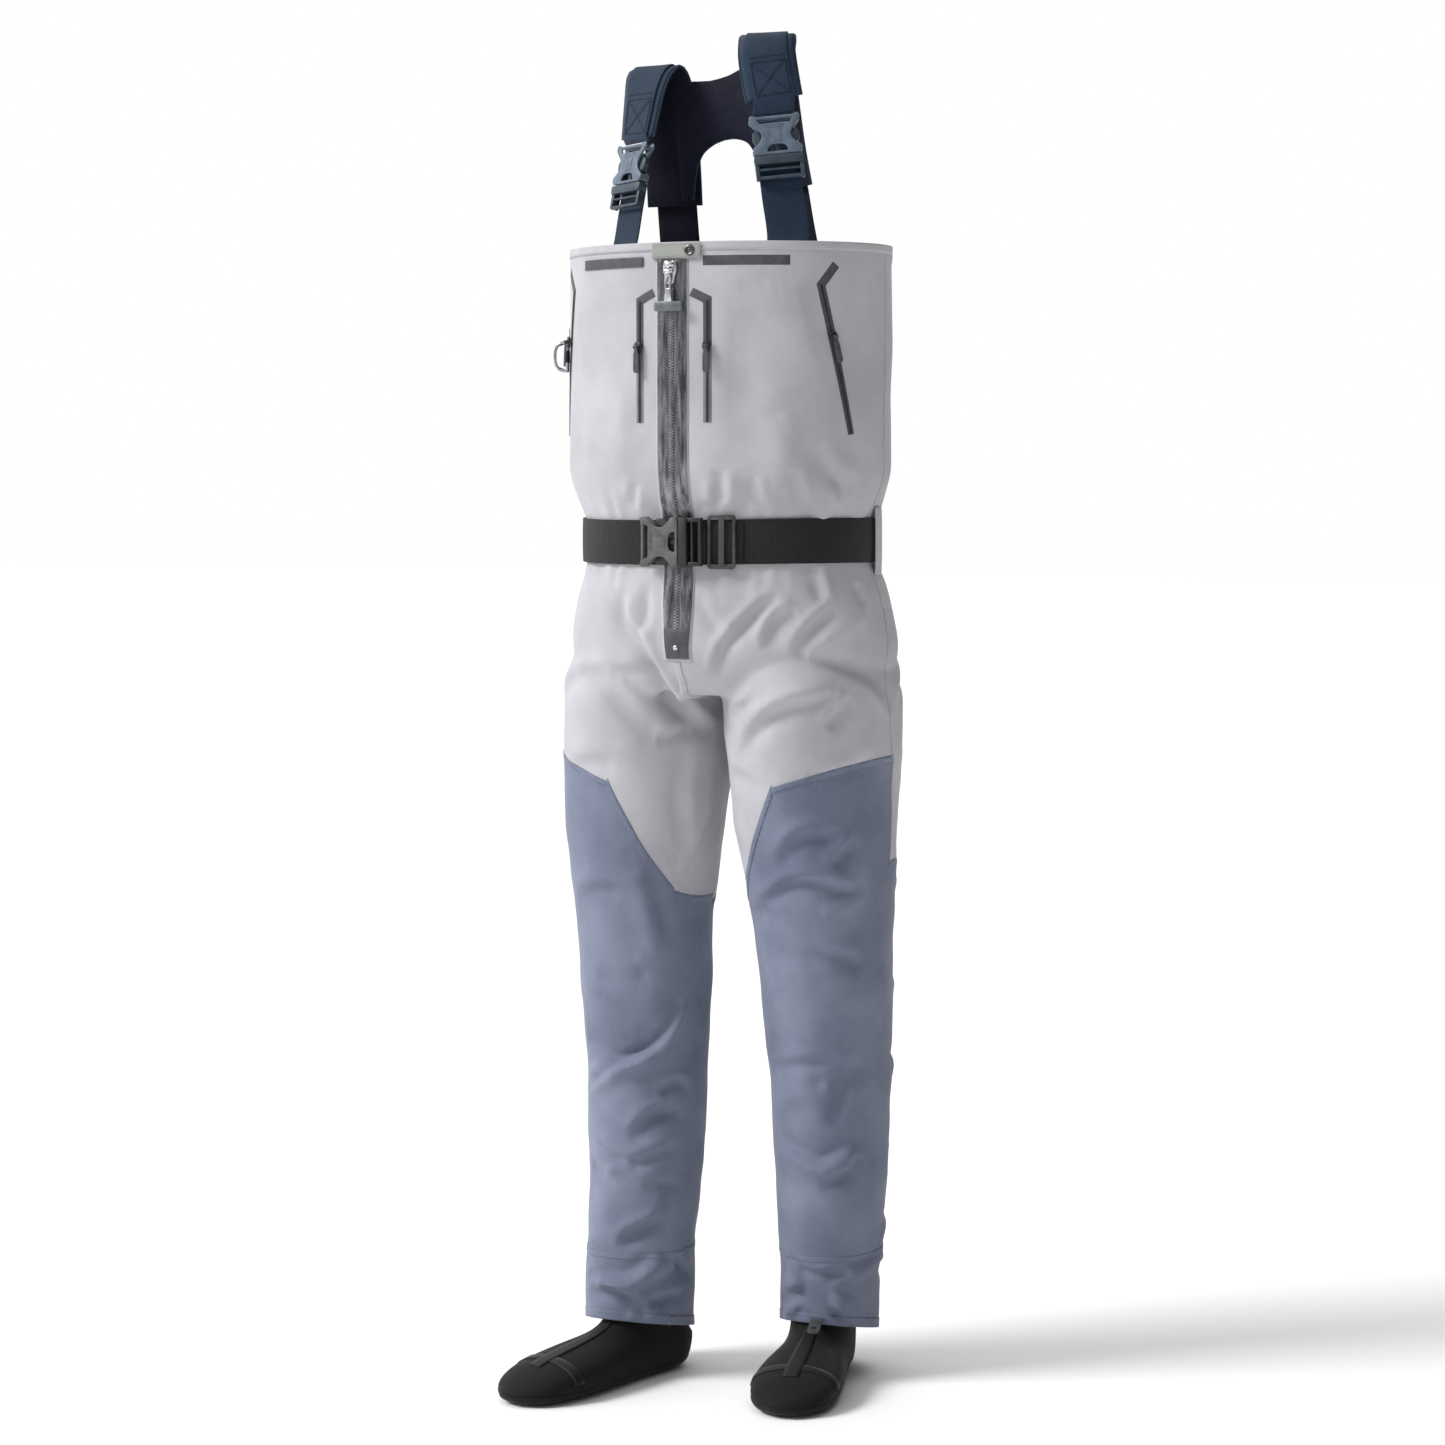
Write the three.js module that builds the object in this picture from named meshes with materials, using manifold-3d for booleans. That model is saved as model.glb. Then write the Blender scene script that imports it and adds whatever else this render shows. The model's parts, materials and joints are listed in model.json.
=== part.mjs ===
// Chest waders with a waterproof front zip, stocking feet, a wading belt and a clip-on shoulder harness.
// Millimetres, +Z up. The wearer faces -Y, so the wearer's left hand is at +X. The floor is z = 0.
import * as THREE from 'three';
import { mergeVertices } from 'three/addons/utils/BufferGeometryUtils.js';
import { LoftGeometry } from 'three/addons/geometries/LoftGeometry.js';
import Module from 'manifold-3d';

const wasm = await Module();
wasm.setup();

// ---- driving dimensions ----------------------------------------------------------------------
const HEM_HEIGHT = 1305; // top of the bib at the front and sides
const BACK_DIP = 140; // how far the bib's back is scooped below that
const WAIST_HEIGHT = 974; // middle of the belt
const CROTCH_HEIGHT = 800;
const CHEST_HALF_WIDTH = 192;
const CHEST_HALF_DEPTH = 145;
const WAIST_HALF_WIDTH = 171;
const WAIST_HALF_DEPTH = 132;
const HIP_HALF_WIDTH = 199;
const HIP_HALF_DEPTH = 147;
const TRUNK_X = 3; // the trunk's axis is this far to the wearer's left of the stance's middle
const FABRIC = 2.2; // laminate with its seam tape
const GAP = 0.4; // clearance between pieces that touch
const SEAM_GAP = 0.3; // clearance between two panels at a sewn seam
const GUARD_TOP = 150; // seam between the leg and its gravel guard
const GUARD_HEM_FRONT = 74;
const GUARD_HEM_BACK = 44;
const NEOPRENE = 4;
const FOOT_LENGTH = 284;
const SOLE_HEIGHT = 14;
const SOLE_FLAT = 1.5; // the soles are flat from this level down
const BELT_WIDTH = 50;
const BELT_THICK = 2;
const ZIP_TAPE_WIDTH = 36;
const ZIP_TAPE_THICK = 1.6;
const ZIP_BOTTOM = 843;
const ZIP_PULL_LENGTH = 44;
const POCKET_TAPE_WIDTH = 10;
const POCKET_TAPE_THICK = 1.2;
const STRAP_WIDTH = 47;
const STRAP_THICK = 1.8;
const PAD_WIDTH = 64;
const PAD_THICK = 5;
const BUCKLE_WIDTH = 57; // across the suspender buckles
const BELT_BUCKLE_WIDTH = 56;
const SHOULDER_RISE = 222; // shoulder's crown above the bib's hem
const SHOULDER_TILT = 17; // the wearer's left shoulder sits this much higher than the middle
const SHOULDER_SHIFT = 20; // the harness leans this far to the wearer's right at its crown
const RING_WIRE = 1.8; // radius of the D-ring's wire
const TRUNK_SIDES = 40;
const LEG_SIDES = 28;

// ---- finishes --------------------------------------------------------------------------------
const finish = (color, roughness, metalness = 0) =>
  new THREE.MeshStandardMaterial({ color, roughness, metalness });
const greyFabric = finish(0xcfced4, 0.85);
const blueFabric = finish(0x8a90a8, 0.85);
const neoprene = finish(0x0b0b0b, 0.9);
const blackWebbing = finish(0x191919, 0.9);
const navyWebbing = finish(0x162a3e, 0.85);
const navyMesh = finish(0x04071f, 0.95);
const zipRubber = finish(0x5b5d62, 0.35);
const zipMetal = finish(0x6a7175, 0.3, 0.8);
const pocketTape = finish(0x47464d, 0.6);
const buckleNylon = finish(0x5b6976, 0.45);
const blackNylon = finish(0x1c1c1d, 0.5);
const greyNylon = finish(0x595959, 0.5);
const ringSteel = finish(0xa8abad, 0.25, 1);

// ---- mesh helpers ----------------------------------------------------------------------------
const V = (x, y, z) => new THREE.Vector3(x, y, z);
const lerp = THREE.MathUtils.lerp;
const rad = THREE.MathUtils.degToRad;

// A closed three.js geometry as a manifold solid.
function solid(geometry) {
  const open = geometry.index ? geometry.toNonIndexed() : geometry.clone();
  open.deleteAttribute('normal');
  open.deleteAttribute('uv');
  const merged = mergeVertices(open, 1e-4);
  return new wasm.Manifold(new wasm.Mesh({
    numProp: 3,
    vertProperties: merged.attributes.position.array,
    triVerts: new Uint32Array(merged.index.array),
  }));
}

// A manifold solid as a three.js geometry.
function geometryOf(made) {
  const { numProp, vertProperties, triVerts } = made.getMesh();
  const position = new Float32Array((vertProperties.length / numProp) * 3);
  for (let i = 0; i < position.length / 3; i++) {
    position.set(vertProperties.subarray(i * numProp, i * numProp + 3), i * 3);
  }
  const geometry = new THREE.BufferGeometry();
  geometry.setAttribute('position', new THREE.BufferAttribute(position, 3));
  geometry.setIndex(new THREE.BufferAttribute(triVerts, 1));
  geometry.computeVertexNormals();
  return geometry;
}

const joined = (...solids) => solids.reduce((a, b) => a.add(b));

// A closed skin through rings of points, whichever way round the rings are listed.
function loft(rings) {
  const centre = (points) => points.reduce((sum, p) => sum.add(p), V(0, 0, 0)).divideScalar(points.length);
  let facing = 0;
  for (let i = 0; i + 1 < rings.length; i++) {
    const area = V(0, 0, 0);
    rings[i].forEach((p, k) => area.add(p.clone().cross(rings[i][(k + 1) % rings[i].length])));
    facing += area.dot(centre(rings[i + 1]).sub(centre(rings[i])));
  }
  const ordered = facing < 0 ? rings.map((points) => points.slice().reverse()) : rings;
  return solid(new LoftGeometry(ordered, { capStart: true, capEnd: true }));
}

// A box between two corners.
function block(x0, x1, y0, y1, z0, z1) {
  const geometry = new THREE.BoxGeometry(x1 - x0, y1 - y0, z1 - z0);
  geometry.translate((x0 + x1) / 2, (y0 + y1) / 2, (z0 + z1) / 2);
  return solid(geometry);
}

// A cylinder of a given radius between two points.
function rod(from, to, radius, sides = 12) {
  const axis = to.clone().sub(from);
  const geometry = new THREE.CylinderGeometry(radius, radius, axis.length(), sides);
  geometry.applyQuaternion(new THREE.Quaternion().setFromUnitVectors(V(0, 1, 0), axis.normalize()));
  geometry.translate((from.x + to.x) / 2, (from.y + to.y) / 2, (from.z + to.z) / 2);
  return solid(geometry);
}

// An outline in the x-z plane, extruded from y0 to y1.
function plate(outline, y0, y1) {
  const shape = new THREE.Shape(outline.map(([x, z]) => new THREE.Vector2(x, z)));
  const geometry = new THREE.ExtrudeGeometry(shape, { depth: y1 - y0, bevelEnabled: false });
  geometry.rotateX(Math.PI / 2); // (x, y, depth) becomes (x, -depth, z)
  geometry.translate(0, y1, 0);
  return solid(geometry);
}

// An outline in the y-z plane, extruded from x0 to x1.
function sidePlate(outline, x0, x1) {
  const shape = new THREE.Shape(outline.map(([y, z]) => new THREE.Vector2(y, z)));
  const geometry = new THREE.ExtrudeGeometry(shape, { depth: x1 - x0, bevelEnabled: false });
  geometry.applyMatrix4(new THREE.Matrix4().makeBasis(V(0, 1, 0), V(0, 0, 1), V(1, 0, 0)));
  geometry.translate(x0, 0, 0);
  return solid(geometry);
}

// A flat band that follows a path: each step is { at, across, normal, width, thick }.
function band(steps) {
  return loft(steps.map(({ at, across, normal, width, thick }) =>
    [[-1, -1], [-1, 1], [1, 1], [1, -1]].map(([i, j]) => at.clone()
      .addScaledVector(across, (i * width) / 2)
      .addScaledVector(normal, (j * thick) / 2))));
}

// ---- the garment's sections ------------------------------------------------------------------
// Each row is [height, axis x, axis y, half width, half depth], from low to high.
const PINCH = 27; // the waist's cylinder reaches this far above and below its middle
const BLOUSE = 76; // the chest's cylinder starts this far above the waist
const hipRow = (share, half, depth, y) => [
  lerp(CROTCH_HEIGHT, WAIST_HEIGHT - PINCH, share), TRUNK_X + 2, y,
  lerp(WAIST_HALF_WIDTH, HIP_HALF_WIDTH, half), lerp(WAIST_HALF_DEPTH, HIP_HALF_DEPTH, depth),
];
const TRUNK = [
  hipRow(0, 0.1, -1.2, 8),
  hipRow(0.16, 0.75, 0.2, 8),
  hipRow(0.36, 0.95, 0.93, 7),
  hipRow(0.56, 0.82, 0.75, 6),
  hipRow(0.78, 0.55, 0.5, 4),
  hipRow(0.91, 0.25, 0.25, 3),
  [WAIST_HEIGHT - PINCH, TRUNK_X, 1, WAIST_HALF_WIDTH, WAIST_HALF_DEPTH],
  [WAIST_HEIGHT + PINCH, TRUNK_X, 1, WAIST_HALF_WIDTH, WAIST_HALF_DEPTH],
  [WAIST_HEIGHT + 44, TRUNK_X, 0.5, lerp(WAIST_HALF_WIDTH, CHEST_HALF_WIDTH, 0.5),
    lerp(WAIST_HALF_DEPTH, CHEST_HALF_DEPTH, 0.55)],
  [WAIST_HEIGHT + BLOUSE, TRUNK_X, 0, CHEST_HALF_WIDTH, CHEST_HALF_DEPTH],
  [HEM_HEIGHT, TRUNK_X, 0, CHEST_HALF_WIDTH, CHEST_HALF_DEPTH],
];
// Legs: [share of the crotch's height, right x, right y, left x, left y, half width, half depth,
// share of the foot's splay by which the section is turned].
const LEG_TABLE = [
  [0.035, -100, -26.5, 103, 61, 56, 69, 1],
  [0.0875, -100, -27, 104, 60, 56.5, 69, 1],
  [0.1875, -97, -30, 108, 55, 60, 69, 0.7],
  [0.305, -88, -32, 115, 41, 64, 70, 0.3],
  [0.45, -91, -24, 118, 31, 69, 75, 0],
  [0.56, -95, -18, 118, 23, 75, 81, 0],
  [0.67, -102, -12, 117, 15, 79, 87, 0],
  [0.81, -103, -5, 111, 5, 92, 101, 0],
  [0.92, -101, 4, 108, 6, 97, 116, 0],
  [1, -98, 8, 105, 8, 98, 127, 0],
  [1.04, -95, 8, 101, 8, 95, 124, 0],
  [1.08, -88, 8, 93, 8, 84, 104, 0],
];
const FEET = {
  right: { heel: [-73, 28], splay: -17 },
  left: { heel: [82, 118], splay: 13 },
};
const legRows = (side) => LEG_TABLE.map(([share, rx, ry, lx, ly, w, d, turned]) => [
  share * CROTCH_HEIGHT, side === 'right' ? rx : lx, side === 'right' ? ry : ly, w, d,
  turned * rad(FEET[side].splay)]);
const LEGS = { right: legRows('right'), left: legRows('left') };

// The section of a table at a height, between its rows.
function sectionAt(rows, z) {
  const top = rows.findIndex((row) => row[0] >= z);
  const hi = Math.max(1, top < 0 ? rows.length - 1 : top);
  const share = (z - rows[hi - 1][0]) / (rows[hi][0] - rows[hi - 1][0]);
  const [x, y, w, d, turn] = [1, 2, 3, 4, 5].map((k) => (
    lerp(rows[hi - 1][k] ?? 0, rows[hi][k] ?? 0, share)));
  return { x, y, w, d, turn };
}

// A horizontal ring of a section, drawn in by an inset.
function ring(section, z, inset, sides) {
  return Array.from({ length: sides }, (_, k) => {
    const a = (k / sides) * 2 * Math.PI;
    const offset = V((section.w - inset) * Math.cos(a), (section.d - inset) * Math.sin(a), 0);
    return offset.applyAxisAngle(V(0, 0, 1), section.turn).add(V(section.x, section.y, z));
  });
}

// A closed tube through a table's rows; `low` and `high` replace its end heights.
function tube(rows, inset, sides, low, high) {
  const heights = [low, ...rows.map((row) => row[0]).filter((z) => z > low && z < high), high];
  return loft(heights.map((z) => ring(sectionAt(rows, z), z, inset, sides)));
}

// ---- places on the chest ---------------------------------------------------------------------
// A place is an angle in degrees from the front centre, towards the wearer's left, and a height.
function onTrunk(degrees, z, lift = 0) {
  const s = sectionAt(TRUNK, z);
  const a = rad(degrees);
  const normal = V(Math.sin(a) / s.w, -Math.cos(a) / s.d, 0).normalize();
  const at = V(s.x + s.w * Math.sin(a), s.y - s.d * Math.cos(a), z).addScaledVector(normal, lift);
  return { at, normal };
}

// A tape that lies on the chest along places, with mitred corners.
function tape(places, width, thick, gap = GAP) {
  const points = places.map(([deg, z]) => onTrunk(deg, z, gap + thick / 2));
  return band(points.map(({ at, normal }, i) => {
    const before = points[Math.max(0, i - 1)].at;
    const after = points[Math.min(points.length - 1, i + 1)].at;
    const along = after.clone().sub(before).normalize();
    const inward = (i === 0 ? after.clone().sub(at) : at.clone().sub(before)).normalize();
    const across = new THREE.Vector3().crossVectors(along, normal).normalize();
    return { at, across, normal, width: width / Math.max(0.5, inward.dot(along)), thick };
  }));
}

// Places from one angle to another in steps, so that the tape hugs the chest.
const sweep = (from, to, z0, z1, steps) => Array.from({ length: steps + 1 }, (_, i) => (
  [lerp(from, to, i / steps), lerp(z0, z1, i / steps)]));

const waders = new THREE.Group();
function add(name, made, material, parent = waders) {
  const mesh = new THREE.Mesh(geometryOf(made), material);
  mesh.name = name;
  parent.add(mesh);
  return mesh;
}

// ---- shells: bib, hips, legs and gravel guards -----------------------------------------------
const FAR = 600;
const legOf = (side) => LEGS[side];
const legFoot = LEG_TABLE[0][0] * CROTCH_HEIGHT;
const legTop = LEG_TABLE.at(-1)[0] * CROTCH_HEIGHT;
const outer = joined(
  tube(TRUNK, 0, TRUNK_SIDES, CROTCH_HEIGHT, HEM_HEIGHT),
  tube(legOf('right'), 0, LEG_SIDES, legFoot, legTop),
  tube(legOf('left'), 0, LEG_SIDES, legFoot, legTop),
);
const inner = joined(
  tube(TRUNK, FABRIC, TRUNK_SIDES, CROTCH_HEIGHT + FABRIC, HEM_HEIGHT + 20),
  tube(legOf('right'), FABRIC, LEG_SIDES, legFoot - 20, legTop),
  tube(legOf('left'), FABRIC, LEG_SIDES, legFoot - 20, legTop),
);
const SLOT_HALF = 5; // the zip covers a slot of this half width
const zipSlot = block(TRUNK_X - SLOT_HALF, TRUNK_X + SLOT_HALF, -FAR, -60, ZIP_BOTTOM + 12, FAR * 3);
// The bib's top edge falls away from just behind the side seams to the middle of the back.
const dipStart = CHEST_HALF_DEPTH * 0.3;
const dipEnd = CHEST_HALF_DEPTH * 0.97;
const dipCurve = Array.from({ length: 9 }, (_, i) => {
  const share = i / 8;
  const fall = share * share * (3 - 2 * share);
  return [lerp(dipStart, dipEnd, share), HEM_HEIGHT - BACK_DIP * fall];
});
const backScoop = sidePlate(
  [...dipCurve, [FAR, HEM_HEIGHT - BACK_DIP], [FAR, FAR * 3], [dipStart, FAR * 3]], -FAR, FAR);
// Each gravel guard's hem slopes from the instep down to the heel.
const guardHem = (side) => {
  const { y, d } = sectionAt(LEGS[side], GUARD_HEM_FRONT);
  const [x0, x1] = side === 'right' ? [-FAR, TRUNK_X] : [TRUNK_X, FAR];
  const fall = (GUARD_HEM_FRONT - GUARD_HEM_BACK) / 2;
  const middle = (GUARD_HEM_FRONT + GUARD_HEM_BACK) / 2;
  return sidePlate([[y - 1.4 * d, 0], [y + 1.4 * d, 0], [y + 1.4 * d, middle - 1.4 * fall],
    [y - 1.4 * d, middle + 1.4 * fall]], x0, x1);
};
const hems = joined(...['right', 'left'].map((side) => guardHem(side)));
const shell = outer.subtract(inner).subtract(zipSlot).subtract(backScoop).subtract(hems);

const SIDE_SEAM_Y = 6;
const half = SEAM_GAP / 2;
const frontSide = block(-FAR, FAR, -FAR, SIDE_SEAM_Y - half, -10, FAR * 3);
const backSide = block(-FAR, FAR, SIDE_SEAM_Y + half, FAR, -10, FAR * 3);
const rightSide = block(-FAR, TRUNK_X - half, -FAR, FAR, -10, FAR * 3);
const leftSide = block(TRUNK_X + half, FAR, -FAR, FAR, -10, FAR * 3);
const aboveWaist = block(-FAR, FAR, -FAR, FAR, WAIST_HEIGHT + half, FAR * 3);
const belowWaist = block(-FAR, FAR, -FAR, FAR, GUARD_TOP + half, WAIST_HEIGHT - half);

// The knee panel starts high at the outer seam, drops at the front of the thigh and runs round the
// inside of the knee; at the back it is cut nearly level.
const PANEL_OUTER = 730;
const PANEL_FRONT = 697;
const PANEL_CORNER = 570;
const PANEL_INNER = 545;
const PANEL_BACK_OUTER = 610;
function kneeRegion(side, raise) {
  const s = side === 'left' ? 1 : -1;
  const axis = sectionAt(LEGS[side], PANEL_FRONT).x;
  const spread = 100;
  const inside = TRUNK_X + s * half;
  const top = raise;
  const flip = (points) => (s > 0 ? points : points.slice().reverse());
  const frontCut = plate(flip([
    [inside, 0], [s * FAR, 0],
    [s * FAR, PANEL_FRONT + ((FAR - Math.abs(axis)) / spread) * (PANEL_OUTER - PANEL_FRONT) + top],
    [axis - s * 3, PANEL_FRONT + top], [axis - s * 66, PANEL_CORNER + top],
    [inside, PANEL_INNER + top],
  ]), -FAR, SIDE_SEAM_Y);
  const backCut = plate(flip([
    [inside, 0], [s * FAR, 0],
    [s * FAR, PANEL_INNER + (FAR / (2 * spread)) * (PANEL_BACK_OUTER - PANEL_INNER) + top],
    [inside, PANEL_INNER + top],
  ]), SIDE_SEAM_Y, FAR);
  return frontCut.add(backCut);
}
const chest = shell.intersect(aboveWaist);
add('chest_front_right', chest.intersect(frontSide).intersect(rightSide), greyFabric);
add('chest_front_left', chest.intersect(frontSide).intersect(leftSide), greyFabric);
add('chest_back', chest.intersect(backSide), greyFabric);
const lower = shell.intersect(belowWaist);
const hips = lower.subtract(kneeRegion('right', SEAM_GAP)).subtract(kneeRegion('left', SEAM_GAP));
add('hip_front_right', hips.intersect(frontSide).intersect(rightSide), greyFabric);
add('hip_front_left', hips.intersect(frontSide).intersect(leftSide), greyFabric);
add('seat', hips.intersect(backSide), greyFabric);
for (const side of ['right', 'left']) {
  const half = side === 'right' ? rightSide : leftSide;
  add(`lower_leg_${side}`, lower.intersect(kneeRegion(side, 0)), blueFabric);
  add(`gravel_guard_${side}`,
    shell.intersect(half).intersect(block(-FAR, FAR, -FAR, FAR, 0, GUARD_TOP - SEAM_GAP / 2)), blueFabric);
}

// ---- neoprene stocking feet ------------------------------------------------------------------
// Each foot is a row of rings from the shaft's top to the toe. A ring runs from a point on the
// instep to a point on the heel or sole, both [along the foot from the heel, height].
const FOOT_RINGS = [
  { front: [108, 128], back: [14, 128], half: 41 },
  { front: [108, 104], back: [10, 96], half: 38 },
  { front: [112, 86], back: [3, 60], half: 36 },
  { front: [118, 75], back: [1, 28], half: 36 },
  { front: [126, 68], back: [16, 4], half: 37 },
  { front: [138, 62], back: [62, 0], half: 38 },
  { front: [152, 58], back: [112, 0], half: 42 },
  { front: [178, 53], back: [165, 0], half: 48 },
  { front: [212, 47], back: [206, 0], half: 50 },
  { front: [242, 40], back: [240, 0], half: 46 },
  { front: [264, 31], back: [264, 2], half: 36 },
  { front: [278, 22], back: [279, 6], half: 19 },
];
const FOOT_SIDES = 20;
const footStretch = FOOT_LENGTH / 284;

// Turns a point [along, across, up] of a foot into the part's frame.
function footPoint(side, along, across, up) {
  const { heel, splay } = FEET[side];
  const a = rad(splay);
  return V(heel[0] + along * footStretch * Math.sin(a) + across * Math.cos(a),
    heel[1] - along * footStretch * Math.cos(a) + across * Math.sin(a), up);
}

// A superellipse ring between the instep point and the sole point, drawn in by an inset.
function footRing(side, { front, back, half: wide }, inset) {
  const [cu, cw] = [(front[0] + back[0]) / 2, (front[1] + back[1]) / 2];
  const [du, dw] = [(front[0] - back[0]) / 2, (front[1] - back[1]) / 2];
  const reach = Math.hypot(du, dw);
  const shrink = Math.max(0.25, (reach - inset) / reach);
  return Array.from({ length: FOOT_SIDES }, (_, k) => {
    const a = (k / FOOT_SIDES) * 2 * Math.PI;
    const sole = Math.sin(a) > 0 && back[1] < 40;
    const power = sole ? 2 / 3.2 : 2 / 2.1; // the sole is flatter than the instep
    const c = Math.sign(Math.cos(a)) * Math.abs(Math.cos(a)) ** power;
    const s = Math.sign(Math.sin(a)) * Math.abs(Math.sin(a)) ** power;
    return footPoint(side, cu - du * shrink * s, Math.max(4, wide - inset) * c, cw - dw * shrink * s);
  });
}

// The shaft's top flares to the inside of the leg, where it is taped in.
const shaftRing = (side, z, inset) => ring(sectionAt(LEGS[side], z), z, inset, FOOT_SIDES);
const FEET_TOP = GUARD_TOP + 22;
function sock(side, inset, topZ) {
  const wall = FABRIC + GAP + 0.7 + inset;
  const rings = [shaftRing(side, topZ, wall), shaftRing(side, FEET_TOP - 14, wall)];
  const rows = inset > 0 ? FOOT_RINGS.slice(0, -1) : FOOT_RINGS; // the hollow stops short of the toe
  rows.forEach((row) => rings.push(footRing(side, row, inset)));
  return rings;
}
for (const side of ['right', 'left']) {
  const boot = loft(sock(side, 0, FEET_TOP)).subtract(loft(sock(side, NEOPRENE, FEET_TOP + 10)));
  add(`bootie_${side}`, boot.intersect(block(-FAR, FAR, -FAR, FAR, SOLE_HEIGHT + half, FAR)), neoprene);
  add(`bootie_sole_${side}`, boot.intersect(block(-FAR, FAR, -FAR, FAR, SOLE_FLAT, SOLE_HEIGHT - half)), neoprene);
}

// ---- front zip -------------------------------------------------------------------------------
const TAB_HEIGHT = 17;
const tabZ = HEM_HEIGHT - 1 - TAB_HEIGHT / 2;
const zipTop = tabZ - TAB_HEIGHT / 2 - 1.5;
const frontY = (z) => { const s = sectionAt(TRUNK, z); return s.y - s.d; };
const RIDGE_HALF = 3; // the row of moulded teeth stands proud of the tape
const RIDGE_HIGH = 1.4;
const zipGap = 0.5;
function zipSection(z) {
  const y = frontY(z) - zipGap;
  const w = z < ZIP_BOTTOM + 60 ? lerp(14, ZIP_TAPE_WIDTH / 2, (z - ZIP_BOTTOM) / 60) : ZIP_TAPE_WIDTH / 2;
  const face = y - ZIP_TAPE_THICK;
  return [[-w, y], [-w, face], [-RIDGE_HALF, face], [-RIDGE_HALF, face - RIDGE_HIGH],
    [RIDGE_HALF, face - RIDGE_HIGH], [RIDGE_HALF, face], [w, face], [w, y]]
    .map(([x, yy]) => V(TRUNK_X + x, yy, z));
}
const zipHeights = [ZIP_BOTTOM, ZIP_BOTTOM + 60,
  ...TRUNK.map((row) => row[0]).filter((z) => z > ZIP_BOTTOM + 5 && z < zipTop - 5), zipTop]
  .sort((a, b) => a - b);
add('front_zip', loft(zipHeights.map(zipSection)), zipRubber);

// A slider with two ears and a pin, and the pull that swings on that pin. Built with the zip's line
// along z, its face towards -y and the pin at the origin.
function sliderAndPull({ wide, long, deep, channel, ear, pull }) {
  const pin = ear.pin;
  const back = ear.reach + deep;
  let body = block(-wide / 2, wide / 2, ear.reach, back, -long * 0.55, long * 0.45);
  if (channel) body = body.subtract(block(-channel.half, channel.half, back - channel.deep, back + 5, -99, 99));
  const earX = pull.barrel / 2 + 0.4;
  for (const s of [-1, 1]) {
    const x0 = s > 0 ? earX : -earX - ear.thick;
    body = body.add(block(x0, x0 + ear.thick, -pin - 0.9, ear.reach + 0.5, -pin - 0.9, pin + 0.9));
  }
  body = body.add(rod(V(-earX - ear.thick / 2, 0, 0), V(earX + ear.thick / 2, 0, 0), pin, 10));
  const eye = pin + 0.35;
  const outerEye = eye + 0.9;
  let tab = rod(V(-pull.barrel / 2, 0, 0), V(pull.barrel / 2, 0, 0), outerEye, 12);
  tab = tab.add(plate(pull.outline, -pull.thick / 2, pull.thick / 2));
  if (pull.bar) tab = tab.add(pull.bar);
  tab = tab.subtract(rod(V(-pull.barrel, 0, 0), V(pull.barrel, 0, 0), eye, 12));
  return { body, tab };
}
const MAIN_EAR = { reach: 2.8, thick: 1.6, pin: 1.1 };
const MAIN_DEEP = 4.4;
const mainSlider = sliderAndPull({
  wide: 17, long: 26, deep: MAIN_DEEP, channel: { half: RIDGE_HALF + 0.5, deep: 1.9 }, ear: MAIN_EAR,
  pull: {
    barrel: 7, thick: 2.6,
    outline: [[-3.2, -0.5], [-4.4, -14], [-4.4, -ZIP_PULL_LENGTH + 8], [4.4, -ZIP_PULL_LENGTH + 8],
      [4.4, -14], [3.2, -0.5]],
    bar: block(-17, 17, -2.6, 2.2, -ZIP_PULL_LENGTH, -ZIP_PULL_LENGTH + 11),
  },
});
const mainPinY = frontY(zipTop) - zipGap - ZIP_TAPE_THICK - GAP - MAIN_DEEP - MAIN_EAR.reach;
const mainPinZ = zipTop - 13;
const main = new THREE.Group();
main.position.set(TRUNK_X, mainPinY, mainPinZ);
waders.add(main);
add('front_zip_slider', mainSlider.body, zipMetal, main);
add('front_zip_pull', mainSlider.tab, zipMetal, main);

// ---- snap tab over the top of the zip --------------------------------------------------------
const TAB_FROM = -7;
const TAB_TO = 10.5;
const SNAP_AT = 6.7;
const STUD_HIGH = 1.5;
const TAB_THICK = 1.4;
const tabGap = GAP + STUD_HIGH + 0.4;
const HINGE_ROUND = 1.3;
const hingeAt = onTrunk(TAB_FROM, tabZ, GAP + HINGE_ROUND);
const tabHinge = rod(hingeAt.at.clone().setZ(tabZ - TAB_HEIGHT / 2), hingeAt.at.clone().setZ(tabZ + TAB_HEIGHT / 2),
  HINGE_ROUND, 12);
add('snap_tab', tape(sweep(TAB_FROM, TAB_TO, tabZ, tabZ, 4), TAB_HEIGHT, TAB_THICK, tabGap).add(tabHinge), greyFabric);
function disc(place, lift, radius, high) {
  const { at, normal } = onTrunk(place[0], place[1], lift);
  return rod(at, at.clone().addScaledVector(normal, high), radius, 20);
}
add('snap_stud', disc([SNAP_AT, tabZ], GAP, 4.2, STUD_HIGH), zipMetal);
add('snap_cap', disc([SNAP_AT, tabZ], tabGap + TAB_THICK + GAP + 0.2, 6, 2), zipMetal);

// ---- accessory bars and pocket zips ----------------------------------------------------------
const BAR_Z = HEM_HEIGHT - 21;
const POCKETS = {
  inner: { path: [[6.9, HEM_HEIGHT - 55], [12.6, HEM_HEIGHT - 64], [12.6, HEM_HEIGHT - 199]], slider: 1190 },
  outer: { path: [[60, HEM_HEIGHT - 25], [53.5, HEM_HEIGHT - 48], [67.5, HEM_HEIGHT - 212]], slider: 1200 },
};
const SLIDER_DEEP = 3;
const POCKET_EAR = { reach: 2.4, thick: 1.1, pin: 0.8 };
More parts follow.
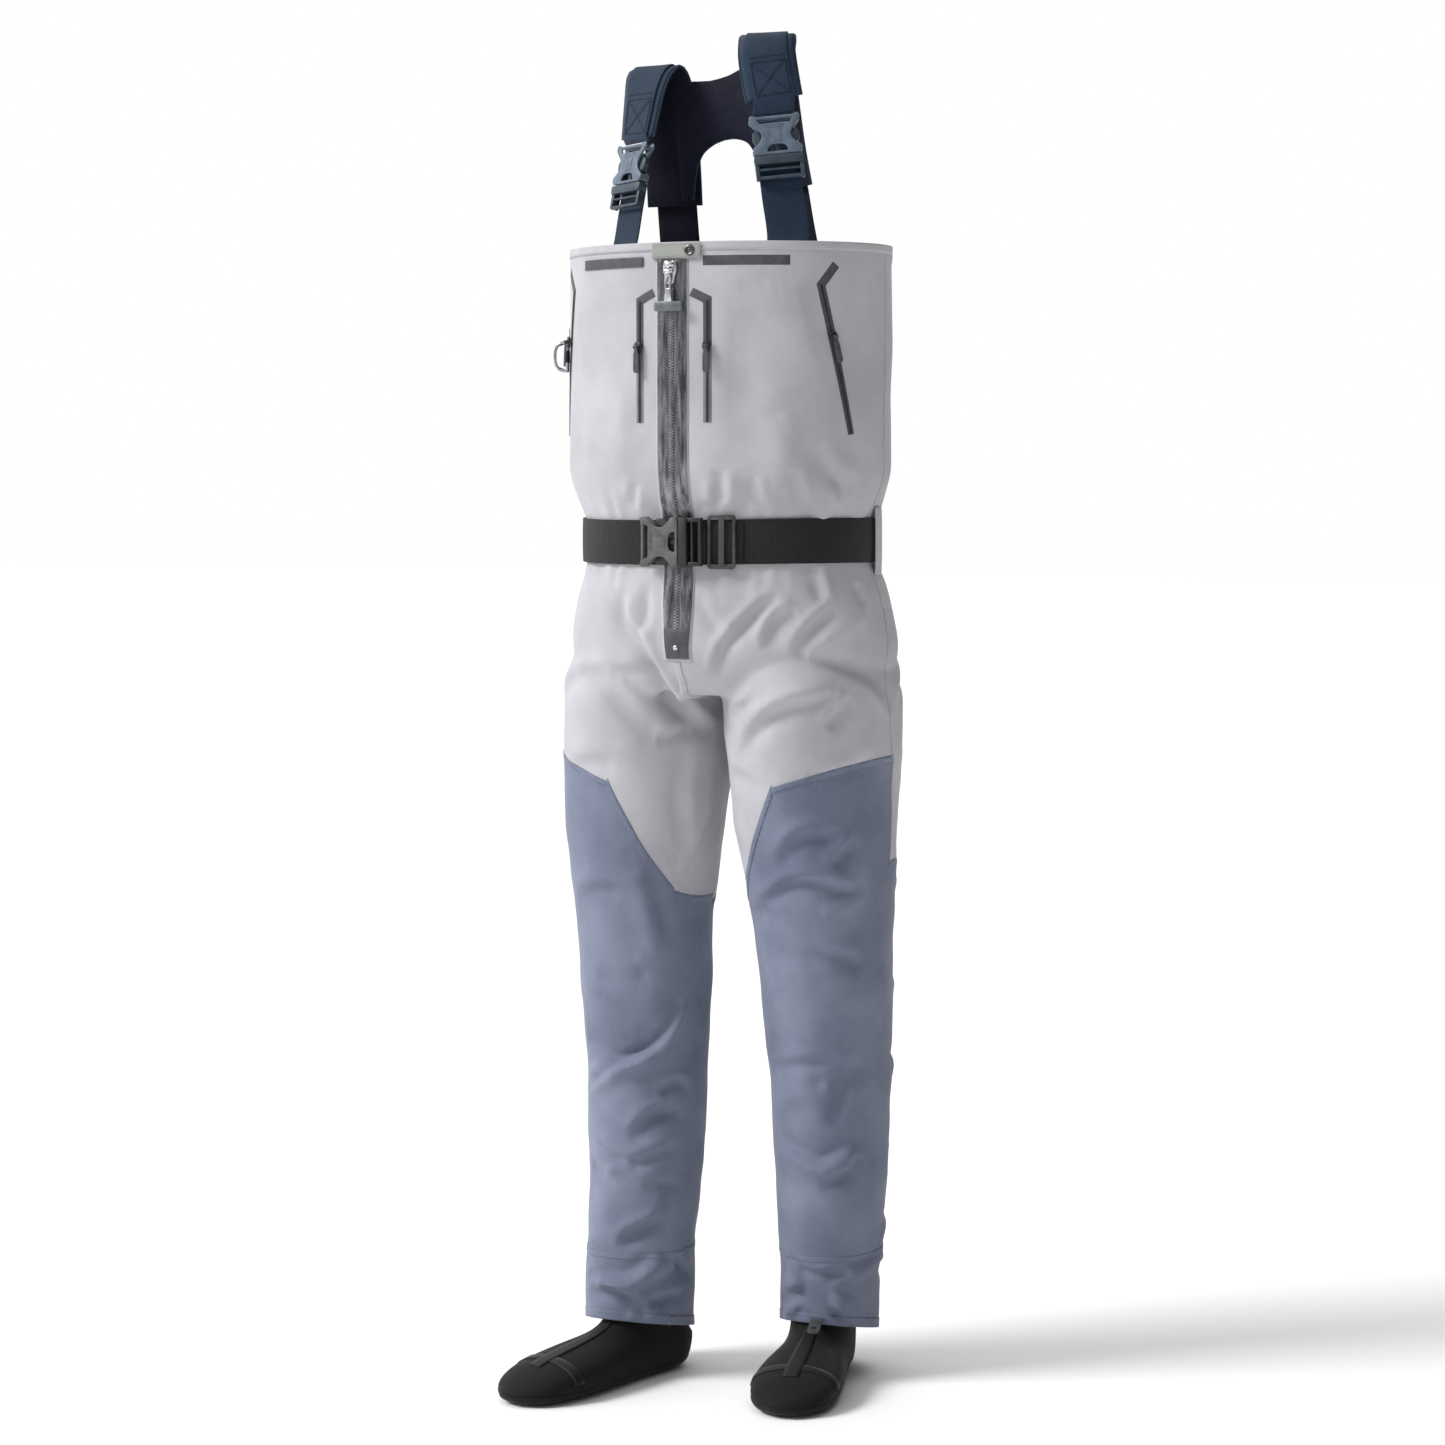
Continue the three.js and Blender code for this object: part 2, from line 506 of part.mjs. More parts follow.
// Each inner zip's bag hangs inside the chest; its outer part starts below the strap's anchor.
const ANCHOR_DROP = 84; // the front straps are sewn in this far below the hem
const BAG_THICK = 1.2;
const BAG_INSIDE = FABRIC + GAP + BAG_THICK + 0.7;
const BAG_TOP = HEM_HEIGHT - 58;
const BAG_STEP = HEM_HEIGHT - ANCHOR_DROP - 6;
const BAG_BOTTOM = HEM_HEIGHT - 221;
for (const [side, s] of [['right', -1], ['left', 1]]) {
  add(`accessory_bar_${side}`, tape(sweep(11 * s, 41.5 * s, BAR_Z, BAR_Z, 6), 11, 1.6), pocketTape);
  const bagPart = (to, low, high, steps) => tape(
    sweep(9 * s, to * s, (low + high) / 2, (low + high) / 2, steps), high - low, BAG_THICK, -BAG_INSIDE);
  add(`pocket_bag_${side}`,
    bagPart(23, BAG_STEP - 5, BAG_TOP, 3).add(bagPart(39, BAG_BOTTOM, BAG_STEP, 6)), greyFabric);
  for (const [kind, { path, slider }] of Object.entries(POCKETS)) {
    const places = path.map(([deg, z]) => [deg * s, z]);
    const [, corner, end] = places;
    add(`${kind}_pocket_zip_${side}`,
      tape([places[0], corner, ...sweep(corner[0], end[0], corner[1], end[1], 4).slice(1)],
        POCKET_TAPE_WIDTH, POCKET_TAPE_THICK), pocketTape);
    const share = (slider - corner[1]) / (end[1] - corner[1]);
    const deg = lerp(corner[0], end[0], share);
    const parts = sliderAndPull({
      wide: 9, long: 13, deep: SLIDER_DEEP, ear: POCKET_EAR,
      pull: {
        barrel: 4, thick: 1.8,
        outline: [[-1.9, -0.3], [-2.6, -6], [-3.4, -8], [-3.4, -27], [-2, -29], [2, -29], [3.4, -27],
          [3.4, -8], [2.6, -6], [1.9, -0.3]],
      },
    });
    // The slider's frame lies in the chest's tangent plane, with z along the zip.
    const { at, normal } = onTrunk(deg, slider, GAP + POCKET_TAPE_THICK + 0.5 + SLIDER_DEEP + POCKET_EAR.reach);
    const ahead = onTrunk(deg + 0.01 * (end[0] - corner[0]), slider + 0.01 * (end[1] - corner[1]));
    const here = onTrunk(deg, slider);
    const up = here.at.clone().sub(ahead.at).normalize();
    const acrossZip = new THREE.Vector3().crossVectors(normal.clone().negate(), up).normalize();
    const seat = new THREE.Group();
    seat.applyMatrix4(new THREE.Matrix4().makeBasis(acrossZip,
      new THREE.Vector3().crossVectors(up, acrossZip), up).setPosition(at));
    waders.add(seat);
    add(`${kind}_slider_${side}`, parts.body, pocketTape, seat);
    add(`${kind}_pull_${side}`, parts.tab, pocketTape, seat);
  }
}

// ---- D-ring on the wearer's right side -------------------------------------------------------
const RING_AT = -77;
const RING_Z = HEM_HEIGHT - 120;
const RING_HALF = 17;
const RING_OUT = 15;
const keeperDeep = 2 * RING_WIRE + 3;
const ringAxis = onTrunk(RING_AT, RING_Z, GAP + 1.5 + keeperDeep / 2);
{
  const { at, normal } = ringAxis;
  const sideways = V(-normal.y, normal.x, 0);
  const keeper = rod(at.clone().setZ(RING_Z - 7), at.clone().setZ(RING_Z + 7), keeperDeep / 2, 12);
  const strip = tape([[RING_AT, RING_Z - 32], [RING_AT, RING_Z + 32]], 18, 1.5);
  const foot = band([-7, 7].map((dz) => ({
    at: onTrunk(RING_AT, RING_Z + dz, GAP + 1).at, across: sideways, normal, width: 5, thick: 2,
  })));
  const bore = rod(at.clone().setZ(RING_Z - 20), at.clone().setZ(RING_Z + 20), RING_WIRE + 0.35, 12);
  add('ring_tab', joined(strip, keeper, foot).subtract(bore), blackWebbing);
  const arc = new THREE.CatmullRomCurve3([[-RING_HALF, 0], [-RING_HALF * 0.86, 0.62], [-RING_HALF * 0.45, 0.93],
    [0, 1], [RING_HALF * 0.45, 0.93], [RING_HALF * 0.86, 0.62], [RING_HALF, 0]]
    .map(([z, out]) => at.clone().addScaledVector(normal, out * RING_OUT).setZ(RING_Z + z)));
  const round = new THREE.Shape().absarc(0, 0, RING_WIRE, 0, 2 * Math.PI);
  const bow = solid(new THREE.ExtrudeGeometry(round,
    { steps: 16, curveSegments: 4, bevelEnabled: false, extrudePath: arc }));
  const bar = rod(at.clone().setZ(RING_Z - RING_HALF - 1), at.clone().setZ(RING_Z + RING_HALF + 1), RING_WIRE, 12);
  add('d_ring', bow.add(bar), ringSteel);
}

// ---- side-release buckles --------------------------------------------------------------------
// Local frame: z runs along the strap towards the female half's bar, -y is the face.
function buckle(wide, deep) {
  const w = wide / 2;
  const cavity = w - 7;
  const outline = [[w - 3, 0], [w - 1, 4], [w - 1, 11], [w * 0.68, 17], [w * 0.66, 26], [w - 4, 34], [w, 43],
    [w - 1.5, 47], [w - 5, 46]];
  const round = [...outline, ...outline.map(([x, z]) => [-x, z]).reverse()];
  const female = plate(round, -deep / 2, deep / 2)
    .subtract(block(-cavity, cavity, -deep / 2 + 3, deep / 2 - 2.6, -5, 29))
    .subtract(block(-w * 0.72, w * 0.72, -FAR, FAR, 35.5, 42))
    .subtract(block(-w * 0.36, w * 0.36, -FAR, 0, 4, 12));
  const tongue = deep - 5.6 - 1;
  const mid = 0.2;
  const prong = (s) => block(s > 0 ? cavity - 8 : -cavity + 0.5, s > 0 ? cavity - 0.5 : -cavity + 8,
    mid - tongue / 2, mid + tongue / 2, -3, 27);
  const male = joined(
    block(-w + 1, w - 1, -deep / 2, deep / 2 - 1, -11, -0.6),
    block(-w + 1, -w + 6, -deep / 2 + 2, deep / 2 - 1, -27, -10),
    block(w - 6, w - 1, -deep / 2 + 2, deep / 2 - 1, -27, -10),
    block(-w + 2, w - 2, -deep / 2 + 3, deep / 2 - 4, -17, -14.5),
    block(-w + 2, w - 2, -deep / 2 + 1.5, deep / 2 - 4, -28, -24),
    prong(-1), prong(1), block(-3, 3, mid - tongue / 2, mid + tongue / 2, -3, 22));
  return { female, male };
}

// ---- shoulder harness ------------------------------------------------------------------------
// One side's pad, from behind the buckle over the shoulder to the top of the back strap:
// [x, y, height above the hem].
const CROWN = SHOULDER_RISE;
const PAD_PATH = [
  [86, -29, CROWN - 76], [82, -25.5, CROWN - 54], [77, -19, CROWN - 24], [73.5, -8, CROWN - 3],
  [70, 5, CROWN - 2], [67, 13, CROWN - 20], [66, 17, CROWN - 62], [69, 20, CROWN - 117],
  [73, 24, CROWN - 162],
];
const BACK_STRAP_PATH = [
  [73.1, 24.3, CROWN - 163.3], [78, 38, CROWN - 222], [84, 62, CROWN - 262], [88, 88, CROWN - 300],
];
const BACK_HEM = HEM_HEIGHT - BACK_DIP * 0.95; // the scooped edge where the back straps cross it

// A point of the harness: x from the body's middle, y, height above the hem.
const onHarness = (x, y, aboveHem) => V(x - (SHOULDER_SHIFT * Math.max(0, aboveHem)) / CROWN, y,
  HEM_HEIGHT + aboveHem + (SHOULDER_TILT / 80) * x * THREE.MathUtils.clamp(aboveHem / 135, 0, 1));

// More places along a rounded line through the given ones.
function rounded(points, perStep) {
  const curve = new THREE.CatmullRomCurve3(points.map(([x, y, z]) => V(x, y, z)));
  return curve.getPoints((points.length - 1) * perStep).map((p) => p.toArray());
}
const betweenYaws = (yaws, perStep) => Array.from({ length: (yaws.length - 1) * perStep + 1 }, (_, i) => {
  const low = Math.min(yaws.length - 2, Math.floor(i / perStep));
  return lerp(yaws[low], yaws[low + 1], i / perStep - low);
});

// A ribbon's steps along points; the across direction leans out by a yaw at each point.
function ribbon(points, s, width, thick, yaws, lift = 0) {
  const at = points.map(([x, y, up]) => onHarness(x * s, y, up));
  return at.map((p, i) => {
    const along = at[Math.min(at.length - 1, i + 1)].clone().sub(at[Math.max(0, i - 1)]).normalize();
    const yaw = rad(yaws[Math.min(i, yaws.length - 1)]) * s;
    const across = V(Math.cos(yaw), Math.sin(yaw), 0);
    across.addScaledVector(along, -across.dot(along)).normalize();
    const normal = new THREE.Vector3().crossVectors(along, across).multiplyScalar(-1);
    return { at: p.clone().addScaledVector(normal, lift), across, normal, width, thick };
  });
}
const YAW = 28; // the front straps face this far outwards
const PAD_YAWS = [YAW, YAW - 4, YAW - 10, 8, 0, -6, -10, -12, -12];
const AXIS_LOW = [107, -62];
const AXIS_HIGH = [85.4, -34.6]; // 140 above the hem
const strapAxis = (s, aboveHem) => onHarness(s * lerp(AXIS_LOW[0], AXIS_HIGH[0], aboveHem / 140),
  lerp(AXIS_LOW[1], AXIS_HIGH[1], aboveHem / 140), aboveHem);
const BUCKLE_ABOVE = 87; // the female half's mouth above the hem
const BUCKLE_DEEP = 13;
// A flat strap inside the curved bib stands off it by its own bulge.
const ANCHOR_LIFT = -FABRIC - GAP - STRAP_THICK / 2 - 2.2;
const inside = (deg) => onTrunk(deg, HEM_HEIGHT - 60, ANCHOR_LIFT);
const FRONT_ANCHOR = 33.3;
const BACK_ANCHOR = 152;
const PAD_STEPS = 3;
const padLine = rounded(PAD_PATH, PAD_STEPS);
const padYaws = betweenYaws(PAD_YAWS, PAD_STEPS);
let yokeSolid = null;
for (const [side, s] of [['right', -1], ['left', 1]]) {
  const pad = band(ribbon(padLine, s, PAD_WIDTH, PAD_THICK, padYaws));
  yokeSolid = yokeSolid ? yokeSolid.add(pad) : pad;

  // Buckle frame: z up the strap, x across it.
  const origin = strapAxis(s, BUCKLE_ABOVE);
  const up = strapAxis(s, BUCKLE_ABOVE + 40).sub(origin).normalize();
  const across = V(Math.cos(rad(YAW)), Math.sin(rad(YAW)) * s, 0);
  across.addScaledVector(up, -across.dot(up)).normalize();
  const back = new THREE.Vector3().crossVectors(up, across);
  const frame = new THREE.Group();
  frame.applyMatrix4(new THREE.Matrix4().makeBasis(across, back, up).setPosition(origin));
  waders.add(frame);
  const { female, male } = buckle(BUCKLE_WIDTH, BUCKLE_DEEP);
  add(`strap_buckle_female_${side}`, female, buckleNylon, frame);
  add(`strap_buckle_male_${side}`, male, buckleNylon, frame);

  // Lower strap: sewn inside the bib, then straight up behind the male half.
  const rear = BUCKLE_DEEP / 2 - 1 + GAP + STRAP_THICK / 2;
  const { at: anchor, normal: outward } = inside(FRONT_ANCHOR * s);
  const onAxis = (h) => strapAxis(s, h).addScaledVector(back, rear);
  const anchored = { across: V(-outward.y, outward.x, 0), normal: outward, width: STRAP_WIDTH, thick: STRAP_THICK };
  const hanging = { across, normal: back.clone().negate(), width: STRAP_WIDTH, thick: STRAP_THICK };
  add(`strap_lower_${side}`, band([
    { ...anchored, at: anchor.clone().setZ(HEM_HEIGHT - ANCHOR_DROP) },
    { ...anchored, at: anchor.clone().setZ(HEM_HEIGHT - 46) },
    { ...hanging, at: onAxis(6) },
    { ...hanging, at: onAxis(BUCKLE_ABOVE - 4) },
  ]), navyWebbing);

  // Upper strap: box-stitched on the pad, then forward to the female half's bar.
  const bulge = s < 0 ? 1.2 : 0.6; // the lower shoulder's pad twists more, and its facets bulge
  const lift = PAD_THICK / 2 + GAP + STRAP_THICK / 2 + bulge;
  const onPad = ribbon(padLine, s, STRAP_WIDTH, STRAP_THICK, padYaws, lift);
  const barTop = origin.clone().addScaledVector(up, 49).addScaledVector(back, 1.5);
  const step = { across, normal: back.clone().negate(), width: STRAP_WIDTH, thick: STRAP_THICK };
  add(`strap_upper_${side}`, band([
    { ...step, at: barTop }, ...onPad.slice(0, 3 * PAD_STEPS + 1),
  ]), navyWebbing);

  // Back strap: from the pad's lower end down to the inside of the scooped back.
  const { at: sewn, normal: behind } = inside(BACK_ANCHOR * s);
  const sewnStep = { across: V(behind.y, -behind.x, 0), normal: behind, width: STRAP_WIDTH, thick: STRAP_THICK };
  add(`strap_back_${side}`, band([
    ...ribbon(BACK_STRAP_PATH, s, STRAP_WIDTH, STRAP_THICK, [-12, -14, -18, -22]),
    { ...sewnStep, at: sewn.clone().setZ(BACK_HEM - 4) },
    { ...sewnStep, at: sewn.clone().setZ(BACK_HEM - 40) },
  ]), navyMesh);
}
// The back panel bridges the two pads; its lower edge is arched.
const panelHalf = [[0, CROWN - 95], [28, CROWN - 104], [40, CROWN - 128], [46, CROWN - 158], [60, CROWN - 158],
  [60, CROWN - 62], [54, CROWN - 14], [28, CROWN - 22], [0, CROWN - 26]];
const panelOutline = [...panelHalf, ...panelHalf.slice(1, -1).map(([x, up]) => [-x, up]).reverse()]
  .map(([x, up]) => onHarness(x, 0, up)).map((p) => [p.x, p.z]);
add('yoke', yokeSolid.add(plate(panelOutline, 15, 15 + PAD_THICK)), navyMesh);

// ---- wading belt -----------------------------------------------------------------------------
const beltGap = zipGap + ZIP_TAPE_THICK + RIDGE_HIGH + GAP;
const BELT_START = 2;
const BELT_END = 354;
const beltSteps = Array.from({ length: 45 }, (_, i) => {
  const deg = lerp(BELT_START, BELT_END, i / 44);
  const { at, normal } = onTrunk(deg, WAIST_HEIGHT, beltGap + BELT_THICK / 2);
  return { at, across: V(0, 0, -1), normal, width: BELT_WIDTH, thick: BELT_THICK };
});
add('belt', band(beltSteps), blackWebbing);
const BELT_BUCKLE_DEEP = 12;
function beltFrame(deg, lift) {
  const { at, normal } = onTrunk(deg, WAIST_HEIGHT, lift);
  const frame = new THREE.Group();
  const towardsRight = V(normal.y, -normal.x, 0);
  frame.applyMatrix4(new THREE.Matrix4().makeBasis(V(0, 0, 1),
    new THREE.Vector3().crossVectors(towardsRight, V(0, 0, 1)), towardsRight).setPosition(at));
  waders.add(frame);
  return frame;
}
const clasp = beltFrame(2.5, beltGap + BELT_THICK + GAP + 0.3 + BELT_BUCKLE_DEEP / 2);
const claspHalves = buckle(BELT_BUCKLE_WIDTH, BELT_BUCKLE_DEEP);
add('belt_buckle_female', claspHalves.female, greyNylon, clasp);
add('belt_buckle_male', claspHalves.male, blackNylon, clasp);
const GLIDE_DEEP = 3.6;
const glideFrame = beltFrame(18, beltGap + BELT_THICK + GAP + 0.3 + GLIDE_DEEP / 2);
const glideOuter = BELT_WIDTH / 2 + 5;
const glide = block(-glideOuter, glideOuter, -GLIDE_DEEP / 2, GLIDE_DEEP / 2, -16, 16)
  .subtract(block(-BELT_WIDTH / 2 - 1, BELT_WIDTH / 2 + 1, -9, 9, 3, 12))
  .subtract(block(-BELT_WIDTH / 2 - 1, BELT_WIDTH / 2 + 1, -9, 9, -12, -3));
add('belt_triglide', glide, blackNylon, glideFrame);

// Each belt loop is an upright strip that bridges the belt between the flared fabric above and below.
const LOOP_WIDTH = 26;
const LOOP_THICK = 1.6;
const loopLow = WAIST_HEIGHT - 38;
const loopHigh = WAIST_HEIGHT + 38;
for (const [name, deg] of [['belt_loop_right', -97], ['belt_loop_left', 97], ['belt_loop_back', 180]]) {
  const { normal } = onTrunk(deg, WAIST_HEIGHT);
  const reach = Math.max(...Array.from({ length: 40 }, (_, i) => (
    onTrunk(deg, lerp(loopLow, loopHigh, i / 39)).at.dot(normal))),
  onTrunk(deg, WAIST_HEIGHT, beltGap + BELT_THICK).at.dot(normal));
  const base = onTrunk(deg, WAIST_HEIGHT).at;
  const foot = base.clone().addScaledVector(normal, reach + GAP + LOOP_THICK / 2 - base.dot(normal));
  const across = V(-normal.y, normal.x, 0);
  add(name, band([loopLow, loopHigh].map((z) => ({
    at: foot.clone().setZ(z), across, normal, width: LOOP_WIDTH, thick: LOOP_THICK,
  }))), greyFabric);
}

// ---- gravel guard hooks ----------------------------------------------------------------------
// The left hook lies on the instep; the right one is tucked up inside its guard.
const HOOK_WIDE = 14;
const HOOK_LONG = 28;
const HOOK_THICK = 2;
// A group whose -y axis points to the front of a cuff, at the middle of its section.
function cuffGroup(side, z) {
  const { x, y, turn } = sectionAt(LEGS[side], z);
  const group = new THREE.Group();
  group.position.set(x, y, 0);
  group.rotation.z = turn;
  waders.add(group);
  return group;
}
{
  const slope = rad(20);
  const hook = joined(
    rod(V(-HOOK_WIDE / 2, 0, 0), V(HOOK_WIDE / 2, 0, 0), 1.8, 12),
    block(-HOOK_WIDE / 2, HOOK_WIDE / 2, -HOOK_THICK / 2, HOOK_THICK / 2, -HOOK_LONG, 0));
  const holder = new THREE.Group();
  const front = sectionAt(LEGS.left, GUARD_HEM_FRONT).d;
  holder.position.set(0, -front - GAP - 2.2, GUARD_HEM_FRONT + 5);
  holder.rotation.x = -(Math.PI / 2 - slope);
  cuffGroup('left', GUARD_HEM_FRONT).add(holder);
  add('guard_hook_left', hook, blackNylon, holder);
  const y = -sectionAt(LEGS.right, 100).d + FABRIC + GAP + 1.6;
  add('guard_hook_right', block(-HOOK_WIDE / 2, HOOK_WIDE / 2, y, y + HOOK_THICK, 84, 84 + HOOK_LONG),
    blackNylon, cuffGroup('right', 100));
}

// The frame's origin is on the floor, under the middle of the whole part.
const bounds = new THREE.Box3().setFromObject(waders);
const middle = bounds.getCenter(V(0, 0, 0));
waders.position.set(-middle.x, -middle.y, -bounds.min.z);

export default waders;
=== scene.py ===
"""Visual model of a pair of chest waders: fabric shell, neoprene feet, front zip, belt and harness.

Metres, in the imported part's own frame, with +Z up. The wearer faces -Y, so the wearer's left hand is at
+X. Sizes in the tables are millimetres in the wearer's frame: the floor's centre line of the body at
x = y = 0. One function, Body.metres, takes them to the part's frame.
"""
from __future__ import annotations

import json
import logging
import math
from dataclasses import dataclass, field
from enum import Enum
from typing import Callable, Iterable, Sequence
import bmesh  # noqa: E402
import bpy  # noqa: E402
import numpy as np  # noqa: E402
from mathutils import Matrix, Vector, noise  # noqa: E402
from mathutils.bvhtree import BVHTree  # noqa: E402

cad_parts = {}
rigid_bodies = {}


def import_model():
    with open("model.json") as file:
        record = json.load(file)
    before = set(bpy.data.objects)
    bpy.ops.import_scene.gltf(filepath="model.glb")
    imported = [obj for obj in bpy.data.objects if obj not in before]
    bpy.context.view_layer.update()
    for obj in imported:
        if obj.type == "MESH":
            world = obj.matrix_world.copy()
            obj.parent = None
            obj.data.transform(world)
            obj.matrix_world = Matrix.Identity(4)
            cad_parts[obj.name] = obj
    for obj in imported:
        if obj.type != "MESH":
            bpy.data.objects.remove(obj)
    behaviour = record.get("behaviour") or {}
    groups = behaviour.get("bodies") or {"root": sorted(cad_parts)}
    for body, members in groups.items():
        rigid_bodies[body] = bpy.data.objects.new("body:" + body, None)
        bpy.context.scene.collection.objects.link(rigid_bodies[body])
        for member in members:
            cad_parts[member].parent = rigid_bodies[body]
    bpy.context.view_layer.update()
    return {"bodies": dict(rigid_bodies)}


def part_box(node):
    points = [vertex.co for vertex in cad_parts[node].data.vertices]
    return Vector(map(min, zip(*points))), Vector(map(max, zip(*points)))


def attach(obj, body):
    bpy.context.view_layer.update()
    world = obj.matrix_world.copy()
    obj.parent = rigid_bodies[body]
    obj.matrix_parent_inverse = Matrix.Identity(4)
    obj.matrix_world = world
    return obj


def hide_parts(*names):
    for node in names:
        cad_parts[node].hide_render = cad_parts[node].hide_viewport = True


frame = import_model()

LOG = logging.getLogger("waders")
MM = 0.001
BODIES = set(frame["bodies"])
SEED = 11


class Side(Enum):
    """A side of the wearer, with the sign of its x."""

    RIGHT = ("right", -1.0)
    LEFT = ("left", 1.0)

    @property
    def word(self) -> str:
        """Name of the side as node names spell it."""
        return self.value[0]

    @property
    def sign(self) -> float:
        """Sign of x on this side."""
        return self.value[1]


class Slot(Enum):
    """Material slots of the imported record."""

    GREY = "grey_fabric"
    BLUE = "blue_fabric"
    NEOPRENE = "neoprene"
    BLACK_WEB = "black_webbing"
    NAVY_WEB = "navy_webbing"
    NAVY_MESH = "navy_mesh"
    ZIP_RUBBER = "zip_rubber"
    ZIP_METAL = "zip_metal"
    POCKET = "pocket_tape"
    BUCKLE = "buckle_nylon"
    BLACK_NYLON = "black_nylon"
    GREY_NYLON = "grey_nylon"
    RING = "ring_steel"


# ---- finishes --------------------------------------------------------------------------------


def linear(code: str) -> tuple[float, float, float, float]:
    """Turns an sRGB hex colour to linear light.

    Args:
        code: Six hex digits, such as "cfced4".

    Returns:
        Red, green, blue and alpha in linear light.
    """
    parts = [int(code[i : i + 2], 16) / 255 for i in (0, 2, 4)]
    light = [c / 12.92 if c <= 0.04045 else ((c + 0.055) / 1.055) ** 2.4 for c in parts]
    return (light[0], light[1], light[2], 1.0)


def bands_per_metre(period_mm: float) -> float:
    """Scale of a Wave texture whose bands repeat each period_mm along its coordinate in metres."""
    return 2 * math.pi / 20 / (period_mm * MM)


def blobs_per_metre(size_mm: float) -> float:
    """Scale of a Noise texture whose spots are about size_mm wide."""
    return 1 / (size_mm * MM)


@dataclass
class Recipe:
    """A material's node tree while it is being put together."""

    name: str
    material: bpy.types.Material = field(init=False)
    shader: bpy.types.Node = field(init=False)

    def __post_init__(self) -> None:
        """Starts the material with its one Principled shader."""
        self.material = bpy.data.materials.new(self.name)
        self.material.use_nodes = True
        self.shader = self.material.node_tree.nodes["Principled BSDF"]

    def add(self, kind: str, links: dict | None = None, values: dict | None = None,
            **settings) -> bpy.types.Node:
        """Adds a node with its settings, values and links.

        Args:
            kind: Node type, such as "ShaderNodeTexNoise".
            links: Input socket to the output socket that feeds it.
            values: Input socket to its fixed value.
            **settings: Attributes of the node itself.

        Returns:
            The new node.
        """
        node = self.material.node_tree.nodes.new(kind)
        for key, value in settings.items():
            setattr(node, key, value)
        for key, value in (values or {}).items():
            node.inputs[key].default_value = value
        for key, socket in (links or {}).items():
            self.material.node_tree.links.new(socket, node.inputs[key])
        return node

    def feed(self, socket: str, output: bpy.types.NodeSocket) -> None:
        """Links an output to a socket of the shader."""
        self.material.node_tree.links.new(output, self.shader.inputs[socket])

    def fix(self, **values: float | tuple) -> None:
        """Sets the shader's own sockets; underscores stand for spaces."""
        for key, value in values.items():
            self.shader.inputs[key.replace("_", " ")].default_value = value

    def ramp(self, source: bpy.types.NodeSocket, stops: Sequence[tuple[float, str]]) -> bpy.types.NodeSocket:
        """Colours from a factor, by stops of (place, hex colour)."""
        node = self.add("ShaderNodeValToRGB", {"Fac": source})
        elements = node.color_ramp.elements
        while len(elements) < len(stops):
            elements.new(0.5)
        for element, (place, code) in zip(elements, stops):
            element.position = place
            element.color = linear(code)
        return node.outputs["Color"]


@dataclass(frozen=True)
class Cloth:
    """A woven or coated cloth.

    The weave is drawn coarser than the real threads, so that it shows as a fine grain.
    """

    name: str
    dark: str
    light: str
    thread: float = 1.3  # mm between drawn threads
    roughness: float = 0.8
    sheen: float = 0.15
    relief: float = 0.25
    mottle: float = 85.0  # mm across a patch of slightly different tone
    ribs: bool = False  # webbing: the weft shows as ribs across the strap

    def make(self) -> bpy.types.Material:
        """Builds the cloth: soft tone patches, a two-way weave and a grain in the gloss."""
        r = Recipe(self.name)
        place = r.add("ShaderNodeTexCoord")
        patches = r.add("ShaderNodeTexNoise", {"Vector": place.outputs["Object"]},
                        {"Scale": blobs_per_metre(self.mottle), "Detail": 4.0, "Roughness": 0.55})
        tone = r.ramp(patches.outputs["Fac"], [(0.32, self.dark), (0.68, self.light)])
        waves = [
            r.add("ShaderNodeTexWave", {"Vector": place.outputs["UV"]},
                  {"Scale": bands_per_metre(self.thread * stretch), "Distortion": 0.4, "Detail": 1.0,
                   "Detail Scale": 2.0},
                  bands_direction=direction)
            for direction, stretch in (("X", 1.0), ("Y", 2.6 if self.ribs else 1.0))
        ]
        weave = r.add("ShaderNodeMath", {0: waves[0].outputs["Fac"], 1: waves[1].outputs["Fac"]},
                      operation="MULTIPLY" if not self.ribs else "ADD")
        shade = r.add("ShaderNodeMapRange", {"Value": weave.outputs[0]},
                      {"From Max": 2.0 if self.ribs else 1.0, "To Min": 0.93, "To Max": 1.03})
        woven = r.add("ShaderNodeVectorMath", {0: tone, "Scale": shade.outputs[0]}, operation="SCALE")
        r.feed("Base Color", woven.outputs[0])
        grain = r.add("ShaderNodeTexNoise", {"Vector": place.outputs["Object"]},
                      {"Scale": blobs_per_metre(9.0), "Detail": 3.0})
        gloss = r.add("ShaderNodeMapRange", {"Value": grain.outputs["Fac"]},
                      {"To Min": self.roughness - 0.1, "To Max": min(1.0, self.roughness + 0.1)})
        r.feed("Roughness", gloss.outputs[0])
        height = r.add("ShaderNodeBump", {"Height": weave.outputs[0]},
                       {"Strength": self.relief, "Distance": 0.0003})
        crinkle = r.add("ShaderNodeBump", {"Height": grain.outputs["Fac"], "Normal": height.outputs[0]},
                        {"Strength": 0.25, "Distance": 0.0012})
        r.feed("Normal", crinkle.outputs[0])
        r.fix(Sheen_Weight=self.sheen, Sheen_Roughness=0.5, Specular_IOR_Level=0.3)
        return r.material


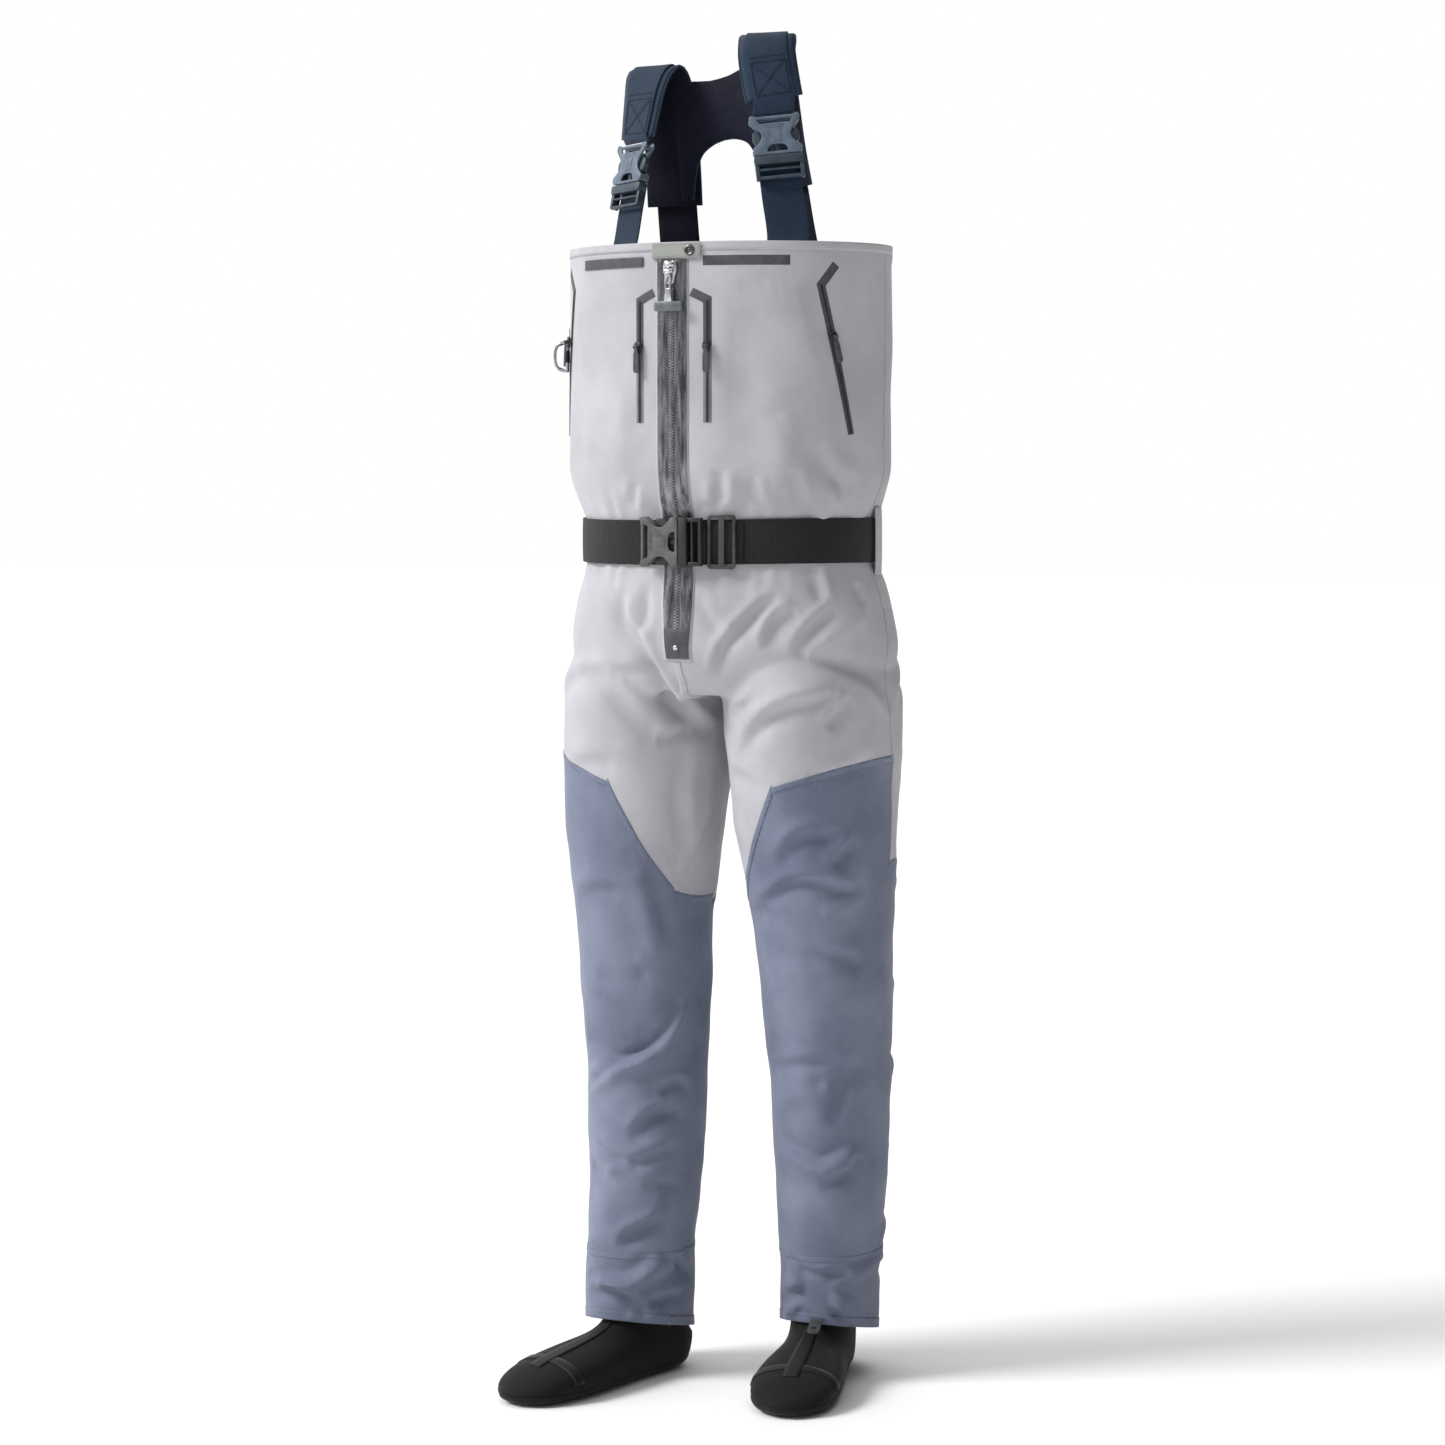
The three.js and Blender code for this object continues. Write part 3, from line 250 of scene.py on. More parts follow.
@dataclass(frozen=True)
class Foam:
    """Neoprene with a fine knit laminated on it: matt, nearly black, with a felt-like grain."""

    name: str
    dark: str
    light: str
    roughness: float = 0.85

    def make(self) -> bpy.types.Material:
        """Builds the foam: a knit grain of about 1 mm and faint rubbed patches."""
        r = Recipe(self.name)
        place = r.add("ShaderNodeTexCoord")
        rubbed = r.add("ShaderNodeTexNoise", {"Vector": place.outputs["Object"]},
                       {"Scale": blobs_per_metre(60.0), "Detail": 5.0, "Roughness": 0.6})
        knit = r.add("ShaderNodeTexVoronoi", {"Vector": place.outputs["Object"]},
                     {"Scale": blobs_per_metre(1.6)})
        tone = r.ramp(rubbed.outputs["Fac"], [(0.3, self.dark), (0.75, self.light)])
        shade = r.add("ShaderNodeMapRange", {"Value": knit.outputs["Distance"]},
                      {"To Min": 0.85, "To Max": 1.1})
        grained = r.add("ShaderNodeVectorMath", {0: tone, "Scale": shade.outputs[0]}, operation="SCALE")
        r.feed("Base Color", grained.outputs[0])
        gloss = r.add("ShaderNodeMapRange", {"Value": rubbed.outputs["Fac"]},
                      {"To Min": self.roughness - 0.12, "To Max": self.roughness + 0.1})
        r.feed("Roughness", gloss.outputs[0])
        height = r.add("ShaderNodeBump", {"Height": knit.outputs["Distance"]},
                       {"Strength": 0.3, "Distance": 0.0003})
        r.feed("Normal", height.outputs[0])
        r.fix(Sheen_Weight=0.08, Sheen_Roughness=0.4, Specular_IOR_Level=0.3)
        return r.material


@dataclass(frozen=True)
class Moulded:
    """Injection-moulded plastic or rubber: spark-eroded grain and worn, lighter patches."""

    name: str
    body: str
    worn: str
    roughness: float = 0.45
    grain: float = 0.5  # mm
    coat: float = 0.0
    ior: float = 1.5
    relief: float = 0.12

    def make(self) -> bpy.types.Material:
        """Builds the plastic: flow-mark tones, a fine grain and rubbed patches."""
        r = Recipe(self.name)
        place = r.add("ShaderNodeTexCoord")
        flow = r.add("ShaderNodeTexNoise", {"Vector": place.outputs["Object"]},
                     {"Scale": blobs_per_metre(14.0), "Detail": 4.0, "Roughness": 0.6})
        tone = r.ramp(flow.outputs["Fac"], [(0.35, self.body), (0.8, self.worn)])
        r.feed("Base Color", tone)
        grit = r.add("ShaderNodeTexNoise", {"Vector": place.outputs["Object"]},
                     {"Scale": blobs_per_metre(self.grain * 2), "Detail": 2.0})
        gloss = r.add("ShaderNodeMapRange", {"Value": flow.outputs["Fac"]},
                      {"To Min": self.roughness - 0.08, "To Max": self.roughness + 0.12})
        r.feed("Roughness", gloss.outputs[0])
        height = r.add("ShaderNodeBump", {"Height": grit.outputs["Fac"]},
                       {"Strength": self.relief, "Distance": 0.0002})
        r.feed("Normal", height.outputs[0])
        r.fix(IOR=self.ior, Coat_Weight=self.coat, Coat_Roughness=0.15)
        return r.material


@dataclass(frozen=True)
class Metal:
    """Plated or polished metal with fine brush marks and handling smudges."""

    name: str
    dark: str
    light: str
    roughness: float = 0.25

    def make(self) -> bpy.types.Material:
        """Builds the metal: stretched brush lines in the gloss and a smudged tone."""
        r = Recipe(self.name)
        place = r.add("ShaderNodeTexCoord")
        lines = r.add("ShaderNodeMapping", {"Vector": place.outputs["Object"]},
                      {"Scale": (1.0, 1.0, 0.08)})
        brush = r.add("ShaderNodeTexNoise", {"Vector": lines.outputs[0]},
                      {"Scale": blobs_per_metre(0.8), "Detail": 3.0})
        smudge = r.add("ShaderNodeTexNoise", {"Vector": place.outputs["Object"]},
                       {"Scale": blobs_per_metre(7.0), "Detail": 3.0})
        r.feed("Base Color", r.ramp(smudge.outputs["Fac"], [(0.3, self.dark), (0.7, self.light)]))
        gloss = r.add("ShaderNodeMapRange", {"Value": brush.outputs["Fac"]},
                      {"To Min": self.roughness - 0.08, "To Max": self.roughness + 0.15})
        r.feed("Roughness", gloss.outputs[0])
        height = r.add("ShaderNodeBump", {"Height": brush.outputs["Fac"]},
                       {"Strength": 0.08, "Distance": 0.0001})
        r.feed("Normal", height.outputs[0])
        r.fix(Metallic=1.0)
        return r.material


@dataclass(frozen=True)
class CoatedTape:
    """Zip tape under a shiny polyurethane film: dark, wet-looking, with a metallic glint."""

    name: str
    dark: str
    light: str

    def make(self) -> bpy.types.Material:
        """Builds the film: streaks along the tape, a part-metallic body and a clear coat."""
        r = Recipe(self.name)
        place = r.add("ShaderNodeTexCoord")
        long = r.add("ShaderNodeMapping", {"Vector": place.outputs["Object"]},
                     {"Scale": (1.0, 1.0, 0.12)})
        streak = r.add("ShaderNodeTexNoise", {"Vector": long.outputs[0]},
                       {"Scale": blobs_per_metre(5.0), "Detail": 4.0, "Roughness": 0.6})
        r.feed("Base Color", r.ramp(streak.outputs["Fac"], [(0.35, self.dark), (0.7, self.light)]))
        pebble = r.add("ShaderNodeTexNoise", {"Vector": place.outputs["Object"]},
                       {"Scale": blobs_per_metre(3.0), "Detail": 3.0})
        gloss = r.add("ShaderNodeMapRange", {"Value": pebble.outputs["Fac"]},
                      {"To Min": 0.12, "To Max": 0.36})
        r.feed("Roughness", gloss.outputs[0])
        height = r.add("ShaderNodeBump", {"Height": pebble.outputs["Fac"]},
                       {"Strength": 0.35, "Distance": 0.0006})
        r.feed("Normal", height.outputs[0])
        r.fix(Metallic=0.6, Coat_Weight=0.7, Coat_Roughness=0.12)
        return r.material


# Grey and blue are nylon or polyester laminates: plain weave, matt, with a very low sheen.
LAMINATE_GREY = Cloth("nylon_laminate_pale_grey", "adacb2", "bbbac0", relief=0.2)
LAMINATE_BLUE = Cloth("nylon_laminate_slate_blue", "646b80", "7c8296", relief=0.2)
LINING = Cloth("tricot_lining_grey", "a3a2a9", "b2b1b7", thread=1.0, mottle=50.0)
SNAP_CLOTH = Cloth("nylon_laminate_tab", "8f938d", "9fa29c", relief=0.3)
# Webbing is ribbed polyester: the ribs run across the strap.
WEB_BLACK = Cloth("polyester_webbing_black", "121212", "202021", thread=1.0, ribs=True, relief=0.6, sheen=0.1)
WEB_NAVY = Cloth("polyester_webbing_navy", "122539", "1b3148", thread=1.0, ribs=True, relief=0.6, sheen=0.12)
PAD_NAVY = Cloth("air_mesh_navy_pad", "152a40", "1e374f", thread=1.8, relief=0.7, sheen=0.15)
MESH_NAVY = Cloth("brushed_knit_dark_navy", "02041a", "060a26", thread=1.8, relief=0.5, sheen=0.05)
STITCH = Cloth("bonded_thread_navy", "0a1624", "13263a", thread=0.8)
SOCK = Foam("neoprene_black", "070707", "101011")
SOCK_SOLE = Foam("neoprene_sole_black", "050505", "0c0c0d", roughness=0.75)
SOCK_TAPE = Foam("seam_tape_black", "0c0c0d", "151516", roughness=0.6)
ZIP_FILM = CoatedTape("polyurethane_zip_tape", "323336", "8e8f94")
ZIP_TEETH = Moulded("acetal_zip_teeth", "55565a", "a0a1a4", roughness=0.3, coat=0.4)
ZIP_SILVER = Metal("nickel_plated_zinc", "b5b7ba", "dcdedf", roughness=0.2)
PULL_GREY = Moulded("rubber_pull_grey", "535a5e", "6d7478", roughness=0.4, coat=0.2)
TAPE_DARK = Moulded("polyurethane_welt_dark", "3c3b41", "55545b", roughness=0.5)
# A paler copy of the dark welt for the pocket zips' tape below the slider: painted light, so that the tape
# above the slider reads as painted shade.
TAPE_LIT_COPY = Moulded("polyurethane_welt_lit_copy", "6f6b72", "85818a", roughness=0.6)
NYLON_SLATE = Moulded("acetal_buckle_slate", "4f5d6c", "6b7a8a", roughness=0.4, coat=0.15)
# The strap buckles' male half: the same slate acetal as the female half, painted darker as shade.
NYLON_SLATE_PAINTED_SHADE = Moulded("acetal_buckle_slate_painted_shade", "27333f", "3b4957", roughness=0.4, coat=0.15)
NYLON_BLACK = Moulded("acetal_buckle_black", "141415", "2a2a2b", roughness=0.45)
NYLON_GREY = Moulded("acetal_buckle_grey", "4d4d4e", "666667", roughness=0.45)
TRI_GLIDE = Moulded("acetal_tri_glide", "2e2e2f", "484849", roughness=0.4)
HOOK_GREY = Moulded("polyurethane_hook_grey", "303031", "4c4c4d", roughness=0.6)
STEEL = Metal("stainless_wire", "9a9da0", "c3c5c7", roughness=0.18)
SNAP_METAL = Metal("gunmetal_snap", "4e4c4e", "747274", roughness=0.3)


class Finishes:
    """Makes each finish once."""

    _made: dict[str, bpy.types.Material] = {}

    @classmethod
    def of(cls, finish: Cloth | Foam | Moulded | Metal | CoatedTape) -> bpy.types.Material:
        """The material of a finish, made when it is first asked for."""
        if finish.name not in cls._made:
            cls._made[finish.name] = finish.make()
        return cls._made[finish.name]


# ---- mesh workshop ---------------------------------------------------------------------------


def to_object(name: str, bm: bmesh.types.BMesh, smooth_angle: float = 40.0) -> bpy.types.Object:
    """Turns a bmesh into an object at the origin and frees it.

    Args:
        name: Object name.
        bm: Mesh in the part's frame, in metres.
        smooth_angle: Edges sharper than this, in degrees, stay sharp.

    Returns:
        The linked object.
    """
    mesh = bpy.data.meshes.new(name)
    bm.to_mesh(mesh)
    bm.free()
    made = bpy.data.objects.new(name, mesh)
    bpy.context.scene.collection.objects.link(made)
    mesh.shade_smooth()
    mesh.set_sharp_from_angle(angle=math.radians(smooth_angle))
    return made


def settle(made: bpy.types.Object, finish, body: str, slot: Slot, *nodes: str) -> bpy.types.Object:
    """Gives a piece its finish, its body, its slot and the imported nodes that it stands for."""
    made.data.materials.clear()
    made.data.materials.append(Finishes.of(finish))
    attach(made, body)
    if nodes:
        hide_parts(*nodes)
    LOG.info("%s: %d faces", made.name, len(made.data.polygons))
    return made


def grid(points: np.ndarray, wrap: bool = False, close_ends: bool = False) -> bmesh.types.BMesh:
    """A grid bent to rows of points, with its UV in metres along and across.

    Args:
        points: Array of rows by columns by 3, in metres. With wrap the last column repeats the first.
        wrap: Whether the columns close into a ring.
        close_ends: Whether the first and last rings are filled.

    Returns:
        The bent grid, its normals outward where it is closed.
    """
    rows, columns = points.shape[:2]
    bm = bmesh.new()
    bmesh.ops.create_grid(bm, x_segments=columns - 1, y_segments=rows - 1, size=0.5)
    step = np.linalg.norm(np.diff(points, axis=0), axis=2).mean(axis=1)
    along = np.concatenate([[0.0], np.cumsum(step)])
    step = np.linalg.norm(np.diff(points, axis=1), axis=2).mean(axis=0)
    across = np.concatenate([[0.0], np.cumsum(step)])
    layer = bm.loops.layers.uv.new("UVMap")
    for face in bm.faces:
        for loop in face.loops:
            row, column = divmod(loop.vert.index, columns)
            loop[layer].uv = (across[column], along[row])
    for vert, place in zip(bm.verts, points.reshape(-1, 3)):
        vert.co = place
    if wrap:
        bmesh.ops.remove_doubles(bm, verts=bm.verts, dist=1e-6)
    if close_ends:
        bmesh.ops.holes_fill(bm, edges=[e for e in bm.edges if e.is_boundary], sides=0)
    bmesh.ops.recalc_face_normals(bm, faces=bm.faces)
    return bm


def soften(bm: bmesh.types.BMesh, width: float, segments: int = 2, angle: float = 35.0) -> None:
    """Bevels the edges of a mesh that turn by more than an angle.

    Args:
        bm: The mesh.
        width: Bevel width in metres.
        segments: Bevel segments.
        angle: Least turn in degrees.
    """
    least = math.radians(angle)
    edges = [e for e in bm.edges if len(e.link_faces) == 2 and e.calc_face_angle() > least]
    bmesh.ops.bevel(bm, geom=edges, offset=width, offset_type="OFFSET", segments=segments, profile=0.5,
                    affect="EDGES", material=-1, clamp_overlap=True)


def plate(outline: Sequence[tuple[float, float]], y0: float, y1: float,
          holes: Sequence[Sequence[tuple[float, float]]] = (), bevel: float = 0.5) -> bmesh.types.BMesh:
    """A plate in local millimetres: an x-z outline with windows, from y0 (the face) back to y1.

    Args:
        outline: Corners of the outline.
        y0: Front face.
        y1: Back face.
        holes: Corners of each window.
        bevel: Width of the rounded edges.

    Returns:
        The plate, in millimetres.
    """
    bm = bmesh.new()
    for loop in [outline, *holes]:
        ring = [bm.verts.new((x, y0, z)) for x, z in loop]
        for i, vert in enumerate(ring):
            bm.edges.new((vert, ring[(i + 1) % len(ring)]))
    bmesh.ops.triangle_fill(bm, use_beauty=True, use_dissolve=False, edges=bm.edges)
    bmesh.ops.dissolve_limit(bm, angle_limit=0.02, verts=bm.verts, edges=bm.edges)
    grown = bmesh.ops.extrude_face_region(bm, geom=bm.faces[:])
    moved = [g for g in grown["geom"] if isinstance(g, bmesh.types.BMVert)]
    bmesh.ops.translate(bm, vec=(0, y1 - y0, 0), verts=moved)
    bmesh.ops.recalc_face_normals(bm, faces=bm.faces)
    if bevel:
        soften(bm, bevel)
    return bm


def block(x0: float, x1: float, y0: float, y1: float, z0: float, z1: float,
          bevel: float = 0.5) -> bmesh.types.BMesh:
    """A block with rounded edges between two corners, in millimetres."""
    bm = bmesh.new()
    size = Matrix.Diagonal((x1 - x0, y1 - y0, z1 - z0, 1.0))
    middle = Matrix.Translation(((x0 + x1) / 2, (y0 + y1) / 2, (z0 + z1) / 2))
    bmesh.ops.create_cube(bm, size=1.0, matrix=middle @ size)
    if bevel:
        soften(bm, bevel)
    return bm


def rod(start: Sequence[float], end: Sequence[float], radius: float, sides: int = 16,
        bevel: float = 0.25) -> bmesh.types.BMesh:
    """A round bar with eased ends between two points, in millimetres."""
    a, b = Vector(start), Vector(end)
    turn = Vector((0, 0, 1)).rotation_difference(b - a).to_matrix().to_4x4()
    bm = bmesh.new()
    bmesh.ops.create_cone(bm, cap_ends=True, segments=sides, radius1=radius, radius2=radius,
                          depth=(b - a).length, matrix=Matrix.Translation((a + b) / 2) @ turn)
    if bevel:
        soften(bm, bevel, 2, 60.0)
    return bm


def merged(*parts: bmesh.types.BMesh) -> bmesh.types.BMesh:
    """Puts several meshes in one and frees them."""
    whole = bmesh.new()
    for part in parts:
        mesh = bpy.data.meshes.new("part")
        part.to_mesh(mesh)
        part.free()
        whole.from_mesh(mesh)
        bpy.data.meshes.remove(mesh)
    return whole


def placed(bm: bmesh.types.BMesh, matrix: Matrix) -> bmesh.types.BMesh:
    """Moves a mesh in local millimetres to its place in the part's frame, in metres."""
    bmesh.ops.transform(bm, matrix=matrix, verts=bm.verts)
    return bm


def unit(v: np.ndarray) -> np.ndarray:
    """The vectors of an array at length 1."""
    return v / np.maximum(np.linalg.norm(v, axis=-1, keepdims=True), 1e-12)


def curve_through(points: Sequence[Sequence[float]], count: int) -> np.ndarray:
    """Points spaced evenly on a smooth line through others.

    Args:
        points: The line's own points.
        count: How many to return.

    Returns:
        Array of count by 3.
    """
    p = np.asarray(points, float)
    ends = np.vstack([2 * p[0] - p[1], p, 2 * p[-1] - p[-2]])
    dense = []
    for i in range(len(p) - 1):
        a, b, c, d = ends[i : i + 4]
        for t in np.linspace(0, 1, 16, endpoint=False):
            dense.append(0.5 * (2 * b + (c - a) * t + (2 * a - 5 * b + 4 * c - d) * t**2
                                + (3 * b - a - 3 * c + d) * t**3))
    dense.append(p[-1])
    line = np.array(dense)
    length = np.concatenate([[0], np.cumsum(np.linalg.norm(np.diff(line, axis=0), axis=1))])
    wanted = np.linspace(0, length[-1], count)
    return np.stack([np.interp(wanted, length, line[:, k]) for k in range(line.shape[1])], axis=1)


# ---- the wearer's shape ----------------------------------------------------------------------


@dataclass(frozen=True)
class Body:
    """Sections of the trunk and the legs, and where they stand in the part's frame."""

    hem: float = 1305.0
    back_dip: float = 140.0
    waist: float = 974.0
    crotch: float = 800.0
    chest: tuple[float, float] = (192.0, 145.0)
    waist_half: tuple[float, float] = (171.0, 132.0)
    hip: tuple[float, float] = (199.0, 147.0)
    trunk_x: float = 3.0
    zip_bottom: float = 843.0

    @property
    def trunk(self) -> np.ndarray:
        """Rows of height, axis x, axis y, half width and half depth."""
        low, high = self.crotch, self.waist - 27
        hips = [(0, .1, -1.2, 8), (.16, .75, .2, 8), (.36, .95, .93, 7), (.56, .82, .75, 6),
                (.78, .55, .5, 4), (.91, .25, .25, 3)]
        rows = [(low + (high - low) * s, self.trunk_x + 2, y,
                 self.waist_half[0] + (self.hip[0] - self.waist_half[0]) * w,
                 self.waist_half[1] + (self.hip[1] - self.waist_half[1]) * d) for s, w, d, y in hips]
        rows += [(self.waist - 27, self.trunk_x, 1, *self.waist_half),
                 (self.waist + 27, self.trunk_x, 1, *self.waist_half),
                 (self.waist + 44, self.trunk_x, .5, 181.5, 139.15),
                 (self.waist + 76, self.trunk_x, 0, *self.chest),
                 (self.hem, self.trunk_x, 0, *self.chest)]
        return np.array(rows, float)

    def leg(self, side: Side) -> np.ndarray:
        """Rows of height, axis x, axis y, half width, half depth and turn in radians."""
        table = [
            (.035, -100, -26.5, 103, 61, 56, 69, 1), (.0875, -100, -27, 104, 60, 56.5, 69, 1),
            (.1875, -97, -30, 108, 55, 60, 69, .7), (.305, -88, -32, 115, 41, 64, 70, .3),
            (.45, -91, -24, 118, 31, 69, 75, 0), (.56, -95, -18, 118, 23, 75, 81, 0),
            (.67, -102, -12, 117, 15, 79, 87, 0), (.81, -103, -5, 111, 5, 92, 101, 0),
            (.92, -101, 4, 108, 6, 97, 116, 0), (1, -98, 8, 105, 8, 98, 127, 0),
            (1.04, -95, 8, 101, 8, 95, 124, 0), (1.08, -88, 8, 93, 8, 84, 104, 0)]
        right = side is Side.RIGHT
        splay = math.radians(FEET[side].splay)
        return np.array([(s * self.crotch, rx if right else lx, ry if right else ly, w, d, t * splay)
                         for s, rx, ry, lx, ly, w, d, t in table], float)

    @staticmethod
    def section(rows: np.ndarray, z: float | np.ndarray) -> list[np.ndarray]:
        """Axis x, axis y, half width, half depth and turn of a table at a height."""
        found = [np.interp(z, rows[:, 0], rows[:, k]) for k in range(1, rows.shape[1])]
        return found if len(found) == 5 else [*found, np.zeros_like(found[0])]

    @property
    def shift(self) -> np.ndarray:
        """From the wearer's frame to the part's, in millimetres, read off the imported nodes."""
        zip_low, zip_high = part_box("front_zip")
        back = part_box("chest_back")[1].y / MM
        return np.array([(zip_low.x + zip_high.x) / 2 / MM - self.trunk_x, back - self.chest[1],
                         zip_low.z / MM - self.zip_bottom])

    def metres(self, points: np.ndarray | Sequence) -> np.ndarray:
        """Points of the wearer's frame, in millimetres, as points of the part's frame."""
        return (np.asarray(points, float) + SHIFT) * MM

    def on_trunk(self, degrees: float, z: float, lift: float = 0.0) -> tuple[np.ndarray, np.ndarray]:
        """A place on the trunk and its outward normal, in the wearer's frame.

        Args:
            degrees: Angle from the front's middle towards the wearer's left.
            z: Height.
            lift: Distance outwards from the surface.

        Returns:
            The point and the unit normal.
        """
        x, y, w, d, _ = self.section(self.trunk, z)
        a = math.radians(degrees)
        normal = unit(np.array([math.sin(a) / w, -math.cos(a) / d, 0.0]))
        return np.array([x + w * math.sin(a), y - d * math.cos(a), z]) + normal * lift, normal

    def hem_height(self, y: float | np.ndarray) -> np.ndarray:
        """Height of the bib's top edge at a y: level in front, scooped at the back."""
        start, end = self.chest[1] * 0.3, self.chest[1] * 0.97
        share = np.clip((np.asarray(y) - start) / (end - start), 0, 1)
        return self.hem - self.back_dip * share * share * (3 - 2 * share)


@dataclass(frozen=True)
class Foot:
    """Where a foot's heel stands, in millimetres, and its splay in degrees."""

    heel: tuple[float, float]
    splay: float

    def point(self, along: float, across: float, up: float) -> np.ndarray:
        """A point of the foot in the wearer's frame."""
        a = math.radians(self.splay)
        return np.array([self.heel[0] + along * math.sin(a) + across * math.cos(a),
                         self.heel[1] - along * math.cos(a) + across * math.sin(a), up])


FEET = {Side.RIGHT: Foot((-73, 28), -17), Side.LEFT: Foot((82, 118), 13)}
BODY = Body()
SHIFT = BODY.shift
TO_METRES = Matrix.Scale(MM, 4) @ Matrix.Translation(Vector(SHIFT))


def local_frame(x: np.ndarray, y: np.ndarray, z: np.ndarray, origin: np.ndarray) -> Matrix:
    """Takes local millimetres with these axes and origin to metres in the part's frame."""
    turn = Matrix([[x[i], y[i], z[i], origin[i]] for i in range(3)] + [[0, 0, 0, 1]])
    return TO_METRES @ turn


def sides() -> Iterable[Side]:
    """Both sides, the wearer's right first."""
    return (Side.RIGHT, Side.LEFT)


# ---- the camera's stand ----------------------------------------------------------------------


@dataclass(frozen=True)
class Stand:
    """Where somebody stands to look at the waders, in millimetres from the body's axis."""

    azimuth: float = 26.0
    height: float = 1050.0
    distance: float = 4000.0

    @property
    def back(self) -> np.ndarray:
        """Level direction from the body to the stand."""
        a = math.radians(self.azimuth)
        return np.array([math.sin(a), -math.cos(a), 0.0])

    @property
    def right(self) -> np.ndarray:
        """Level direction to the right, as seen from the stand."""
        a = math.radians(self.azimuth)
        return np.array([math.cos(a), math.sin(a), 0.0])

    @property
    def eye(self) -> np.ndarray:
        """The eye's point in the wearer's frame."""
        return self.back * self.distance + np.array([0, 0, self.height])

    def facing(self, lateral: float, height: float) -> np.ndarray:
        """A point of the upright plane through the body's axis, as seen from the stand."""
        return self.right * lateral + np.array([0, 0, height])


FRONT = Stand()
BACK_RIGHT = Stand(azimuth=205.0)
LEFT_SIDE = Stand(azimuth=95.0)
RIGHT_SIDE = Stand(azimuth=-75.0)


# ---- the fabric shell ------------------------------------------------------------------------


@dataclass(frozen=True)
class Fold:
    """One fold of the cloth, drawn as a line across what a stand sees.

    A ridge has a positive height and a crease a negative one. A pleat is a ridge with a sharper
    crease along one side of it.
    """

    line: tuple[tuple[float, float], ...]
    width: float
    height: float
    pleat: float = 0.0
    stand: Stand = FRONT


# Each line is (distance to the right of the body's axis, height above the floor).
FOLD_GAIN = 1.22  # deepens every fold together
CHEST_FOLDS = (
    Fold(((61, 1273), (84, 1202), (98, 1145)), 34, 4.0),
    Fold(((29, 1242), (21, 1168), (26, 1059)), 26, -3.5),
    Fold(((58, 1117), (67, 1059), (61, 1025)), 20, 3.5),
    Fold(((-157, 1079), (-137, 1059), (-117, 1031)), 14, -3.0, 0.5),
    Fold(((98, 1082), (118, 1051), (147, 1031)), 14, -3.5, 0.5),
    Fold(((-100, 1150), (-120, 1090), (-124, 1040)), 26, 3.0),
    Fold(((-8, 1056), (-5, 1012)), 9, -3.5, 0.8),
    Fold(((-22, 1044), (-21, 1012)), 8, 3.0),
    Fold(((-106, 1040), (-107, 1008)), 9, -4.0, 0.7),
    Fold(((26, 1046), (37, 1012)), 9, -3.5, 0.7),
    Fold(((75, 1056), (86, 1012)), 9, -3.5, 0.7),
    Fold(((120, 1040), (126, 1012)), 8, 3.0, 0.5),
)
HIP_FOLDS = (
    Fold(((-120, 918), (-121, 880), (-103, 854), (-77, 809), (-46, 771), (-14, 748)), 13, -11.0, 0.9),
    Fold(((-14, 815), (-2, 851), (36, 892), (60, 908)), 9, -5.5, 0.9),
    Fold(((43, 848), (58, 880), (81, 892)), 10, -5.0, 0.8),
    Fold(((81, 838), (90, 860), (125, 896)), 10, -5.0, 0.8),
    Fold(((162, 888), (125, 867), (87, 841)), 13, 5.0),
    Fold(((14, 722), (36, 755), (68, 777), (128, 792)), 12, -6.0, 0.9),
    Fold(((116, 755), (145, 792)), 11, -5.5, 0.8),
    Fold(((2, 771), (34, 790)), 9, -4.0, 0.6),
    Fold(((-168, 830), (-138, 803), (-109, 771), (-78, 748)), 15, -6.0, 0.7),
    Fold(((-82, 742), (-38, 757)), 9, -5.0, 0.9),
    Fold(((-46, 735), (-55, 684), (-49, 606)), 13, -5.0, 0.5),
    Fold(((-14, 708), (-24, 655), (-56, 590)), 8, 4.5, 0.6),
    Fold(((-90, 925), (-93, 886), (-99, 860)), 9, -5.0, 0.6),
    Fold(((-33, 919), (-27, 889), (0, 862)), 9, -3.5, 0.6),
    Fold(((-60, 935), (-64, 900)), 8, 3.0),
    Fold(((100, 930), (112, 900)), 9, -4.0, 0.6),
    Fold(((150, 925), (158, 898)), 9, -3.5, 0.6),
)
LEG_FOLDS = (
    Fold(((-110, 590), (-91, 542), (-81, 495)), 15, 5.0, 0.7),
    Fold(((34, 544), (68, 571), (100, 577), (152, 562)), 10, -6.0, 0.9),
    Fold(((59, 597), (87, 626), (132, 629)), 12, -5.5, 0.7),
    Fold(((122, 594), (153, 628)), 11, -5.5, 0.8),
    Fold(((-168, 389), (-132, 366), (-97, 372), (-72, 392), (-46, 437)), 8, 8.0, 1.0),
    Fold(((-166, 406), (-130, 388), (-98, 392), (-80, 412)), 14, -4.0),
    Fold(((-160, 330), (-126, 356), (-84, 378)), 8, 5.5, 0.9),
    Fold(((-77, 328), (-59, 343), (-41, 333)), 8, -6.5, 0.6),
    Fold(((-112, 275), (-85, 304), (-52, 311)), 11, -5.5, 0.8),
    Fold(((-150, 274), (-129, 255), (-110, 250), (-57, 270)), 9, -6.5, 0.9),
    Fold(((-145, 238), (-108, 249)), 8, 4.5, 0.6),
    Fold(((-124, 157), (-78, 183), (-63, 216)), 12, -5.0, 0.7),
    Fold(((54, 278), (81, 255), (113, 245), (150, 270)), 10, 6.5, 0.9),
    Fold(((124, 288), (132, 330), (157, 372)), 14, -5.5, 0.5),
    Fold(((108, 220), (139, 235), (157, 258)), 10, -5.5, 0.8),
    Fold(((52, 359), (72, 363), (113, 366), (150, 363)), 10, -4.0, 0.6),
    Fold(((52, 318), (80, 330), (110, 322)), 12, 3.5),
    Fold(((60, 470), (100, 478), (150, 462)), 16, 3.0, 0.4),
    Fold(((-150, 480), (-120, 462), (-90, 470)), 16, -3.0, 0.4),
)
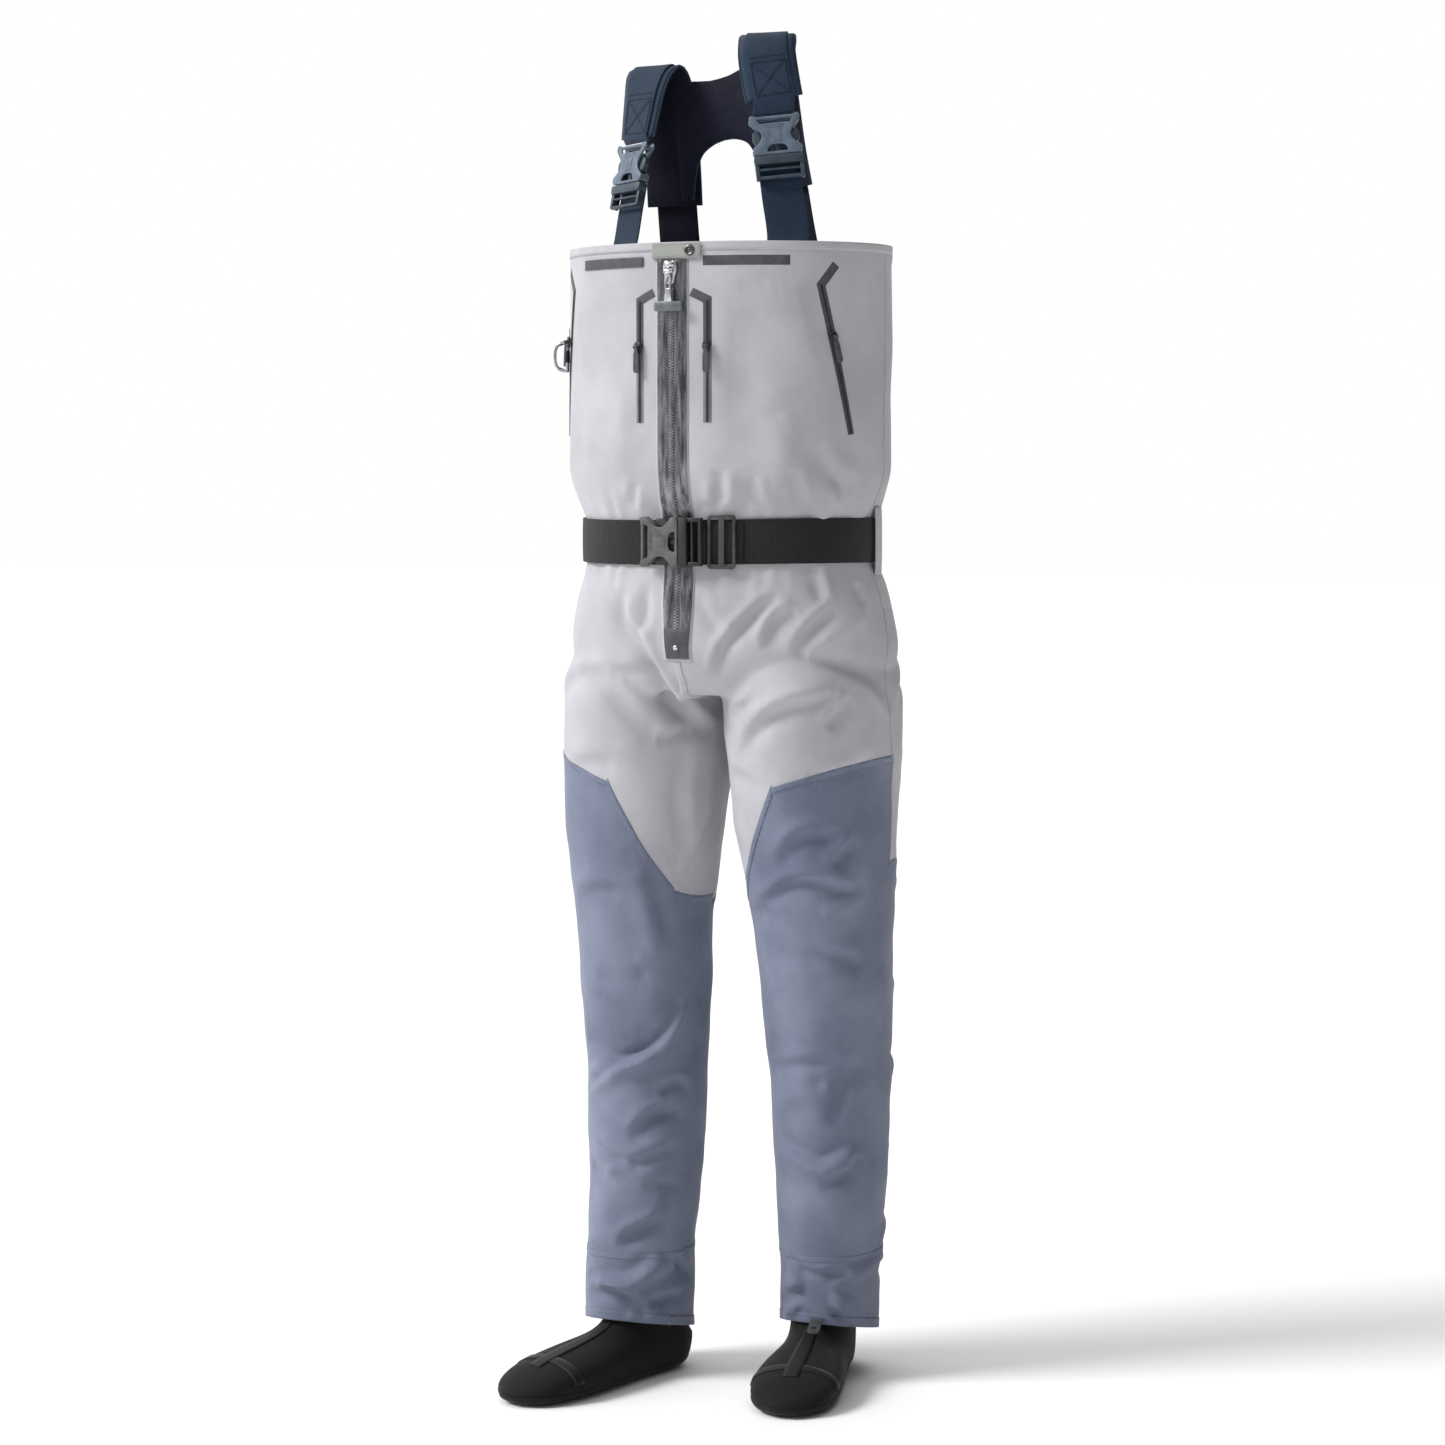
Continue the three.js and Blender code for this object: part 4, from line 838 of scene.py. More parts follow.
CUFF_FOLDS = (
    Fold(((-130, 149), (-96, 171), (-66, 183)), 10, -6.0, 0.8),
    Fold(((-164, 100), (-148, 97), (-131, 97), (-115, 89), (-92, 70)), 8, -7.5, 0.8),
    Fold(((-166, 122), (-135, 108), (-106, 112), (-75, 141)), 11, 7.5, 0.5),
    Fold(((-50, 170), (-64, 132), (-85, 110)), 9, 5.5, 0.6),
    Fold(((-62, 143), (-42, 113)), 7, -5.0, 0.6),
    Fold(((-105, 71), (-77, 89), (-49, 93)), 9, -6.0, 0.7),
    Fold(((54, 91), (70, 94), (88, 94), (104, 83), (133, 63), (146, 54)), 8, -8.5, 0.9),
    Fold(((56, 110), (86, 110), (112, 98), (150, 78)), 9, 6.5, 0.4),
    Fold(((79, 121), (110, 115), (146, 116)), 8, -6.0, 0.8),
    Fold(((108, 100), (142, 115), (180, 137)), 10, 5.5, 0.6),
    Fold(((70, 134), (81, 119), (90, 100)), 8, 5.0, 0.8),
    Fold(((90, 88), (66, 67)), 7, 5.0, 0.5),
    Fold(((102, 74), (154, 45)), 7, 5.0, 0.6),
)
# The sides and the back hang in the same way: drag lines from the seat, and breaks at knee and ankle.
UNSEEN_FOLDS = tuple(
    Fold(line, width, 0.65 * height, pleat, stand)
    for stand in (BACK_RIGHT, LEFT_SIDE, RIGHT_SIDE)
    for line, width, height, pleat in (
        (((-6, 770), (-50, 810), (-110, 836)), 12, -6.0, 0.8),
        (((10, 770), (60, 806), (120, 826)), 12, -6.0, 0.8),
        (((-150, 720), (-100, 700), (-50, 716)), 12, -5.0, 0.8),
        (((40, 690), (90, 710), (150, 700)), 13, -5.0, 0.7),
        (((-150, 560), (-100, 540), (-50, 556)), 11, 5.5, 0.9),
        (((40, 540), (90, 560), (150, 530)), 11, -6.0, 0.9),
        (((-140, 470), (-95, 492), (-40, 470)), 12, -5.0, 0.7),
        (((40, 440), (96, 428), (140, 452)), 11, 5.0, 0.8),
        (((-140, 340), (-96, 318), (-40, 346)), 10, -5.5, 0.8),
        (((40, 330), (90, 346), (150, 316)), 11, 5.0, 0.8),
        (((-140, 232), (-92, 250), (-50, 232)), 10, -5.0, 0.7),
        (((50, 226), (96, 210), (150, 232)), 10, -5.5, 0.8),
        (((-150, 140), (-100, 122), (-50, 146)), 10, -5.0, 0.9),
        (((40, 126), (90, 142), (150, 116)), 11, 4.0, 0.6),
        (((-150, 96), (-100, 108), (-50, 92)), 9, 6.0, 0.6),
        (((50, 92), (100, 82), (150, 98)), 9, -7.0, 0.7),
    )
)


class Skin:
    """The whole garment as one skin: joined from trunk and legs, folded, then cut into panels."""

    voxel: float = 3.8
    seam_y: float = 6.0
    guard_top: float = 150.0

    def __init__(self) -> None:
        """Makes the folded skin and its search tree."""
        base = self._united()
        self.co, self.normal = self._arrays(base)
        tree = self._tree(base)
        self.co = self.co + self.normal * self._relief(tree)[:, None]
        base.vertices.foreach_set("co", self.co.astype(np.float32).ravel())
        base.update()
        self.bm = bmesh.new()
        self.bm.from_mesh(base)
        bmesh.ops.smooth_vert(self.bm, verts=self.bm.verts, factor=0.5, use_axis_x=True, use_axis_y=True,
                              use_axis_z=True)
        self.bm.normal_update()
        self.tree = BVHTree.FromBMesh(self.bm)
        bpy.data.meshes.remove(base)

    @staticmethod
    def _arrays(mesh: bpy.types.Mesh) -> tuple[np.ndarray, np.ndarray]:
        """Vertex places and normals of a mesh."""
        co = np.zeros(len(mesh.vertices) * 3, np.float32)
        normal = np.zeros_like(co)
        mesh.vertices.foreach_get("co", co)
        mesh.vertices.foreach_get("normal", normal)
        return co.reshape(-1, 3).astype(float), normal.reshape(-1, 3).astype(float)

    @staticmethod
    def _tree(mesh: bpy.types.Mesh) -> BVHTree:
        """Search tree of a mesh."""
        bm = bmesh.new()
        bm.from_mesh(mesh)
        tree = BVHTree.FromBMesh(bm)
        bm.free()
        return tree

    @staticmethod
    def _tube(bm: bmesh.types.BMesh, rows: np.ndarray, low: float, high: float, segments: int) -> None:
        """Skins a closed tube through a table's sections.

        Args:
            bm: Mesh to add to.
            rows: The table.
            low: Height of the lower end.
            high: Height of the upper end.
            segments: Sides of the tube.
        """
        heights = np.linspace(low, high, int((high - low) / 9) + 2)
        spread = np.array([-14.0, -7.0, 0.0, 7.0, 14.0])
        weight = np.array([1, 2, 3, 2, 1]) / 9
        loops = []
        for z in heights:
            x, y, w, d, turn = (float((v * weight).sum()) for v in Body.section(rows, z + spread))
            matrix = (TO_METRES @ Matrix.Translation((x, y, z)) @ Matrix.Rotation(turn, 4, "Z")
                      @ Matrix.Diagonal((w, d, 1, 1)))
            ring = bmesh.ops.create_circle(bm, cap_ends=False, segments=segments, radius=1.0, matrix=matrix)
            loops.append(list({e for v in ring["verts"] for e in v.link_edges}))
        for lower, upper in zip(loops, loops[1:]):
            bmesh.ops.bridge_loops(bm, edges=lower + upper)
        for end in (loops[0], loops[-1]):
            bmesh.ops.edgeloop_fill(bm, edges=end)

    def _united(self) -> bpy.types.Mesh:
        """One closed skin around the trunk and both legs."""
        bm = bmesh.new()
        self._tube(bm, BODY.trunk, BODY.crotch, BODY.hem + 20, 120)
        for side in sides():
            self._tube(bm, BODY.leg(side), 14, BODY.crotch * 1.08, 84)
        bmesh.ops.recalc_face_normals(bm, faces=bm.faces)
        solid = to_object("united", bm)
        shrink = solid.modifiers.new("skin", "REMESH")
        shrink.mode = "VOXEL"
        shrink.voxel_size = self.voxel * MM
        evaluated = solid.evaluated_get(bpy.context.evaluated_depsgraph_get())
        mesh = bpy.data.meshes.new_from_object(evaluated)
        bpy.data.objects.remove(solid)
        bm = bmesh.new()
        bm.from_mesh(mesh)
        for _ in range(3):
            bmesh.ops.smooth_vert(bm, verts=bm.verts, factor=0.5, use_axis_x=True, use_axis_y=True,
                                  use_axis_z=True)
        bm.normal_update()
        bm.to_mesh(mesh)
        bm.free()
        LOG.info("skin: %d vertices", len(mesh.vertices))
        return mesh

    def _trace(self, tree: BVHTree, fold: Fold) -> np.ndarray:
        """Points of a fold's line on the skin, about 4 mm apart."""
        flat = [(a, b, 0.0) for a, b in fold.line]
        length = sum(math.dist(p, q) for p, q in zip(flat, flat[1:]))
        eye = Vector(BODY.metres(fold.stand.eye))
        found = []
        for lateral, height, _ in curve_through(flat, max(4, int(length / 4))):
            aim = Vector(BODY.metres(fold.stand.facing(lateral, height)))
            hit = tree.ray_cast(eye, (aim - eye).normalized())[0]
            if hit is not None:
                found.append(hit)
        return np.array(found)

    def _relief(self, tree: BVHTree) -> np.ndarray:
        """Height of every vertex's fold, in metres."""
        relief = self._undulation()
        for fold in (*CHEST_FOLDS, *HIP_FOLDS, *LEG_FOLDS, *CUFF_FOLDS, *UNSEEN_FOLDS):
            line = self._trace(tree, fold)
            if len(line) > 3:
                self._press(relief, line, fold)
        calm = self._calm()
        return relief * calm

    def _press(self, relief: np.ndarray, line: np.ndarray, fold: Fold) -> None:
        """Adds one fold's heights.

        Args:
            relief: Heights to add to, in metres.
            line: The fold's traced points.
            fold: The fold.
        """
        width = fold.width * MM
        reach = 3.2 * width
        near = np.all((self.co > line.min(0) - reach) & (self.co < line.max(0) + reach), axis=1).nonzero()[0]
        if not len(near):
            return
        p = self.co[near]
        away = np.linalg.norm(p[:, None, :] - line[None, :, :], axis=2)
        nearest = away.argmin(axis=1)
        tangent = unit(np.gradient(line, axis=0))
        offset = p - line[nearest]
        across = np.cross(self.normal[near], tangent[nearest])
        s = (offset * across).sum(axis=1)
        distance = away[np.arange(len(p)), nearest]
        share = nearest / (len(line) - 1)
        fade = np.sin(np.pi * np.clip(share, 0.0, 1.0)) ** 0.6
        profile = np.exp(-((distance / width) ** 2))
        if fold.pleat:
            ridge = np.exp(-(((s - 1.05 * width) / (0.75 * width)) ** 2)) * np.exp(
                -np.clip(distance - np.abs(s), 0, None) / width)
            profile = profile - fold.pleat * ridge
        relief[near] += FOLD_GAIN * fold.height * MM * fade * profile

    def _undulation(self) -> np.ndarray:
        """Loose hang of the cloth: broad swells, small crumples and gathers at the waist."""
        broad = np.array([noise.noise(Vector(p) * 9.0) for p in self.co])
        small = np.array([noise.noise(Vector(p) * 27.0 + Vector((3, 7, 1))) for p in self.co])
        z = self.co[:, 2] / MM - SHIFT[2]
        legs = np.clip((820 - z) / 60, 0, 1)
        relief = (2.2 * broad + (0.7 + 0.8 * legs) * small) * MM
        angle = np.arctan2(self.co[:, 0] / MM - SHIFT[0] - BODY.trunk_x, -(self.co[:, 1] / MM - SHIFT[1]))
        gather = np.zeros_like(z)
        random = np.random.default_rng(SEED)
        for waves, size in ((17, 1.0), (26, 1.0), (37, 0.8), (51, 0.5)):
            gather += size * np.sin(waves * angle + random.uniform(0, 2 * math.pi))
        away = np.abs(z - BODY.waist)
        strength = np.where(away < 26, 0.45, np.exp(-((away - 26) / 26) ** 2))
        return relief + 1.1 * MM * gather * strength * (away < 110)

    def _calm(self) -> np.ndarray:
        """Share of the folds that is let through: little beside zips, tabs and the belt."""
        share = np.ones(len(self.co))
        for places, radius in FLAT_LINES:
            line = np.array([BODY.metres(BODY.on_trunk(deg, z)[0]) for deg, z in places])
            dense = np.concatenate([np.linspace(a, b, 24) for a, b in zip(line, line[1:])])
            near = np.all((self.co > dense.min(0) - 0.08) & (self.co < dense.max(0) + 0.08),
                          axis=1).nonzero()[0]
            away = np.linalg.norm(self.co[near][:, None, :] - dense[None], axis=2).min(axis=1) / MM
            share[near] = np.minimum(share[near], np.clip((away - radius) / 22, 0, 1))
        # The cloth is quiet where the left boot hook folds up against the guard.
        x, y, _, d, turn = (float(v) for v in BODY.section(BODY.leg(Side.LEFT), 90.0))
        rise = np.stack([[x + math.sin(turn) * d, y - math.cos(turn) * d, z] for z in np.linspace(70, 114,
            12)])
        away = np.linalg.norm(self.co[:, None, :] - BODY.metres(rise)[None], axis=2).min(axis=1) / MM
        return np.minimum(share, np.clip((away - 13) / 12, 0.06, 1))

    # -- cutting -------------------------------------------------------------------------------

    def cut(self, point: Sequence[float], normal: Sequence[float], where: Test) -> None:
        """Scores the skin along a plane, in the faces whose middle passes a test.

        Args:
            point: A point of the plane, in the wearer's frame.
            normal: The plane's normal.
            where: Test of a face's middle in the wearer's frame.
        """
        scored(self.bm, point, normal, where)

    def knee_line(self, side: Side) -> tuple[list[tuple[float, float]], list[tuple[float, float]]]:
        """Corners of the knee panel's upper edge, in front and behind, as (x, height)."""
        s = side.sign
        axis = float(BODY.section(BODY.leg(side), 697.0)[0])
        inside = BODY.trunk_x
        out = s * 400.0
        front = [(out, 697 + (400 - abs(axis)) * 0.33), (axis - s * 3, 697.0), (axis - s * 66, 570.0),
                 (inside, 545.0)]
        back = [(out, 545 + 400 / 200 * 65), (inside, 545.0)]
        return front, back

    def guard_hem(self, side: Side) -> tuple[np.ndarray, np.ndarray]:
        """A point and the normal of the plane that a gravel guard's hem lies in."""
        _, y, _, d, _ = BODY.section(BODY.leg(side), 74.0)
        return np.array([0, float(y), 59.0]), unit(np.array([0, 15.0 / float(d), 1.0]))

    def score_all(self) -> None:
        """Scores every seam and hem on the skin."""
        waist, seam, guard, middle = BODY.waist, self.seam_y, self.guard_top, BODY.trunk_x
        self.cut((0, 0, waist), (0, 0, 1), lambda p: abs(p[:, 2] - waist) < 9)
        self.cut((0, 0, guard), (0, 0, 1), lambda p: abs(p[:, 2] - guard) < 9)
        self.cut((0, seam, 0), (0, 1, 0), lambda p: (abs(p[:, 1] - seam) < 9) & (p[:, 2] > 140))
        self.cut((middle, 0, 0), (1, 0, 0), lambda p: (abs(p[:, 0] - middle) < 9) & (p[:, 2] > 600))
        start, end = BODY.chest[1] * 0.3, BODY.chest[1] * 0.97
        edge = [-400.0, *np.linspace(start, end, 15), 400.0]
        heights = [float(BODY.hem_height(y)) for y in edge]
        for a, b, za, zb in zip(edge, edge[1:], heights, heights[1:]):
            self.cut((0, a, za), (0, za - zb, b - a),
                     lambda p, a=a, b=b, za=za, zb=zb: (p[:, 1] > a - 5) & (p[:, 1] < b + 5)
                     & (p[:, 2] > min(za, zb) - 9) & (p[:, 2] < max(za, zb) + 9))
        for side in sides():
            s = side.sign
            for line, front in zip(self.knee_line(side), (True, False)):
                for (xa, za), (xb, zb) in zip(line, line[1:]):
                    low, high = sorted((xa, xb))
                    self.cut((xa, 0, za), (za - zb, 0, xb - xa),
                             lambda p, low=low, high=high, front=front, s=s: (p[:, 0] > low - 5)
                             & (p[:, 0] < high + 5) & ((p[:, 1] < seam + 5) if front else (p[:,
                                 1] > seam - 5))
                             & (p[:, 2] > 500) & (p[:, 2] < 830) & ((p[:, 0] - middle) * s > -5))
                for x, _ in line[1:-1]:
                    self.cut((x, 0, 0), (1, 0, 0), lambda p, x=x: (abs(p[:, 0] - x) < 9) & (p[:, 1] < seam)
                             & (p[:, 2] > 530) & (p[:, 2] < 730))
            point, normal = self.guard_hem(side)
            self.cut(point, normal, lambda p, s=s: (p[:, 2] < 120) & ((p[:, 0] - middle) * s > 0))

    def regions(self, p: np.ndarray) -> np.ndarray:
        """Names of the panels that places belong to; empty where the skin is cut away.

        Args:
            p: Places in the wearer's frame.

        Returns:
            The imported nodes' names.
        """
        x, y, z = p.T
        found = np.where(y < self.seam_y, "hip_front_", "seat").astype("U24")
        for side in sides():
            mine = (x < BODY.trunk_x) if side is Side.RIGHT else (x >= BODY.trunk_x)
            found[mine & (found == "hip_front_")] = f"hip_front_{side.word}"
            front, back = (np.array(sorted(line)).T for line in self.knee_line(side))
            edge = np.where(y < self.seam_y, np.interp(x, *front), np.interp(x, *back))
            found[mine & (z < np.where(z < 860, edge, 0))] = f"lower_leg_{side.word}"
            point, normal = self.guard_hem(side)
            guard = mine & (z < self.guard_top)
            found[guard] = f"gravel_guard_{side.word}"
            found[guard & ((p - point) @ normal < 0)] = ""
            found[mine & (z > BODY.waist) & (y < self.seam_y)] = f"chest_front_{side.word}"
        found[(z > BODY.waist) & (y >= self.seam_y)] = "chest_back"
        found[(z > BODY.waist) & (z > BODY.hem_height(y))] = ""
        return found

    def tag(self) -> None:
        """Numbers every face with its panel, gives the skin its weave's UV and splits it in zones."""
        layer = self.bm.faces.layers.int.new("panel")
        places = centres(self.bm)
        self.panels, numbers = np.unique(self.regions(places), return_inverse=True)
        uv = self.bm.loops.layers.uv.new("UVMap")
        for face, number in zip(self.bm.faces, numbers):
            face[layer] = int(number)
        axis_x, axis_y, radius = self._axis(places)
        base = np.arctan2(places[:, 0] - axis_x, -(places[:, 1] - axis_y))
        for face, x0, y0, r, start in zip(self.bm.faces, axis_x, axis_y, radius, base):
            for loop in face.loops:
                px, py, pz = wearer(loop.vert.co)
                turn = math.atan2(px - x0, -(py - y0)) - start
                turn = (turn + math.pi) % (2 * math.pi) - math.pi
                loop[uv].uv = ((start + turn) * r * MM, pz * MM)
        self.zones = {}
        for zone, keep in (("upper", places[:, 2] > 930),
                           ("middle", (places[:, 2] > 480) & (places[:, 2] < 1000)),
                           ("lower", places[:, 2] < 520)):
            part = self.bm.copy()
            bmesh.ops.delete(part, geom=[f for f, k in zip(part.faces, keep) if not k], context="FACES")
            self.zones[zone] = part

    @staticmethod
    def _axis(p: np.ndarray) -> tuple[np.ndarray, np.ndarray, np.ndarray]:
        """Axis x and y and mean radius of the tube that each place belongs to."""
        right = BODY.section(BODY.leg(Side.RIGHT), p[:, 2])
        left = BODY.section(BODY.leg(Side.LEFT), p[:, 2])
        mine = p[:, 0] < BODY.trunk_x
        trunk = p[:, 2] > BODY.crotch
        x = np.where(trunk, BODY.trunk_x, np.where(mine, right[0], left[0]))
        y = np.where(trunk, 2.0, np.where(mine, right[1], left[1]))
        return x, y, np.where(trunk, 170.0, 85.0)

    def piece(self, zone: str | None,
              where: Callable[[np.ndarray, np.ndarray], np.ndarray]) -> bmesh.types.BMesh:
        """A copy of the faces that pass a test.

        Args:
            zone: Zone to copy from, or None for the whole skin.
            where: Test of the faces' middles and panel numbers.

        Returns:
            The copied faces.
        """
        copy = (self.zones[zone] if zone else self.bm).copy()
        layer = copy.faces.layers.int["panel"]
        keep = where(centres(copy), np.array([f[layer] for f in copy.faces]))
        bmesh.ops.delete(copy, geom=[f for f, k in zip(copy.faces, keep) if not k], context="FACES")
        copy.normal_update()
        return copy

    def drop(self, place: Sequence[float], towards: Sequence[float]) -> tuple[Vector, Vector]:
        """The point and normal of the folded skin where a line from outside meets it.

        Args:
            place: A point outside the skin, in the wearer's frame.
            towards: Direction of the line.

        Returns:
            Point and normal in the part's frame; the start itself where nothing is met.
        """
        start = Vector(BODY.metres(np.asarray(place, float)))
        direction = Vector(towards).normalized()
        point, normal, _, _ = self.tree.ray_cast(start, direction, 0.12)
        if point is None:
            return start, -direction
        return point, normal if normal.dot(direction) < 0 else -normal


def wearer(p: Vector) -> Vector:
    """A point of the part's frame as one of the wearer's frame, in millimetres."""
    return Vector((p.x / MM - SHIFT[0], p.y / MM - SHIFT[1], p.z / MM - SHIFT[2]))


def centres(bm: bmesh.types.BMesh) -> np.ndarray:
    """Middles of a mesh's faces in the wearer's frame."""
    if not bm.faces:
        return np.zeros((0, 3))
    return np.array([f.calc_center_median() for f in bm.faces]) / MM - SHIFT


Test = Callable[[np.ndarray], np.ndarray]


def scored(bm: bmesh.types.BMesh, point: Sequence[float], normal: Sequence[float],
           where: Test | None = None, clear: bool = False) -> None:
    """Cuts a mesh along a plane, in the faces whose middle passes a test.

    Args:
        bm: The mesh.
        point: A point of the plane in the wearer's frame.
        normal: The plane's normal.
        where: Test of the faces' middles in the wearer's frame.
        clear: Whether what lies beyond the plane goes.
    """
    keep = where(centres(bm)) if where else np.ones(len(bm.faces), bool)
    faces = [f for f, k in zip(bm.faces, keep) if k]
    edges = {e for f in faces for e in f.edges}
    verts = {v for f in faces for v in f.verts}
    bmesh.ops.bisect_plane(bm, geom=[*verts, *edges, *faces], dist=1e-6, plane_co=Vector(BODY.metres(point)),
                           plane_no=Vector(normal), clear_outer=clear, clear_inner=False)


# Lines on the trunk beside which the cloth lies flat: (degrees, height) places and a half width.
FLAT_LINES: tuple[tuple[tuple[tuple[float, float], ...], float], ...] = (
    (((0, 843), (0, 930), (0, 1040), (0, 1170), (0, 1300)), 20.0),
    (((-7, 1295), (10.5, 1295)), 12.0),
    *(line for s in (-1, 1) for line in (
        (((6.9 * s, 1250), (12.6 * s, 1241), (12.6 * s, 1106)), 6.0),
        (((60 * s, 1280), (53.5 * s, 1257), (60.5 * s, 1175), (67.5 * s, 1093)), 6.0),
        (((11 * s, 1284), (26 * s, 1284), (41.5 * s, 1284)), 6.0),
        (((96 * s, 936), (96 * s, 1012)), 12.0),
    )),
    (((-77, 1153), (-77, 1217)), 12.0),
    (((178, 936), (178, 1012)), 12.0),
    (((-10, 974), (2, 974), (12, 974), (24, 974)), 26.0),
)


@dataclass
class Garment:
    """The sewn shell: ten fabric panels, their seams and their hems."""

    skin: Skin
    wall: float = 1.3
    seam_half: float = 4.0
    hem_wide: float = 11.0

    def build(self) -> None:
        """Cuts the panels, then lays the seams and hems over them."""
        self.skin.score_all()
        self.skin.tag()
        self._panels()
        self._seams()
        self._hems()

    def _panels(self) -> None:
        """Each panel is its share of the skin, with a wall inside."""
        for number, name in enumerate(self.skin.panels):
            if not name:
                continue
            zone = "upper" if name.startswith("chest") else None
            bm = self.skin.piece(zone, lambda p, n, number=number: n == number)
            panel = to_object(f"{name}_cloth", bm, 70)
            self._wall(panel, self.wall)
            blue = name.startswith(("lower_leg", "gravel_guard"))
            settle(panel, LAMINATE_BLUE if blue else LAMINATE_GREY, "garment",
                   Slot.BLUE if blue else Slot.GREY, name)

    @staticmethod
    def _wall(piece: bpy.types.Object, thick: float, outward: bool = False) -> None:
        """Gives an open skin a wall, inward or outward, in millimetres."""
        wall = piece.modifiers.new("wall", "SOLIDIFY")
        wall.thickness = thick * MM
        wall.offset = 1.0 if outward else -1.0
        wall.use_even_offset = False

    def _strip(self, name: str, zone: str, point: Sequence[float], normal: Sequence[float], where: Test,
               blue: bool = False, half: float | None = None, thick: float = 0.5) -> None:
        """A taped seam: the skin within a few millimetres of a plane, raised a little.

        Args:
            name: Piece name.
            zone: The skin's zone that it lies in.
            point: A point of the seam's plane.
            normal: The plane's normal.
            where: Test of places in the wearer's frame.
            blue: Whether it is of the leg's cloth.
            half: Half width of the tape.
            thick: Thickness of the tape.
        """
        half = half or self.seam_half
        at, along = np.asarray(point, float), unit(np.asarray(normal, float))
        bm = self.skin.piece(zone, lambda p, n: (self.skin.panels[n] != "")
                             & (abs((p - at) @ along) < half + 8)
                             & where(p))
        for sign in (1, -1):
            scored(bm, at + along * half * sign, along * sign, clear=True)
        if not bm.faces:
            bm.free()
            return
        for vert in bm.verts:
            vert.co += vert.normal * 0.1 * MM
        strip = to_object(name, bm, 70)
        self._wall(strip, thick, outward=True)
        settle(strip, LAMINATE_BLUE if blue else LAMINATE_GREY, "garment", Slot.BLUE if blue else Slot.GREY)

    def _seams(self) -> None:
        """Side seams, the fork's seam, the knee panels' edges and the guards' upper seams."""
        seam, middle, waist = self.skin.seam_y, BODY.trunk_x, BODY.waist
        skin = self.skin
        for side in sides():
            s = side.sign
            self._strip(f"side_seam_chest_{side.word}", "upper", (0, seam, 0), (0, 1, 0),
                        lambda p, s=s: ((p[:, 0] - middle) * s > 60) & (p[:, 2] > waist + 2))
            self._strip(f"side_seam_hip_{side.word}", "middle", (0, seam, 0), (0, 1, 0),
                        lambda p, s=s: ((p[:, 0] - middle) * s > 130) & (p[:, 2] < waist - 2)
                        & np.char.startswith(skin.regions(p), ("hip_front")) | (
                            np.char.startswith(skin.regions(p), "seat") & ((p[:, 0] - middle) * s > 130)))
            front, back = skin.knee_line(side)
            for i, ((xa, za), (xb, zb)) in enumerate(zip(front, front[1:])):
                low, high = sorted((xa, xb))
                self._strip(f"knee_seam_{i}_{side.word}", "middle", (xa, 0, za), (za - zb, 0, xb - xa),
                            lambda p, low=low, high=high, s=s: (p[:, 0] > low) & (p[:, 0] < high)
                            & (p[:, 1] < seam) & ((p[:, 0] - middle) * s > 0) & (p[:, 2] < 830), True, 3.0)
            (xa, za), (xb, zb) = back
            self._strip(f"knee_seam_back_{side.word}", "middle", (xa, 0, za), (za - zb, 0, xb - xa),
                        lambda p, s=s: (p[:, 1] > seam) & ((p[:, 0] - middle) * s > 0) & (p[:,
                            2] < 830), True, 3.0)
            self._strip(f"guard_seam_{side.word}", "lower", (0, 0, skin.guard_top), (0, 0, 1),
                        lambda p, s=s: (p[:, 0] - middle) * s > 0, True, 3.0)
        self._strip("fork_seam_front", "middle", (middle, 0, 0), (1, 0, 0),
                    lambda p: (p[:, 1] < 4) & (p[:, 2] > 780) & (p[:, 2] < 840))
        self._strip("fork_seam_back", "middle", (middle, 0, 0), (1, 0, 0),
                    lambda p: (p[:, 1] > 40) & (p[:, 2] > 780) & (p[:, 2] < waist - 4))

    def _hems(self) -> None:
        """A turned hem round the bib and one round each cuff."""
        wide = self.hem_wide
        bm = self.skin.piece("upper", lambda p, n: (self.skin.panels[n] != "") & (p[:, 2] > 1120)
                             & (p[:, 2] > BODY.hem_height(p[:, 1]) - wide))
        for vert in bm.verts:
            vert.co += vert.normal * 0.1 * MM
        hem = to_object("bib_hem", bm, 70)
        self._wall(hem, 0.7, outward=True)
        settle(hem, LAMINATE_GREY, "garment", Slot.GREY)
        for side in sides():
            point, normal = self.skin.guard_hem(side)
            self._strip(f"cuff_hem_{side.word}", "lower", point + normal * wide / 2, normal,
                        lambda p, s=side.sign: (p[:, 2] < 130) & ((p[:, 0] - BODY.trunk_x) * s > 0),
                        True, wide / 2, 0.7)


